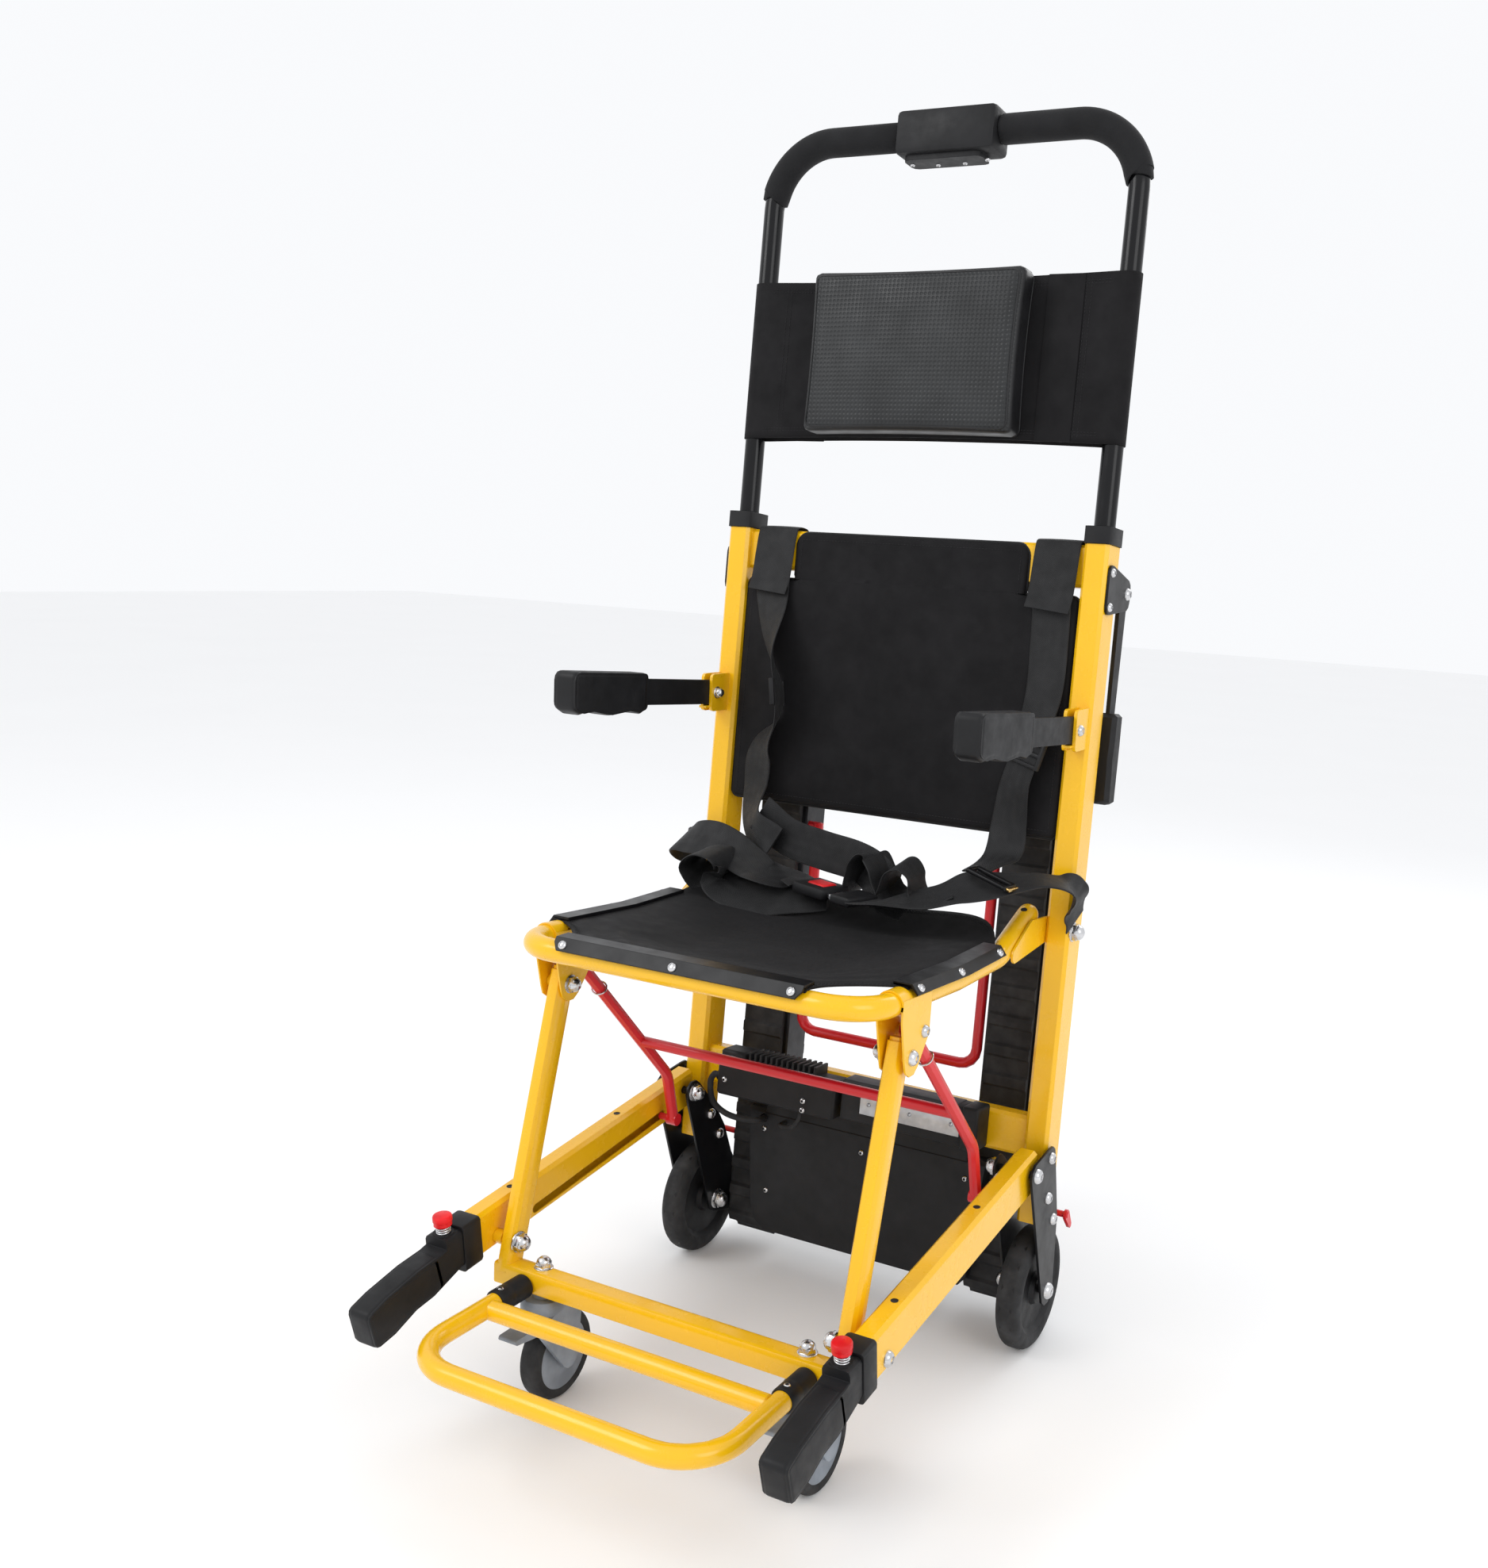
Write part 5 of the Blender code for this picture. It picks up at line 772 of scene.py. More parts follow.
class STAIRCHAIR_OT_push_bar(StepOperator, bpy.types.Operator):
    """Gloss tube, foam sleeves and the control box's screws"""
    bl_idname = "stair_chair.push_bar"
    bl_label = "Push Bar"

    def execute(self, context):
        bm = bmesh.new()
        low = UPRIGHT_TOP_S + 21.5
        run = [p for p in bar_path() if p.z >= low]
        run = [Vector((-UPRIGHT_X, 0, low))] + run + [Vector((UPRIGHT_X, 0, low))]
        add_tube(bm, [LEAN @ p for p in run], BAR_RADIUS + 0.15, 36)
        piece("push_bar_skin", bm, FINISHES["black_tube"], "handle")
        edge = 66.3
        run = [p for p in bar_path(24) if p.x > edge and p.z > FOAM_FOOT]
        run = [Vector((edge, 0, BAR_TOP)), Vector((edge + 2.5, 0, BAR_TOP))] + run
        run += [Vector((UPRIGHT_X, 0, FOAM_FOOT + 3)), Vector((UPRIGHT_X, 0, FOAM_FOOT))]
        wide = [FOAM_RADIUS - 1.6] + [FOAM_RADIUS + 0.1] * (len(run) - 2) + [FOAM_RADIUS - 2.2]
        wide[-2] = FOAM_RADIUS
        for side, sign in (("right", 1), ("left", -1)):
            bm = bmesh.new()
            add_tube(bm, [LEAN @ Vector((p.x * sign, p.y, p.z)) for p in run], wide, 36)
            sleeve = piece("foam_sleeve_" + side, bm, FINISHES["foam"], "handle")
            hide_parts("handle_foam_" + side)
        bm = bmesh.new()
        for x in (-50, -18, 18, 50):
            add_dome(bm, lean(x, 0 if abs(x) > 20 else 6, BAR_TOP - 34), LEAN @ Vector((0, 0, -1)),
                     2.6)
        for x in (-54, 54):
            add_dome(bm, lean(x, 24.8, BAR_TOP), LEAN @ Vector((0, 1, 0)), 2.6)
        piece("control_box_screws", bm, FINISHES["bright_steel"], "handle")
        return {"FINISHED"}


class STAIRCHAIR_OT_headrest(StepOperator, bpy.types.Operator):
    """Cloth sling round both tubes and the crowned cushion on it"""
    bl_idname = "stair_chair.headrest"
    bl_label = "Headrest"

    def execute(self, context):
        pitch = self.sizes.stitch / MM
        reach = 13.9
        loop = []
        for i in range(13):
            a = math.radians(-90 + 180 * i / 12)
            loop.append((UPRIGHT_X + reach * math.cos(a), reach * math.sin(a)))
        rear = [(x, reach) for x in [UPRIGHT_X - (i + 1) * 2 * UPRIGHT_X / 41 for i in range(40)]]
        loop += rear + [(-x, -y) for x, y in loop] + [(-x, -y) for x, y in rear]
        bm = bmesh.new()
        uv = bm.loops.layers.uv.verify()
        rows = 22
        shares, total = [], 0.0
        for i, p in enumerate(loop):
            shares.append(total)
            total += (Vector(loop[(i + 1) % len(loop)]) - Vector(p)).length
        shares.append(total)
        grid = []
        for r in range(rows + 1):
            t = r / rows
            row = []
            for x, y in loop:
                s = SLING_LOW + (SLING_HIGH - SLING_LOW) * t
                slack = max(0.0, 1 - (x / (UPRIGHT_X - 8)) ** 2)
                edge = (2 * t - 1) ** 2
                s += (4.0 * slack * (1 - 2 * t)) * (0.35 + 0.65 * edge)
                drift = slack * 1.5 * noise.noise(Vector((x * 0.014, y * 0.1, s * 0.02)))
                fold = 1.1 * slack * math.sin(x * 0.05 + s * 0.03) * (1 - edge)
                pull = 1.0 - 0.10 * slack * (1 - edge)
                row.append(bm.verts.new(LEAN @ Vector((x, y * pull + drift + 0.4 * fold, s))))
            grid.append(row)
        for r in range(rows):
            for c in range(len(loop)):
                n = (c + 1) % len(loop)
                face = bm.faces.new((grid[r][c], grid[r][n], grid[r + 1][n], grid[r + 1][c]))
                across = [shares[c], shares[c + 1], shares[c + 1], shares[c]]
                height = [r, r, r + 1, r + 1]
                for k, loop_ in enumerate(face.loops):
                    loop_[uv].uv = (across[k] * MM, height[k] / rows * 0.1965)
        sling = piece("sling_cloth", bm, FINISHES["black_fabric"], None, 60)
        thick = sling.modifiers.new("Cloth", "SOLIDIFY")
        thick.thickness = 0.0014
        thick.offset = 0.0
        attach(sling, "handle")
        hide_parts("headrest_sling")

        # Hems, end seams and the lapped end
        bm = bmesh.new()
        for s in (SLING_LOW + 9, SLING_LOW + 12.5, SLING_HIGH - 9, SLING_HIGH - 12.5):
            t = (s - SLING_LOW) / (SLING_HIGH - SLING_LOW)
            for y0 in (-reach - 0.8, reach + 0.8):
                path = []
                for i in range(61):
                    x = -226 + 452 * i / 60
                    slack = max(0.0, 1 - (x / (UPRIGHT_X - 8)) ** 2)
                    edge = (2 * t - 1) ** 2
                    rise = (4.0 * slack * (1 - 2 * t)) * (0.35 + 0.65 * edge)
                    path.append(lean(x, y0 * (1 - 0.10 * slack * (1 - edge)), s + rise))
                add_stitches(bm, path, LEAN @ Vector((0, math.copysign(1, y0), 0)), pitch)
        for x in (-204, -198, 198, 204):
            for y0 in (-reach - 0.7, reach + 0.7):
                path = [lean(x, y0 * 0.985, SLING_LOW + 6 + 4.6 * i) for i in range(41)]
                add_stitches(bm, path, LEAN @ Vector((0, math.copysign(1, y0), 0)), pitch)
        seams = piece("sling_stitches", bm, FINISHES["thread"], "handle")
        bm = bmesh.new()
        add_block(bm, (150, -reach - 2.0, SLING_LOW + 1.5), (196, -reach - 0.2, SLING_HIGH - 1.5),
                  LEAN, 0.8, 2)
        add_block(bm, (-196, reach + 0.2, SLING_LOW + 1.5), (-150, reach + 1.8, SLING_HIGH - 1.5),
                  LEAN, 0.7, 2)
        lap = piece("sling_lap", bm, FINISHES["black_fabric"], "handle")

        # Cushion: a dimpled face, plain side band, piping and a zip behind
        bm = bmesh.new()
        middle = (1096 + 1290) / 2
        crown = self.sizes.cushion_crown / MM
        depth = 21.0 - crown / 2
        shift = -7.0
        centre = LEAN @ Matrix.Translation((shift, -14.9 - depth, middle))
        add_cushion(bm, (141, depth, 97), 9.5, centre, 30, crown, 0.022)
        uv = bm.loops.layers.uv.verify()
        back = LEAN.inverted()
        for face in bm.faces:
            normal = back.to_3x3() @ face.normal
            face.material_index = 1 if normal.y < -0.72 else 0
            for loop_ in face.loops:
                spot = back @ loop_.vert.co
                loop_[uv].uv = (spot.x * MM, spot.z * MM)
        cushion = piece("head_cushion", bm, [FINISHES["leatherette"], FINISHES["dimpled"]],
                        "handle", 60)
        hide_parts("headrest_cushion")
        bm = bmesh.new()
        front = -14.9 - 2 * depth
        for inset, d in ((5.0, front + 1.6), (1.6, -17.5)):
            rim = []
            for p in rounded_rect(282 - 2 * inset, 194 - 2 * inset, 9.5, 5):
                rim.append(Vector((p.x, d, p.y)))
            dense = []
            for i, p in enumerate(rim):
                q = rim[(i + 1) % len(rim)]
                steps = max(1, int((q - p).length / 12))
                for k in range(steps):
                    w = p.lerp(q, k / steps)
                    u, v = w.x / 141, w.z / 97
                    w.x *= 1 - 0.022 * max(0, 1 - v * v) * abs(u)
                    w.z *= 1 - 0.022 * max(0, 1 - u * u) * abs(v)
                    if d < -30:
                        w.y -= crown * (max(0, 1 - u * u) * max(0, 1 - v * v)) ** 0.6
                    dense.append(LEAN @ (w + Vector((shift, 0, middle))))
            add_tube(bm, dense, 1.5 if d < -30 else 1.2, 8, closed=True)
        piping = piece("cushion_piping", bm, FINISHES["leatherette"], "handle")
        bm = bmesh.new()
        top = middle + 94.6
        add_block(bm, (60, -23, top - 1.2), (124, -18.4, top + 0.9), LEAN, 0.4, 1)
        add_block(bm, (118, -24.5, top - 0.6), (127, -17, top + 2.4), LEAN, 1.0, 2)
        piece("cushion_zip", bm, FINISHES["black_plastic"], "handle")
        return {"FINISHED"}


class STAIRCHAIR_OT_backrest(StepOperator, bpy.types.Operator):
    """Padded back panel with its flap over the top rail, piping and stitching"""
    bl_idname = "stair_chair.backrest"
    bl_label = "Backrest"

    def execute(self, context):
        pitch = self.sizes.stitch / MM
        bm = bmesh.new()
        uv = bm.loops.layers.uv.verify()
        wide, narrow = 227.5, 159.5

        def half_at(s):
            if s <= PAD_SHOULDER:
                close = min(s - PAD_LOW, PAD_SHOULDER - s, 9.0)
                return wide - 9 + math.sqrt(max(0.0, 81 - (9 - close) ** 2))
            close = min(PAD_HIGH - s, 16.0)
            return narrow - 16 + math.sqrt(max(0.0, 256 - (16 - close) ** 2))

        body = [PAD_LOW + (PAD_SHOULDER - PAD_LOW) * (1 - math.cos(math.pi * i / 44)) / 2
                for i in range(45)]
        flap = [PAD_SHOULDER + 0.05 + (PAD_HIGH - PAD_SHOULDER - 0.05)
                * math.sin(math.pi / 2 * i / 16) for i in range(17)]
        rings, seams = [], []
        count = 56
        for s in body + flap:
            half = half_at(s)
            ring = []
            for face in (0, 1):
                for k in range(count):
                    u = -math.cos(math.pi * k / count) * (1 - 2 * face)
                    x = u * half
                    edge = min(half - abs(x), s - PAD_LOW, PAD_HIGH - s)
                    if s <= PAD_SHOULDER and abs(x) > narrow - 6:
                        edge = min(edge, PAD_SHOULDER - s)
                    share = max(0.0, min(1.0, edge / 5.5))
                    bulge = math.sqrt(1 - (1 - share) ** 2)
                    soft = max(0.0, min(1.0, edge / 70))
                    if face:
                        d = -9.4 + 6.0 * bulge
                    else:
                        d = -9.4 - 7.2 * bulge - 2.2 * soft * (2 - soft)
                        d += soft * (0.8 * noise.noise(Vector((x * 0.012, 0, s * 0.012)))
                                     + 0.3 * noise.noise(Vector((x * 0.05, 0, s * 0.05))))
                    if s > PAD_SHOULDER and face:
                        d = min(d, -13.0)
                    ring.append((bm.verts.new(lean(x, d, s)), x, s))
            rings.append(ring)
        for a, b in zip(rings, rings[1:]):
            for k in range(len(a)):
                n = (k + 1) % len(a)
                quad = (a[k], a[n], b[n], b[k])
                face = bm.faces.new([v for v, _, _ in quad])
                for loop_, (_, x, s) in zip(face.loops, quad):
                    loop_[uv].uv = (x * MM, s * MM)
        bmesh.ops.remove_doubles(bm, verts=bm.verts[:], dist=0.02)
        pad = piece("back_panel", bm, FINISHES["black_fabric"], "frame", 60)
        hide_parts("backrest_pad")
        rim = [(half_at(s), s) for s in body + flap]
        rim = [(-x, s) for x, s in rim] + [(x, s) for x, s in reversed(rim)]
        bm = bmesh.new()
        path = []
        for x, s in rim:
            p = lean(x, -11.4, s)
            if not path or (p - path[-1]).length > 0.8:
                path.append(p)
        add_tube(bm, path, 2.0, 8, closed=True)
        piece("back_piping", bm, FINISHES["webbing"], "frame")
        bm = bmesh.new()
        out = LEAN @ Vector((0, -1, 0))
        line = [lean(-216 + 432 * i / 80, -17.3, PAD_LOW + 9) for i in range(81)]
        add_stitches(bm, line, out, pitch)
        line = [lean(x, -17.3, s) for x, s in
                [(-150, PAD_SHOULDER - 4), (-150, PAD_HIGH - 9), (150, PAD_HIGH - 9),
                 (150, PAD_SHOULDER - 4)]]
        add_stitches(bm, line, out, pitch)
        for x in (-218, 218):
            line = [lean(x, -17.3, PAD_LOW + 12 + 5 * i) for i in range(56)]
            add_stitches(bm, line, out, pitch)
        piece("back_stitches", bm, FINISHES["thread"], "frame")
        return {"FINISHED"}


def rail_height(y):
    return 508 + max(0.0, (y + 200) / -203) * 12


def cloth_height(x, y, sag):
    rest = rail_height(y) + BAR_RADIUS + 1.3

    def ease(t):
        t = max(0.0, min(1.0, t))
        return t * t * (3 - 2 * t)
    side = ease((SEAT_X - BAR_RADIUS - 4 - abs(x)) / 130)
    front = ease((y - SEAT_FRONT_Y - BAR_RADIUS - 4) / 110)
    rear = 1 - 0.55 * ease((y + 190) / 130)
    return rest + max(0.0, y - CLOTH_REAR_Y) * CLOTH_CLIMB - sag * side * front * rear


def cloth_half(y):
    """Half the cloth's width: cut in a curve between the front strip and the side strips."""
    front = SEAT_FRONT_Y - 9
    share = max(0.0, min(1.0, (y - front) / (STRIP_SIDE_FRONT - front)))
    return STRIP_FRONT_HALF + (SEAT_X - STRIP_FRONT_HALF) * share ** 2.2


def cloth_reach(x):
    """How far the cloth's rear edge runs back past its corners at the side strips."""
    return CLOTH_REACH * (1 - min(1.0, abs(x) / SEAT_X) ** 10)


class STAIRCHAIR_OT_seat(StepOperator, bpy.types.Operator):
    """Bent seat tube, the stretched cloth over it, its hems, screws and saddles"""
    bl_idname = "stair_chair.seat"
    bl_label = "Seat"

    def execute(self, context):
        pitch = self.sizes.stitch / MM
        sag = self.sizes.seat_sag / MM
        right = [(SEAT_X, 3, 541), (SEAT_X, -80, 508), (SEAT_X, -200, 508), (SEAT_X, -403, 520)]
        left = [(-x, y, z) for x, y, z in reversed(right)]
        run = rounded(right + left, [0, 60, 0, 52, 52, 0, 60, 0], 12)
        bm = bmesh.new()
        add_tube(bm, run, BAR_RADIUS + 0.12, 32)
        # Each tail is closed by a round end
        size = BAR_RADIUS + 0.12
        tail = (Vector(run[0]) - Vector(run[1])).normalized()
        ends = bmesh.new()
        turns = [math.radians(90 - 90 * i / 8) for i in range(1, 9)]
        add_lathe(ends, [(0, size)] + [(size * math.cos(a), size * math.sin(a)) for a in turns], 32,
                  facing(tuple(run[0]), tuple(tail)))
        add_mirror(ends)
        merge(bm, ends)
        piece("seat_tube_skin", bm, FINISHES["yellow_paint"], "seat")
        # Black disc on top of each tail, near its end: painted shade inside a hole
        bm = bmesh.new()
        up = Vector((0, -tail.z, tail.y))
        spot = Vector(run[0]) - tail * 9 + up * (size - 0.5)
        add_lathe(bm, [(0, 0.75), (3.6, 0.75), (3.9, 0.2), (3.9, -0.4)], 24,
                  facing(tuple(spot), tuple(up)))
        add_mirror(bm)
        piece("seat_tail_hole_shade", bm, FINISHES["black_plastic"], "seat")

        bm = bmesh.new()
        uv = bm.loops.layers.uv.verify()
        wrap = BAR_RADIUS + 1.3
        rows, columns = 64, 72
        front = SEAT_FRONT_Y - 2.0
        grid = []
        for r in range(-2, rows + 1):
            row = []
            if r < 0:
                a = math.radians(-r * 15)
                y = SEAT_FRONT_Y - wrap * math.sin(a)
                drop = wrap * (1 - math.cos(a))
                half = STRIP_FRONT_HALF
            else:
                y = SEAT_FRONT_Y + (CLOTH_REAR_Y - SEAT_FRONT_Y) * r / rows
                drop = 0.0
                half = cloth_half(y)
            level = y
            for c in range(columns + 1):
                u = 2 * c / columns - 1
                x = u * half
                y = level + cloth_reach(u * SEAT_X) * max(0, r / rows - 0.4) / 0.6
                z = cloth_height(x, max(y, SEAT_FRONT_Y), sag) - drop
                if r > 2 and abs(u) < 0.97:
                    pull = math.exp(-(((abs(x) - 150) / 60) ** 2 + ((y + 340) / 60) ** 2))
                    z += 1.3 * pull * math.sin((abs(x) - y) * 0.14)
                    z += 0.5 * noise.noise(Vector((x * 0.02, y * 0.02, 0)))
                row.append((bm.verts.new((x, y, z)), x, y - drop))
            grid.append(row)
        for r in range(len(grid) - 1):
            for c in range(columns):
                quad = (grid[r][c], grid[r][c + 1], grid[r + 1][c + 1], grid[r + 1][c])
                face = bm.faces.new([v for v, _, _ in quad])
                for loop_, (_, x, y) in zip(face.loops, quad):
                    loop_[uv].uv = (x * MM, y * MM)
        for sign in (-1, 1):
            previous = None
            for i in range(48):
                y = STRIP_SIDE_FRONT + (CLOTH_REAR_Y - STRIP_SIDE_FRONT) * i / 47
                z = rail_height(y)
                strand = []
                for k in range(3):
                    a = math.radians(90 - 13 * k)
                    strand.append((bm.verts.new((sign * (SEAT_X + wrap * math.cos(a)), y,
                                                 z + wrap * math.sin(a))), k))
                if previous:
                    for k in range(2):
                        quad = (previous[k], previous[k + 1], strand[k + 1], strand[k])
                        face = bm.faces.new([v for v, _ in quad])
                        for loop_, (_, step) in zip(face.loops, quad):
                            loop_[uv].uv = (sign * (SEAT_X + step * 3.1) * MM,
                                            loop_.vert.co.y * MM)
                previous = strand
        cloth = piece("seat_cloth", bm, FINISHES["black_fabric"], None, 60)
        thick = cloth.modifiers.new("Cloth", "SOLIDIFY")
        thick.thickness = 0.0016
        thick.offset = 0.0
        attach(cloth, "seat")
        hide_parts("seat_fabric")

        # Double row of stitches along every free edge of the cloth
        bm = bmesh.new()
        for inset in (6.0, 9.5):
            for sign in (-1, 1):
                edge = []
                for i in range(41):
                    y = SEAT_FRONT_Y + 14 + (STRIP_SIDE_FRONT - SEAT_FRONT_Y - 10) * i / 40
                    x = sign * (cloth_half(y) - inset)
                    edge.append(Vector((x, y, cloth_height(x, y, sag) + 1.0)))
                add_stitches(bm, edge, (0, 0, 1), pitch)
            edge = []
            for i in range(81):
                x = -198 + 396 * i / 80
                y = CLOTH_REAR_Y + cloth_reach(x) - inset
                edge.append(Vector((x, y, cloth_height(x, y, sag) + 1.0)))
            add_stitches(bm, edge, (0, 0, 1), pitch)
        for x, y in ((SEAT_X - 14, 0), (14 - SEAT_X, 0)):
            edge = [Vector((x, STRIP_SIDE_FRONT + 5.6 * i, 0)) for i in range(41)]
            for p in edge:
                p.z = cloth_height(p.x, p.y, sag) + 1.0
            add_stitches(bm, edge, (0, 0, 1), pitch)
        edge = [Vector((-146 + 292 * i / 60, SEAT_FRONT_Y + 17, 0)) for i in range(61)]
        for p in edge:
            p.z = cloth_height(p.x, p.y, sag) + 1.0
        add_stitches(bm, edge, (0, 0, 1), pitch)
        hems = piece("seat_stitches", bm, FINISHES["thread"], "seat")

        # Clamp strips: a flat over the cloth and a lip bent down the outside, with screws in it
        bm = bmesh.new()
        screws = bmesh.new()
        z = rail_height(-413)
        lip = [(-392.6, z + 15.2), (-392.6, z + 18.9), (-412.2, z + 18.9), (-421.0, z + 6.4),
               (-419.3, z + 5.3), (-411.6, z + 15.2)]
        rings = []
        for x, drop in ((-STRIP_FRONT_HALF, -7.5), (-STRIP_FRONT_HALF + 6, 0),
                        (STRIP_FRONT_HALF - 6, 0), (STRIP_FRONT_HALF, -7.5)):
            rings.append([bm.verts.new((x, y - (drop * 0.7 if k in (3, 4) else 0),
                                        h - (drop if k in (3, 4) else 0)))
                          for k, (y, h) in enumerate(lip)])
        join_rings(bm, rings)
        cap_rings(bm, rings)
        for x in (-138, 0, 138):
            add_dome(screws, (x, -417.2, z + 12.0), (0, -0.82, 0.575), 4.6)
        side = [(202.6, 15.2), (202.6, 18.9), (223.6, 18.9), (231.2, 8.6), (229.8, 7.5),
                (222.6, 15.2)]
        for sign in (-1, 1):
            rings = []
            for y in (STRIP_SIDE_FRONT, -260, -200, -100):
                level = rail_height(y)
                rings.append([bm.verts.new((sign * x, y, level + h)) for x, h in side])
            join_rings(bm, rings)
            cap_rings(bm, rings)
            for y in (STRIP_SIDE_FRONT + 12, -215, -112):
                add_dome(screws, (sign * 227.6, y, rail_height(y) + 13.6), (0.8 * sign, 0, 0.6),
                         4.4)
        piece("strip_lips", bm, FINISHES["black_paint"], "seat")
        piece("strip_screws", screws, FINISHES["bright_steel"], "seat")

        # Yellow saddles that wrap over the tube in front of the side strips
        bm = bmesh.new()
        a = Vector((SEAT_X, -330, rail_height(-330)))
        b = Vector((SEAT_X, -352, rail_height(-352)))
        rings = []
        for centre in (a, b):
            ring = []
            for radius in (BAR_RADIUS + 2.5, BAR_RADIUS + 0.2):
                angles = range(-20, 201, 11) if radius > 14 else range(200, -21, -11)
                ring += [bm.verts.new(centre + Vector((radius * math.cos(math.radians(t)), 0,
                                                       radius * math.sin(math.radians(t)))))
                         for t in angles]
            rings.append(ring)
        join_rings(bm, rings)
        cap_rings(bm, rings)
        add_mirror(bm)
        piece("seat_saddles", bm, FINISHES["yellow_paint"], "seat")
        return {"FINISHED"}


def strap_run(points, lay, count):
    return smooth_run(points, count), smooth_run(lay, count)


class STAIRCHAIR_OT_harness(StepOperator, bpy.types.Operator):
    """Shoulder straps, lap belts, their adjusters and their stitching"""
    bl_idname = "stair_chair.harness"
    bl_label = "Harness"

    def execute(self, context):
        width = self.sizes.strap_width / MM
        wall = self.sizes.strap_wall / MM
        pitch = self.sizes.stitch / MM
        rail, top, face, low = 14.0, 977.0, -17.5, 931.5
        across = Vector((1, 0, 0))

        def loop(x):
            return [lean(x, rail, low), lean(x, rail, top - 14), lean(x, rail, top - 4),
                    lean(x, rail - 5, top), lean(x, 5 - rail, top), lean(x, -rail, top - 4),
                    lean(x, -rail, top - 14), lean(x, face + 0.5, low + 14),
                    lean(x, face - 0.4, PAD_SHOULDER - 8)]
        right = loop(195) + [lean(197, face - 2, 860), lean(198, face - 5, 800),
                             lean(188, face - 10, 740), lean(176, face - 13, 690),
                             lean(172, face - 10, 640), Vector((172, 12, 606)),
                             Vector((158, -30, 590))]
        lay = [across] * 9 + [Vector((1, 0, 0)), Vector((1, -0.1, 0)), Vector((1, -0.3, 0.2)),
                              Vector((1, -0.4, 0.2)), Vector((1, -0.1, 0.1)),
                              Vector((1, 0.2, 0.2)), Vector((0.8, 0.3, 0.3))]
        left = loop(-188) + [lean(-182, face - 7, 880), lean(-168, face - 23, 820),
                             lean(-150, face - 27, 770), lean(-152, face - 25, 730),
                             lean(-176, face - 16, 690), lean(-180, face - 14, 645),
                             Vector((-155, -22, 606)), Vector((-110, -46, 588))]
        lay_left = [across] * 9 + [Vector((1, -0.2, 0)), Vector((0.6, -0.8, 0)),
                                   Vector((0.3, -1, 0.1)), Vector((0.5, -0.9, 0.2)),
                                   Vector((0.9, -0.4, 0.2)), Vector((0.9, -0.3, 0.3)),
                                   Vector((0.6, -0.4, 0.6)), Vector((0.5, 0.2, 0.8))]
        anchor = tuple(TO_ROW @ lean(0, -2, 800))
        axis = tuple(LEAN.to_3x3() @ Vector((0, -1, 0)))
        for side, points, lays in (("right", right, lay), ("left", left, lay_left)):
            run, turns = strap_run(points, lays, 190)
            bm = bmesh.new()
            length = add_ribbon(bm, run, turns, width, wall, 0.5)
            strap = piece("shoulder_webbing_" + side, bm, FINISHES["webbing"], "frame",
                          50)
            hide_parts("shoulder_strap_" + side)
            # The loop over the rail is sewn through both layers
            bm = bmesh.new()
            x = run[0].x
            for lift in (-2.4,):
                out = LEAN @ Vector((0, -1, 0))
                cross = [(x - 19, 0), (x + 19, 0), (x + 19, -30), (x - 19, -30), (x - 19, 0),
                         (x + 19, -30), (x - 19, -30), (x + 19, 0)]
                line = [lean(px, face - 1.2 + lift * 0.1, low - 4 + dy) for px, dy in cross]
                add_stitches(bm, line, out, pitch)
            sewn = piece("shoulder_stitches_" + side, bm, FINISHES["thread"], "frame")
            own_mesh(strap)
            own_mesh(sewn)
            goal = lean(188, face - 10, 730) if side == "right" else lean(-150, face - 27, 768)
            step = min(range(30, 170), key=lambda i: (run[i] - goal).length)
            self.ladder(side, run, turns, width, step, axis, anchor)
            # Wide sleeve sewn round the rail, open at its foot
            bm = bmesh.new()
            sleeve = [lean(x, rail + 2.4, 945), lean(x, rail + 2.4, top - 8),
                      lean(x, rail - 3, top + 2.4), lean(x, 3 - rail, top + 2.4),
                      lean(x, -rail - 2.4, top - 8), lean(x, face - 2.6, 945),
                      lean(x - 1, face - 5.5, 915), lean(x - 3, face - 11, 896)]
            around, turn = strap_run(sleeve, [across] * 8, 60)
            cover = add_ribbon(bm, around, turn, width + 9, 1.5, 0.9)
            loop_cover = piece("strap_sleeve_" + side, bm, FINISHES["webbing"], "frame",
                               50)
        self.lap_belts(width, wall, pitch)
        return {"FINISHED"}

    def ladder(self, side, run, turns, width, step, axis, anchor):
        """Three-bar adjuster that the strap is threaded through."""
        tangent = (run[step + 1] - run[step - 1]).normalized()
        across = (turns[step] - tangent * turns[step].dot(tangent)).normalized()
        normal = tangent.cross(across)
        if normal.y > 0:
            normal = -normal
        place = Matrix((across, normal, tangent)).transposed().to_4x4()
        place.translation = run[step] + normal * 1.2
        bm = bmesh.new()
        half = width / 2
        for z in (-14, 0, 14):
            add_block(bm, (-half - 3, 0.4, z - 2.4), (half + 3, 4.4, z + 2.4), place, 1.2, 2)
        for x in (-half - 2.6, half + 2.6):
            add_block(bm, (x - 2.6, -1.8, -17), (x + 2.6, 4.6, 17), place, 1.4, 2)
        buckle = piece("strap_adjuster_" + side, bm, FINISHES["black_plastic"], "frame")
        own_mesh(buckle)

    def lap_belts(self, width, wall, pitch):
        x0 = 260.9
        y = Vector((0, 1, 0))
        lie = BUCKLE.to_3x3() @ Vector((0, 1, 0))

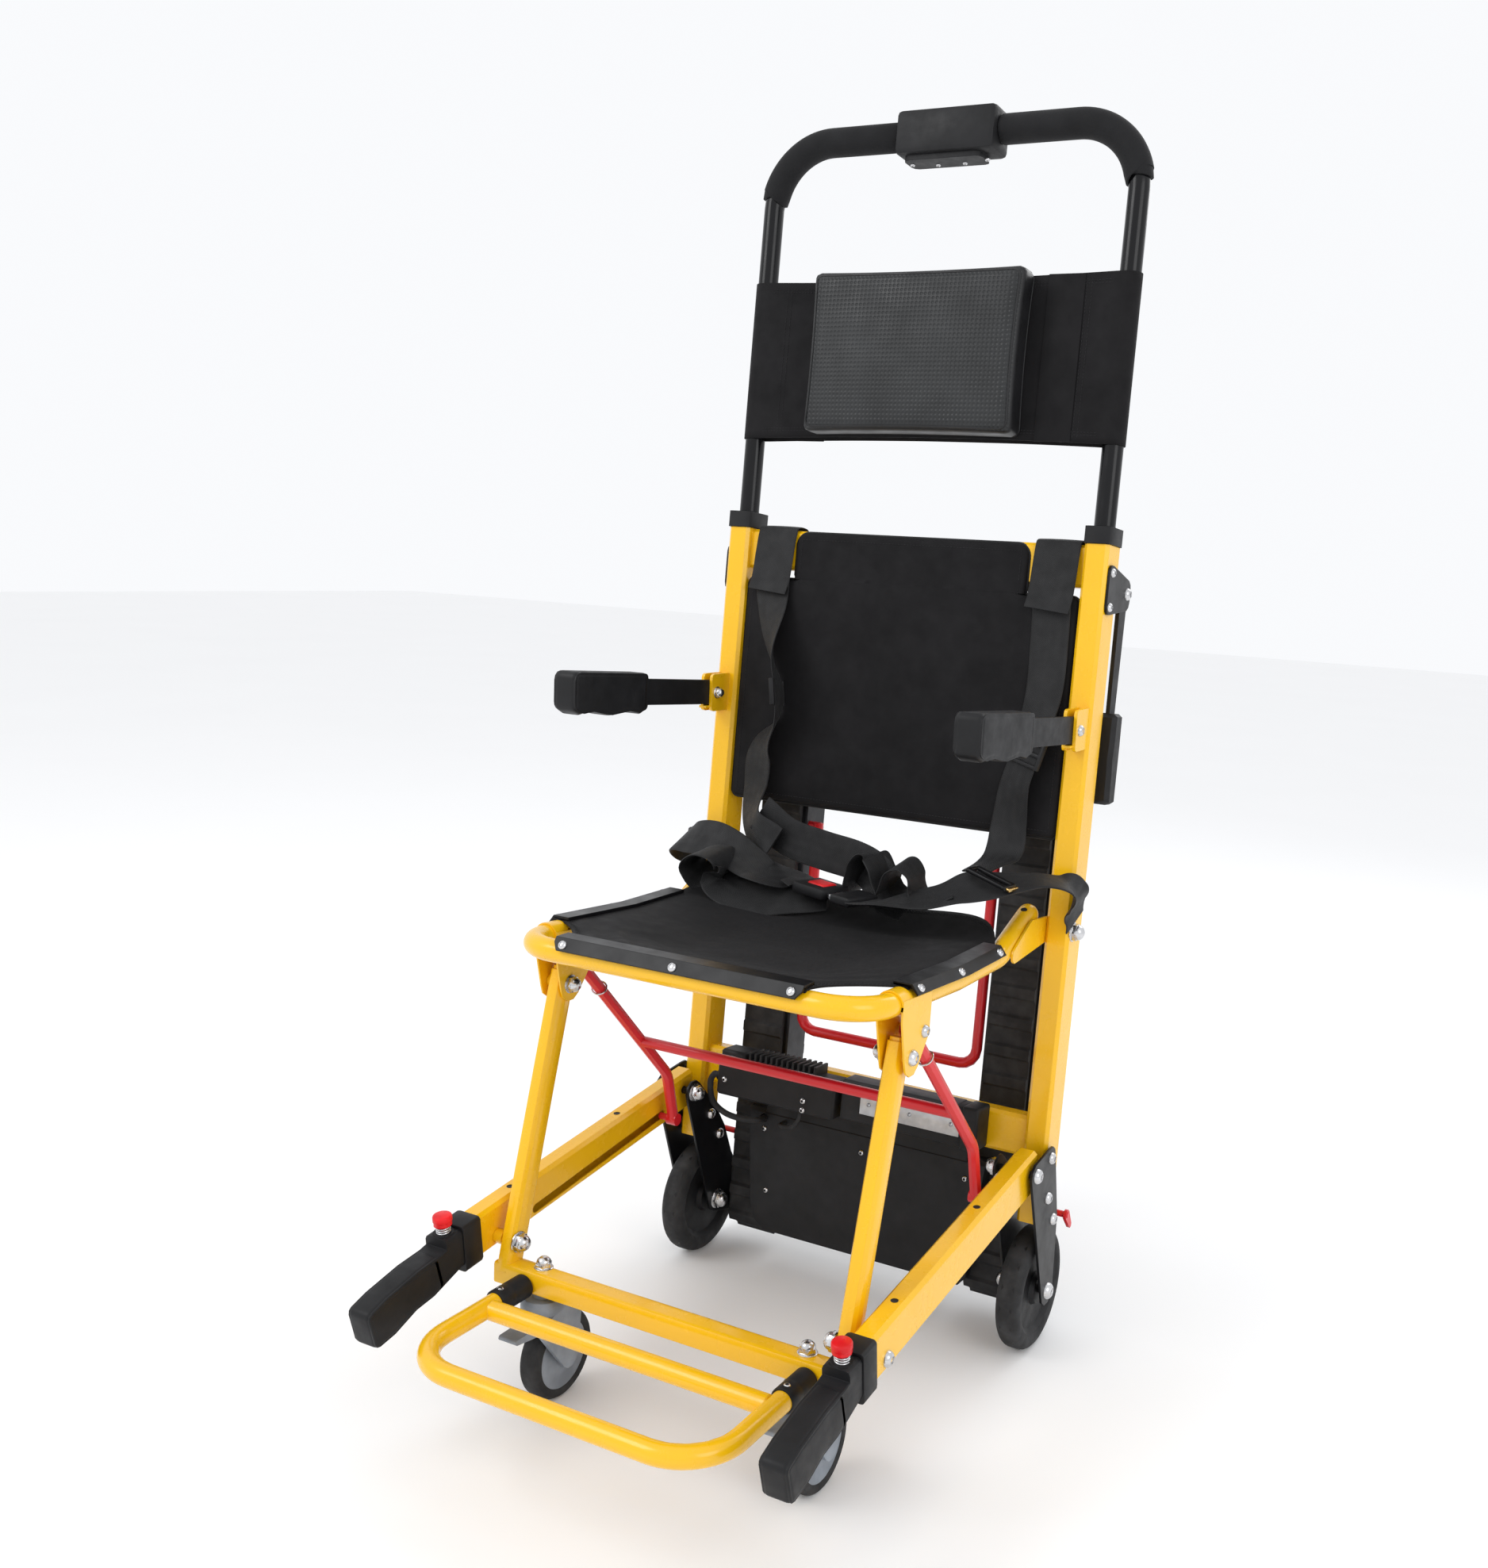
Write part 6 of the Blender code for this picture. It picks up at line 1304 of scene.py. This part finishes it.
        def by_buckle(reach, rise=0.0):
            return BUCKLE @ Vector((reach, 0, rise))
        tongue_end = 26 + 0.3 + 44 + 0.6
        right = [(x0, 33, 534), (x0 + 3, 24, 550), (x0 + 11, 4, 570), (x0 + 7, -14, 586),
                 (244, -34, 593), (220, -52, 590), (195, -66, 585), (166, -80, 580),
                 (130, -94, 566), by_buckle(tongue_end + 26, 4), by_buckle(tongue_end)]
        lay = [y, y, y, Vector((-0.1, 1, 0)), Vector((-0.3, 1, 0.1)), Vector((-0.3, 1, 0.3)),
               Vector((-0.2, 0.9, 0.5)), Vector((0, 0.8, 0.6)), Vector((0.2, 0.9, 0.4)), lie, lie]
        left = [(-x0, 33, 534), (-x0 - 5, 20, 550), (-x0 - 9, -2, 562), (-x0 - 1, -20, 573),
                (-238, -30, 579), (-205, -38, 582), (-170, -50, 577), (-135, -64, 567),
                (-100, -78, 559), by_buckle(-33 - 30, 4), by_buckle(-33 - 0.6)]
        lay_left = [y, y, y, Vector((0, 0.9, 0.4)), Vector((0.1, 0.6, 0.8)),
                    Vector((0.1, 0.5, 0.9)), Vector((0.1, 0.6, 0.8)), Vector((0.1, 0.8, 0.6)),
                    Vector((0.1, 1, 0.3)), lie, lie]
        for side, points, lays, sign in (("right", right, lay, 1), ("left", left, lay_left, -1)):
            run, turns = strap_run([Vector(p) for p in points], lays, 120)
            bm = bmesh.new()
            length = add_ribbon(bm, run, turns, width, wall, 0.7)
            belt = piece("lap_webbing_" + side, bm, FINISHES["webbing"], None, 50)
            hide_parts("lap_belt_" + side)
            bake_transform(belt)
        # Loose webbing gathered in folds at the back of the seat
        folds = (
            ([(-120, -52, 552), (-160, -56, 548), (-196, -64, 536), (-211, -72, 552),
              (-196, -76, 571), (-168, -76, 572), (-158, -72, 556), (-166, -80, 540),
              (-140, -88, 530), (-96, -86, 528), (-56, -76, 534), (-20, -62, 536)],
             [(0, 0.6, 0.8), (0, 0.7, 0.7), (0, 0.8, 0.5), (0.1, 0.9, 0.1), (0, 1, 0.1),
              (0.1, 1, 0.2), (0.2, 1, 0.3), (0.1, 1, 0.2), (0, 0.9, 0.3), (0.1, 0.8, 0.5),
              (0.1, 0.8, 0.5), (0.1, 0.9, 0.3)]),
            ([(-146, -20, 612), (-98, -30, 590), (-39, -42, 584), (10, -50, 580), (40, -56, 570),
              (60, -60, 548), (84, -56, 536)],
             [(0.3, 0.2, 1), (0.2, 0.2, 1), (0, 0.2, 1), (0.1, 0.2, 1), (0.2, 0.4, 1),
              (0.4, 0.7, 0.5), (0.2, 1, 0.2)]),
            ([(0, -52, 536), (14, -56, 552), (26, -60, 584), (38, -60, 594), (50, -62, 580),
              (60, -64, 560), (76, -70, 549), (98, -78, 552)],
             [(0.3, 1, 0), (0.4, 0.9, 0.2), (0.5, 0.8, 0.2), (0.4, 0.9, 0), (0.4, 0.9, -0.2),
              (0.3, 0.9, 0), (0.2, 1, 0), (0.1, 1, 0.1)]),
            ([(50, -64, 540), (62, -66, 562), (70, -68, 584), (84, -68, 592), (98, -70, 582),
              (104, -72, 564), (116, -76, 553), (134, -80, 556), (156, -76, 570)],
             [(0.1, 1, 0), (0.1, 1, 0.1), (0.1, 1, 0.2), (0, 1, 0.2), (-0.1, 1, 0.2),
              (0, 1, 0.1), (0.1, 1, 0), (0.1, 1, 0.1), (0.1, 1, 0.2)]),
        )
        bm = bmesh.new()
        length = 0.0
        for points, lays in folds:
            # The low turns lie on the cloth, which climbs towards its rear edge
            points = [Vector((x, y, z + 0.12 * max(0, y - CLOTH_REAR_Y))) for x, y, z in points]
            lays = [Vector((x, y, z + (0.3 if spot.z < 552 else 0)))
                    for (x, y, z), spot in zip(lays, points)]
            run, turns = strap_run(points, lays, 70)
            length += add_ribbon(bm, run, turns, width, wall, 1.0)
        spare = piece("loose_webbing", bm, FINISHES["webbing"], "seat", 50)
        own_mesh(spare)
        # Moulded cover over the tongue, with the steel showing in front of it
        bm = bmesh.new()
        add_block(bm, (42, -24, -4.6), (76, 24, 6.6), BUCKLE, 3.2, 4)
        piece("tongue_cover", bm, FINISHES["black_plastic"], "seat")
        bm = bmesh.new()
        add_block(bm, (37.0, -21, -2.4), (42.4, 21, 4.4), BUCKLE, 1.2, 3)
        piece("tongue_edge", bm, FINISHES["aluminium"], "seat")
        # Slide adjuster on the right belt, with a brass end
        place = Matrix.Translation((192, -66, 592)) @ Matrix.Rotation(
            math.radians(-12), 4, "Z") @ Matrix.Rotation(math.radians(14), 4, "Y")
        bm = bmesh.new()
        for off in (-9, 9):
            add_block(bm, (-27, off - 3.4, -1.2), (27, off + 3.4, 3.8), place, 1.6, 3)
        for off in (-26, 26):
            add_block(bm, (off - 2.5, -12.5, -1.0), (off + 2.5, 12.5, 3.6), place, 1.4, 3)
        slide = piece("belt_slide", bm, FINISHES["black_paint"], None)
        bm = bmesh.new()
        add_block(bm, (27.5, -10, -0.6), (34, 10, 3.2), place, 1.6, 3)
        end = piece("belt_slide_end", bm, FINISHES["brass"], None)
        # Both follow the right belt, which lies between the frame and the seat
        for item in (slide, end):
            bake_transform(item)


class STAIRCHAIR_OT_fasteners(StepOperator, bpy.types.Operator):
    """Bright bolt heads, acorn nuts and screws over the plain ones of the frame"""
    bl_idname = "stair_chair.fasteners"
    bl_label = "Fasteners"

    def execute(self, context):
        out, inward = (1, 0, 0), (-1, 0, 0)
        front = LEAN @ Vector((0, -1, 0))
        groups = {
            "frame": [("acorn", (259.2, 35, 521), out, 9), ("dome", (225.4, 35, 521), inward, 8),
                      ("dome", (256.3, 16, 762), out, 6.5), ("acorn", (239.6, 16, 762), inward, 6),
                      ("dome", (265, -43, 244), out, 9), ("acorn", (214.6, -43, 244), inward, 9),
                      ("dome", (265, 20, 75), out, 10), ("acorn", (214.6, 20, 75), inward, 10),
                      ("dome", (265, 2, 251), out, 7), ("dome", (265, -1, 202), out, 7),
                      ("dome", (265, 22, 167), out, 7), ("dome", (215, -1, 202), inward, 7),
                      ("dome", (215, 22, 167), inward, 7),
                      ("dome", lean(262.3, -8, 905), out, 5), ("dome", lean(262.3, -8, 945), out, 5),
                      ("dome", lean(262.3, 52, 925), out, 7),
                      ("acorn", lean(253.6, 52, 925), inward, 6)],
            "seat": [("dome", (227.9, -300, 480), out, 6.5),
                     ("acorn", (198.1, -300, 480), inward, 6.5)],
            "legs": [("dome", (228.2, -326, 459), out, 8), ("acorn", (197.8, -326, 459), inward, 8),
                     ("dome", (256.9, -404, 182), out, 8), ("acorn", (200.9, -404, 182), inward, 9),
                     ("acorn", (167, -402, 160.6), (0, 0, 1), 8)],
            "footrest": [("dome", (178, -460, 155.1), (0, 0, 1), 4)],
        }
        for body, rows in groups.items():
            bm = bmesh.new()
            for kind, point, direction, radius in rows:
                (add_acorn if kind == "acorn" else add_dome)(bm, point, direction, radius)
            add_mirror(bm)
            piece("bolts_" + body, bm, FINISHES["bright_steel"], body, 32)
        bm = bmesh.new()
        for x, s in ((-146, 190), (146, 190), (-136, 108), (136, 108), (0, 190)):
            add_dome(bm, lean(x, 8, s), front, 3.5)
        for x, s in ((-178, 262), (-60, 258), (-60, 246)):
            add_dome(bm, lean(x, -51, s), front, 3.5)
        piece("panel_screws", bm, FINISHES["bright_steel"], "frame", 32)
        return {"FINISHED"}


class STAIRCHAIR_OT_beams(StepOperator, bpy.types.Operator):
    """Black receivers on the beams' ends, with black sheets painted as the shade inside their slots
    and holes
    """
    bl_idname = "stair_chair.beams"
    bl_label = "Beam Fittings"

    def execute(self, context):
        place = along(BEAM_REAR, BEAM_FRONT)
        length = (BEAM_FRONT - BEAM_REAR).length
        bm = bmesh.new()
        outer = rounded_rect(33.2, 54.7, 4.3, 5)
        rings = []
        for z, grow in ((length - 3.5, -0.9), (length - 1.2, 0.0), (length + 23.9, 0.0),
                        (length + 24.35, -0.3)):
            rings.append([bm.verts.new(place @ Vector((p.x * (1 + grow / 16.5),
                                                       p.y * (1 + grow / 27.2), z)))
                          for p in outer])
        count = len(outer)
        bore = [Vector((10.6 * math.cos(a), 8.2 + 10.6 * math.sin(a)))
                for a in (math.atan2(p.y, p.x) for p in outer)]
        for z in (length + 24.35, length - 3.5):
            rings.append([bm.verts.new(place @ Vector((p.x, p.y, z))) for p in bore])
        join_rings(bm, rings)
        bm.faces.new(rings[0][::-1])
        bm.faces.ensure_lookup_table()
        add_mirror(bm)
        piece("beam_receivers", bm, FINISHES["black_plastic"], "beams", 35)

        # A black plate painted as the shade inside each slot, behind the link's pin, and black discs
        # painted as the shade in the holes on top of each beam
        bm = bmesh.new()
        start, end = Vector((-90, 225)), Vector((-338, 189))
        run = (end - start).normalized()
        side = Vector((-run.y, run.x))
        outline = []
        for centre, first in ((start, 90), (end, -90)):
            for k in range(9):
                a = math.radians(first + 22.5 * k)
                outline.append(centre + run * (5.4 * math.cos(a)) + side * (5.4 * math.sin(a)))
        add_plate(bm, outline, 255.2 - 1.0, 255.2, SIDEWAYS)
        for y in (-170, -368):
            level = 242 + (y + 22) * (52 / 414) + 25.4
            add_lathe(bm, [(0, 0.1), (3.2, 0.1), (4.2, 0.35), (4.8, -0.6)], 18,
                      Matrix.Translation((244, y, level - 0.5)))
        add_mirror(bm)
        piece("beam_slot_and_hole_shade", bm, FINISHES["black_plastic"], "beams")
        return {"FINISHED"}


class STAIRCHAIR_OT_footrest(StepOperator, bpy.types.Operator):
    """Bent footrest hoop, its cross bar and black coupling sleeves"""
    bl_idname = "stair_chair.footrest"
    bl_label = "Footrest"

    def execute(self, context):
        right = [(178, -452, 144), (178, -604, 144)]
        left = [(-x, y, z) for x, y, z in reversed(right)]
        bm = bmesh.new()
        add_tube(bm, rounded(right + left, [0, 60, 60, 0], 14), 11.15, 28)
        add_tube(bm, [(-170, -482, 144), (170, -482, 144)], 10.7, 28)
        piece("footrest_hoop_skin", bm, FINISHES["yellow_paint"], "footrest")
        bm = bmesh.new()
        place = facing((178, -421.3, 144), (0, -1, 0))
        add_lathe(bm, [(11.2, 47.5), (12.4, 47.3), (13.5, 45.8), (13.5, 30), (13.2, 29), (13.2, 26),
                       (13.5, 25), (13.5, 1.4), (12.2, 0.2), (11.2, 0.2)], 28, place)
        add_mirror(bm)
        piece("footrest_sleeves", bm, FINISHES["black_plastic"], "footrest")
        return {"FINISHED"}


class STAIRCHAIR_OT_wheels(StepOperator, bpy.types.Operator):
    """Round tyres on the rear wheels and the casters"""
    bl_idname = "stair_chair.wheels"
    bl_label = "Tyres"

    def execute(self, context):
        rear = [(75.1, 0.0), (75.0, 5.0), (74.4, 8.6), (72.4, 11.8), (69.4, 14.2), (66.5, 15.4),
                (61.0, 15.5), (56.6, 13.6), (55.6, 12.6), (54.6, 9.0)]
        caster = [(50.1, 0.0), (50.1, 7.3), (49.6, 8.8), (48.3, 10.7), (46.6, 12.2), (42.0, 12.6),
                  (38.8, 11.7), (38.0, 10.6), (36.8, 8.0)]
        wheels = [("rear_wheel", 241, 20, 75, rear), ("caster_wheel", 167, -378, 50, caster)]
        for name, x, y, z, half in wheels:
            profile = half + [(r, -h) for r, h in reversed(half[1:])]
            for side, sign in (("right", 1), ("left", -1)):
                bm = bmesh.new()
                place = Matrix.Translation((x * sign, y, z)) @ SIDEWAYS
                add_lathe(bm, profile, 72, place, ring=True)
                piece("tyre_%s_%s" % (name, side), bm, FINISHES["rubber"],
                      "%s_%s" % (name, side), 30)
        return {"FINISHED"}


class STAIRCHAIR_OT_lift_handles(StepOperator, bpy.types.Operator):
    """Bright springs and rounded button caps on the front lift handles"""
    bl_idname = "stair_chair.lift_handles"
    bl_label = "Lift Handles"

    def execute(self, context):
        place = along(BEAM_REAR, BEAM_FRONT)
        start = (BEAM_FRONT - BEAM_REAR).length + 0.6 + 24
        level = start + 12
        top = 24.0
        for side, sign in (("right", 1), ("left", -1)):
            flip = Matrix.Diagonal((sign, 1, 1, 1))
            bm = bmesh.new()
            coil = []
            for i in range(73):
                a = math.tau * 3 * i / 72
                coil.append(flip @ place @ Vector((7.0 * math.cos(a), top + 0.8 + 8.0 * i / 72,
                                                   level + 7.0 * math.sin(a))))
            add_tube(bm, coil, 1.05, 10)
            piece("button_spring_" + side, bm, FINISHES["bright_steel"], "lift_handle_" + side)
            bm = bmesh.new()
            cap = place @ Matrix.Translation((0, top + 9.8, level)) @ Matrix.Rotation(
                -math.pi / 2, 4, "X")
            add_lathe(bm, [(0, 11.5), (8.9, 11.4), (9.9, 10.9), (10.4, 9.9), (10.5, 5.0),
                           (10.1, 4.2), (9.4, 4.0)], 32, flip @ cap)
            piece("button_cap_" + side, bm, FINISHES["red_plastic"], "handle_button_" + side)
        return {"FINISHED"}


class STAIRCHAIR_OT_electrics(StepOperator, bpy.types.Operator):
    """Battery rail and lid, and the two cables from the controller to the cover"""
    bl_idname = "stair_chair.electrics"
    bl_label = "Electrics"

    def execute(self, context):
        bm = bmesh.new()
        add_block(bm, (20.0, -49.7, 258.5), (155.6, -43.5, 286.6), LEAN, 0.8, 2)
        for x in (32, 88, 144):
            add_dome(bm, lean(x, -49.7, 272.0), LEAN @ Vector((0, -1, 0)), 2.2)
        piece("battery_rail", bm, FINISHES["aluminium"], "frame")
        bm = bmesh.new()
        add_block(bm, (-8.5, -45.4, 290.5), (150, -14.5, 296.8), LEAN, 2.5, 3)
        piece("battery_lid", bm, FINISHES["grey_lid"], "frame")
        bm = bmesh.new()
        add_block(bm, (157, -50.5, 243.5), (179.0, -12.4, 297.5), LEAN, 3.5, 3)
        piece("battery_end", bm, FINISHES["black_plastic"], "frame")
        bm = bmesh.new()
        add_block(bm, (-146, 9, 196), (146, 11, 241), LEAN, 0.5, 1)
        piece("cover_back_strip", bm, FINISHES["black_plastic"], "frame")
        first = (-196.3, -37, 262)
        thick = [first, (-200, -37, 262), (-203, -37, 261), (-209, -35, 249), (-206, -31, 224),
                 (-190, -22, 208), (-165, -14, 203), (-148, -6, 204), (-148, 13, 204)]
        thin = [(-70, -37, 240.7), (-71, -37, 230), (-84, -28, 214), (-104, -14, 206),
                (-116, -4, 204), (-116, 13, 204)]
        for name, node, route, radius in (("motor_lead", "motor_cable", thick, 4.05),
                                          ("sensor_lead", "sensor_cable", thin, 2.55)):
            run = [LEAN @ p for p in smooth_run(route, 60)]
            bm = bmesh.new()
            add_tube(bm, run, radius, 16)
            lead = piece(name, bm, FINISHES["rubber"], "frame")
            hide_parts(node)
        return {"FINISHED"}


class STAIRCHAIR_OT_stage(StepOperator, bpy.types.Operator):
    """Pale floor, soft lights and the camera"""
    bl_idname = "stair_chair.stage"
    bl_label = "Stage"

    def execute(self, context):
        stage = context.scene.stair_chair_stage
        bm = bmesh.new()
        bmesh.ops.create_grid(bm, x_segments=1, y_segments=1, size=stage.floor_size / 2)
        mesh = bpy.data.meshes.new("studio_floor")
        bm.to_mesh(mesh)
        bm.free()
        floor = bpy.data.objects.new("studio_floor", mesh)
        context.scene.collection.objects.link(floor)
        f = Finish("Studio floor", (0.94, 0.94, 0.94), 0.80, Specular_IOR_Level=0.1)
        f.paint(f.noise(1.4, 2.0), 0.99, 1.01)
        mesh.materials.append(f.end())

        world = bpy.data.worlds.new("Studio")
        context.scene.world = world
        world.use_nodes = True
        world.node_tree.nodes["Background"].inputs["Color"].default_value = (0.97, 0.98, 1.0, 1)
        world.node_tree.nodes["Background"].inputs["Strength"].default_value = 0.98
        context.scene.view_settings.view_transform = "Standard"
        for name, spot, aim, size, power in (
                ("Key light", (-1.9, -2.2, 3.0), (0, 0, 0.7), 1.8, stage.key_power),
                ("Fill light", (2.7, -1.2, 1.9), (0, 0, 0.7), 1.6, stage.fill_power),
                ("Back light", (0.6, 2.6, 2.6), (0, 0, 0.9), 1.6, stage.fill_power)):
            lamp = bpy.data.lights.new(name, "AREA")
            lamp.shape = "SQUARE"
            lamp.size = size
            lamp.energy = power
            obj = bpy.data.objects.new(name, lamp)
            obj.location = spot
            obj.rotation_euler = (Vector(aim) - Vector(spot)).to_track_quat("-Z", "Y").to_euler()
            context.scene.collection.objects.link(obj)

        yaw, pitch, roll = (math.radians(t) for t in (27.206, -9.209, 2.968))
        ahead = Vector((-math.sin(yaw) * math.cos(pitch), math.cos(yaw) * math.cos(pitch),
                        math.sin(pitch)))
        level = Vector((math.cos(yaw), math.sin(yaw), 0))
        rise = level.cross(ahead)
        right = level * math.cos(roll) + rise * math.sin(roll)
        up = rise * math.cos(roll) - level * math.sin(roll)
        camera = bpy.data.cameras.new("Camera")
        camera.sensor_width = 36.0
        camera.lens = 35.676
        camera.shift_x = -0.0803
        camera.shift_y = 0.0085
        holder = bpy.data.objects.new("Camera", camera)
        turn = Matrix((right, up, -ahead)).transposed().to_4x4()
        holder.matrix_world = Matrix.Translation((0.8576, -1.4430, 0.9599)) @ turn
        context.scene.collection.objects.link(holder)
        context.scene.camera = holder
        return {"FINISHED"}


class STAIRCHAIR_OT_grips(StepOperator, bpy.types.Operator):
    """Rounded grips on the lift handles and the armrests"""
    bl_idname = "stair_chair.grips"
    bl_label = "Grips"

    def execute(self, context):
        place = along(BEAM_REAR, BEAM_FRONT)
        start = (BEAM_FRONT - BEAM_REAR).length + 24.6
        centre = place @ Vector((0, 0, start + 6))
        tip = Vector((UPRIGHT_X, -592, 149))
        reach = (tip - centre).length
        points = [(16.8, 0.22), (21.8, 0.45), (23.8, 0.8), (21.9, 1.005), (-21.9, 1.005),
                  (-23.8, 0.8), (-19.8, 0.56), (-23.0, 0.36), (-21.4, 0.22)]
        outline = rounded([(u, v * reach) for u, v in points], [2, 40, 30, 7, 7, 30, 24, 12, 2],
                          5, closed=True)
        for side, sign in (("right", 1), ("left", -1)):
            flip = Matrix.Diagonal((sign, 1, 1, 1))
            bm = bmesh.new()
            add_grip(bm, outline, 15.6, 6.2, flip @ along(centre, tip) @ SIDEWAYS)
            piece("lift_grip_" + side, bm, FINISHES["black_plastic"], "lift_handle_" + side,
                  40)
            bm = bmesh.new()
            upper, lower = [], []
            for i in [0] + list(range(2, 23)) + [24]:
                share = i / 24
                y = -145 - 139 * share
                drift = 762 + (16 - y) * 0.06
                swell = 24.6 + 2.3 * math.cos(share * math.tau * 2)
                if i in (0, 24):
                    swell = 20.2
                upper.append((y, drift + 23.6))
                lower.append((y, drift - swell))
            upper[0], lower[0] = (-144.4, upper[0][1]), (-144.4, lower[0][1])
            upper[-1], lower[-1] = (-284.6, upper[-1][1]), (-284.6, lower[-1][1])
            outline_arm = rounded(upper + lower[::-1], [5] + [0] * 21 + [8, 8] + [0] * 21 + [5], 4,
                                  closed=True)
            add_grip(bm, outline_arm, 15.5, 6.0,
                     flip @ Matrix.Translation((248, 0, 0)) @ SIDEWAYS)
            piece("arm_grip_" + side, bm, FINISHES["black_plastic"], "armrest_" + side,
                  40)
        # Wire clips on the folding link
        bm = bmesh.new()
        aim = (Vector((211, -112, 290)) - Vector((211, -300, 480))).normalized()
        spot = Vector((211, -300, 480)) + aim * 62
        clip = facing(spot, aim)
        loop = [clip @ Vector((8.5 * math.cos(math.tau * k / 28), 8.5 * math.sin(math.tau * k / 28),
                               2.5 * math.cos(math.tau * k / 28))) for k in range(28)]
        add_tube(bm, loop, 1.1, 8, closed=True)
        add_mirror(bm)
        piece("link_clips", bm, FINISHES["bright_steel"], "link")
        return {"FINISHED"}


STEPS = (
    STAIRCHAIR_OT_stage, STAIRCHAIR_OT_finishes, STAIRCHAIR_OT_electrics, STAIRCHAIR_OT_push_bar,
    STAIRCHAIR_OT_headrest, STAIRCHAIR_OT_backrest, STAIRCHAIR_OT_seat, STAIRCHAIR_OT_harness,
    STAIRCHAIR_OT_fasteners, STAIRCHAIR_OT_beams, STAIRCHAIR_OT_footrest, STAIRCHAIR_OT_wheels,
    STAIRCHAIR_OT_lift_handles, STAIRCHAIR_OT_grips,
)


class STAIRCHAIR_PT_panel(bpy.types.Panel):
    """Settings and steps of the stair chair"""
    bl_idname = "STAIRCHAIR_PT_panel"
    bl_label = "Stair Chair"
    bl_space_type = "VIEW_3D"
    bl_region_type = "UI"
    bl_category = "Stair Chair"

    def draw(self, context):
        column = self.layout.column()
        for group in (context.scene.stair_chair_colours, context.scene.stair_chair_sizes,
                      context.scene.stair_chair_stage):
            for name in group.__annotations__:
                column.prop(group, name)
        for step in STEPS:
            column.operator(step.bl_idname)


GROUPS = {
    "stair_chair_colours": StairChairColours,
    "stair_chair_sizes": StairChairSizes,
    "stair_chair_stage": StairChairStage,
}
CLASSES = (*GROUPS.values(), *STEPS, STAIRCHAIR_PT_panel)


def register():
    for made in CLASSES:
        bpy.utils.register_class(made)
    for name, group in GROUPS.items():
        setattr(bpy.types.Scene, name, bpy.props.PointerProperty(type=group))


def unregister():
    for name in GROUPS:
        delattr(bpy.types.Scene, name)
    for made in reversed(CLASSES):
        bpy.utils.unregister_class(made)


def main():
    register()
    for step in STEPS:
        family, name = step.bl_idname.split(".")
        getattr(getattr(bpy.ops, family), name)()


if __name__ == "__main__":
    main()
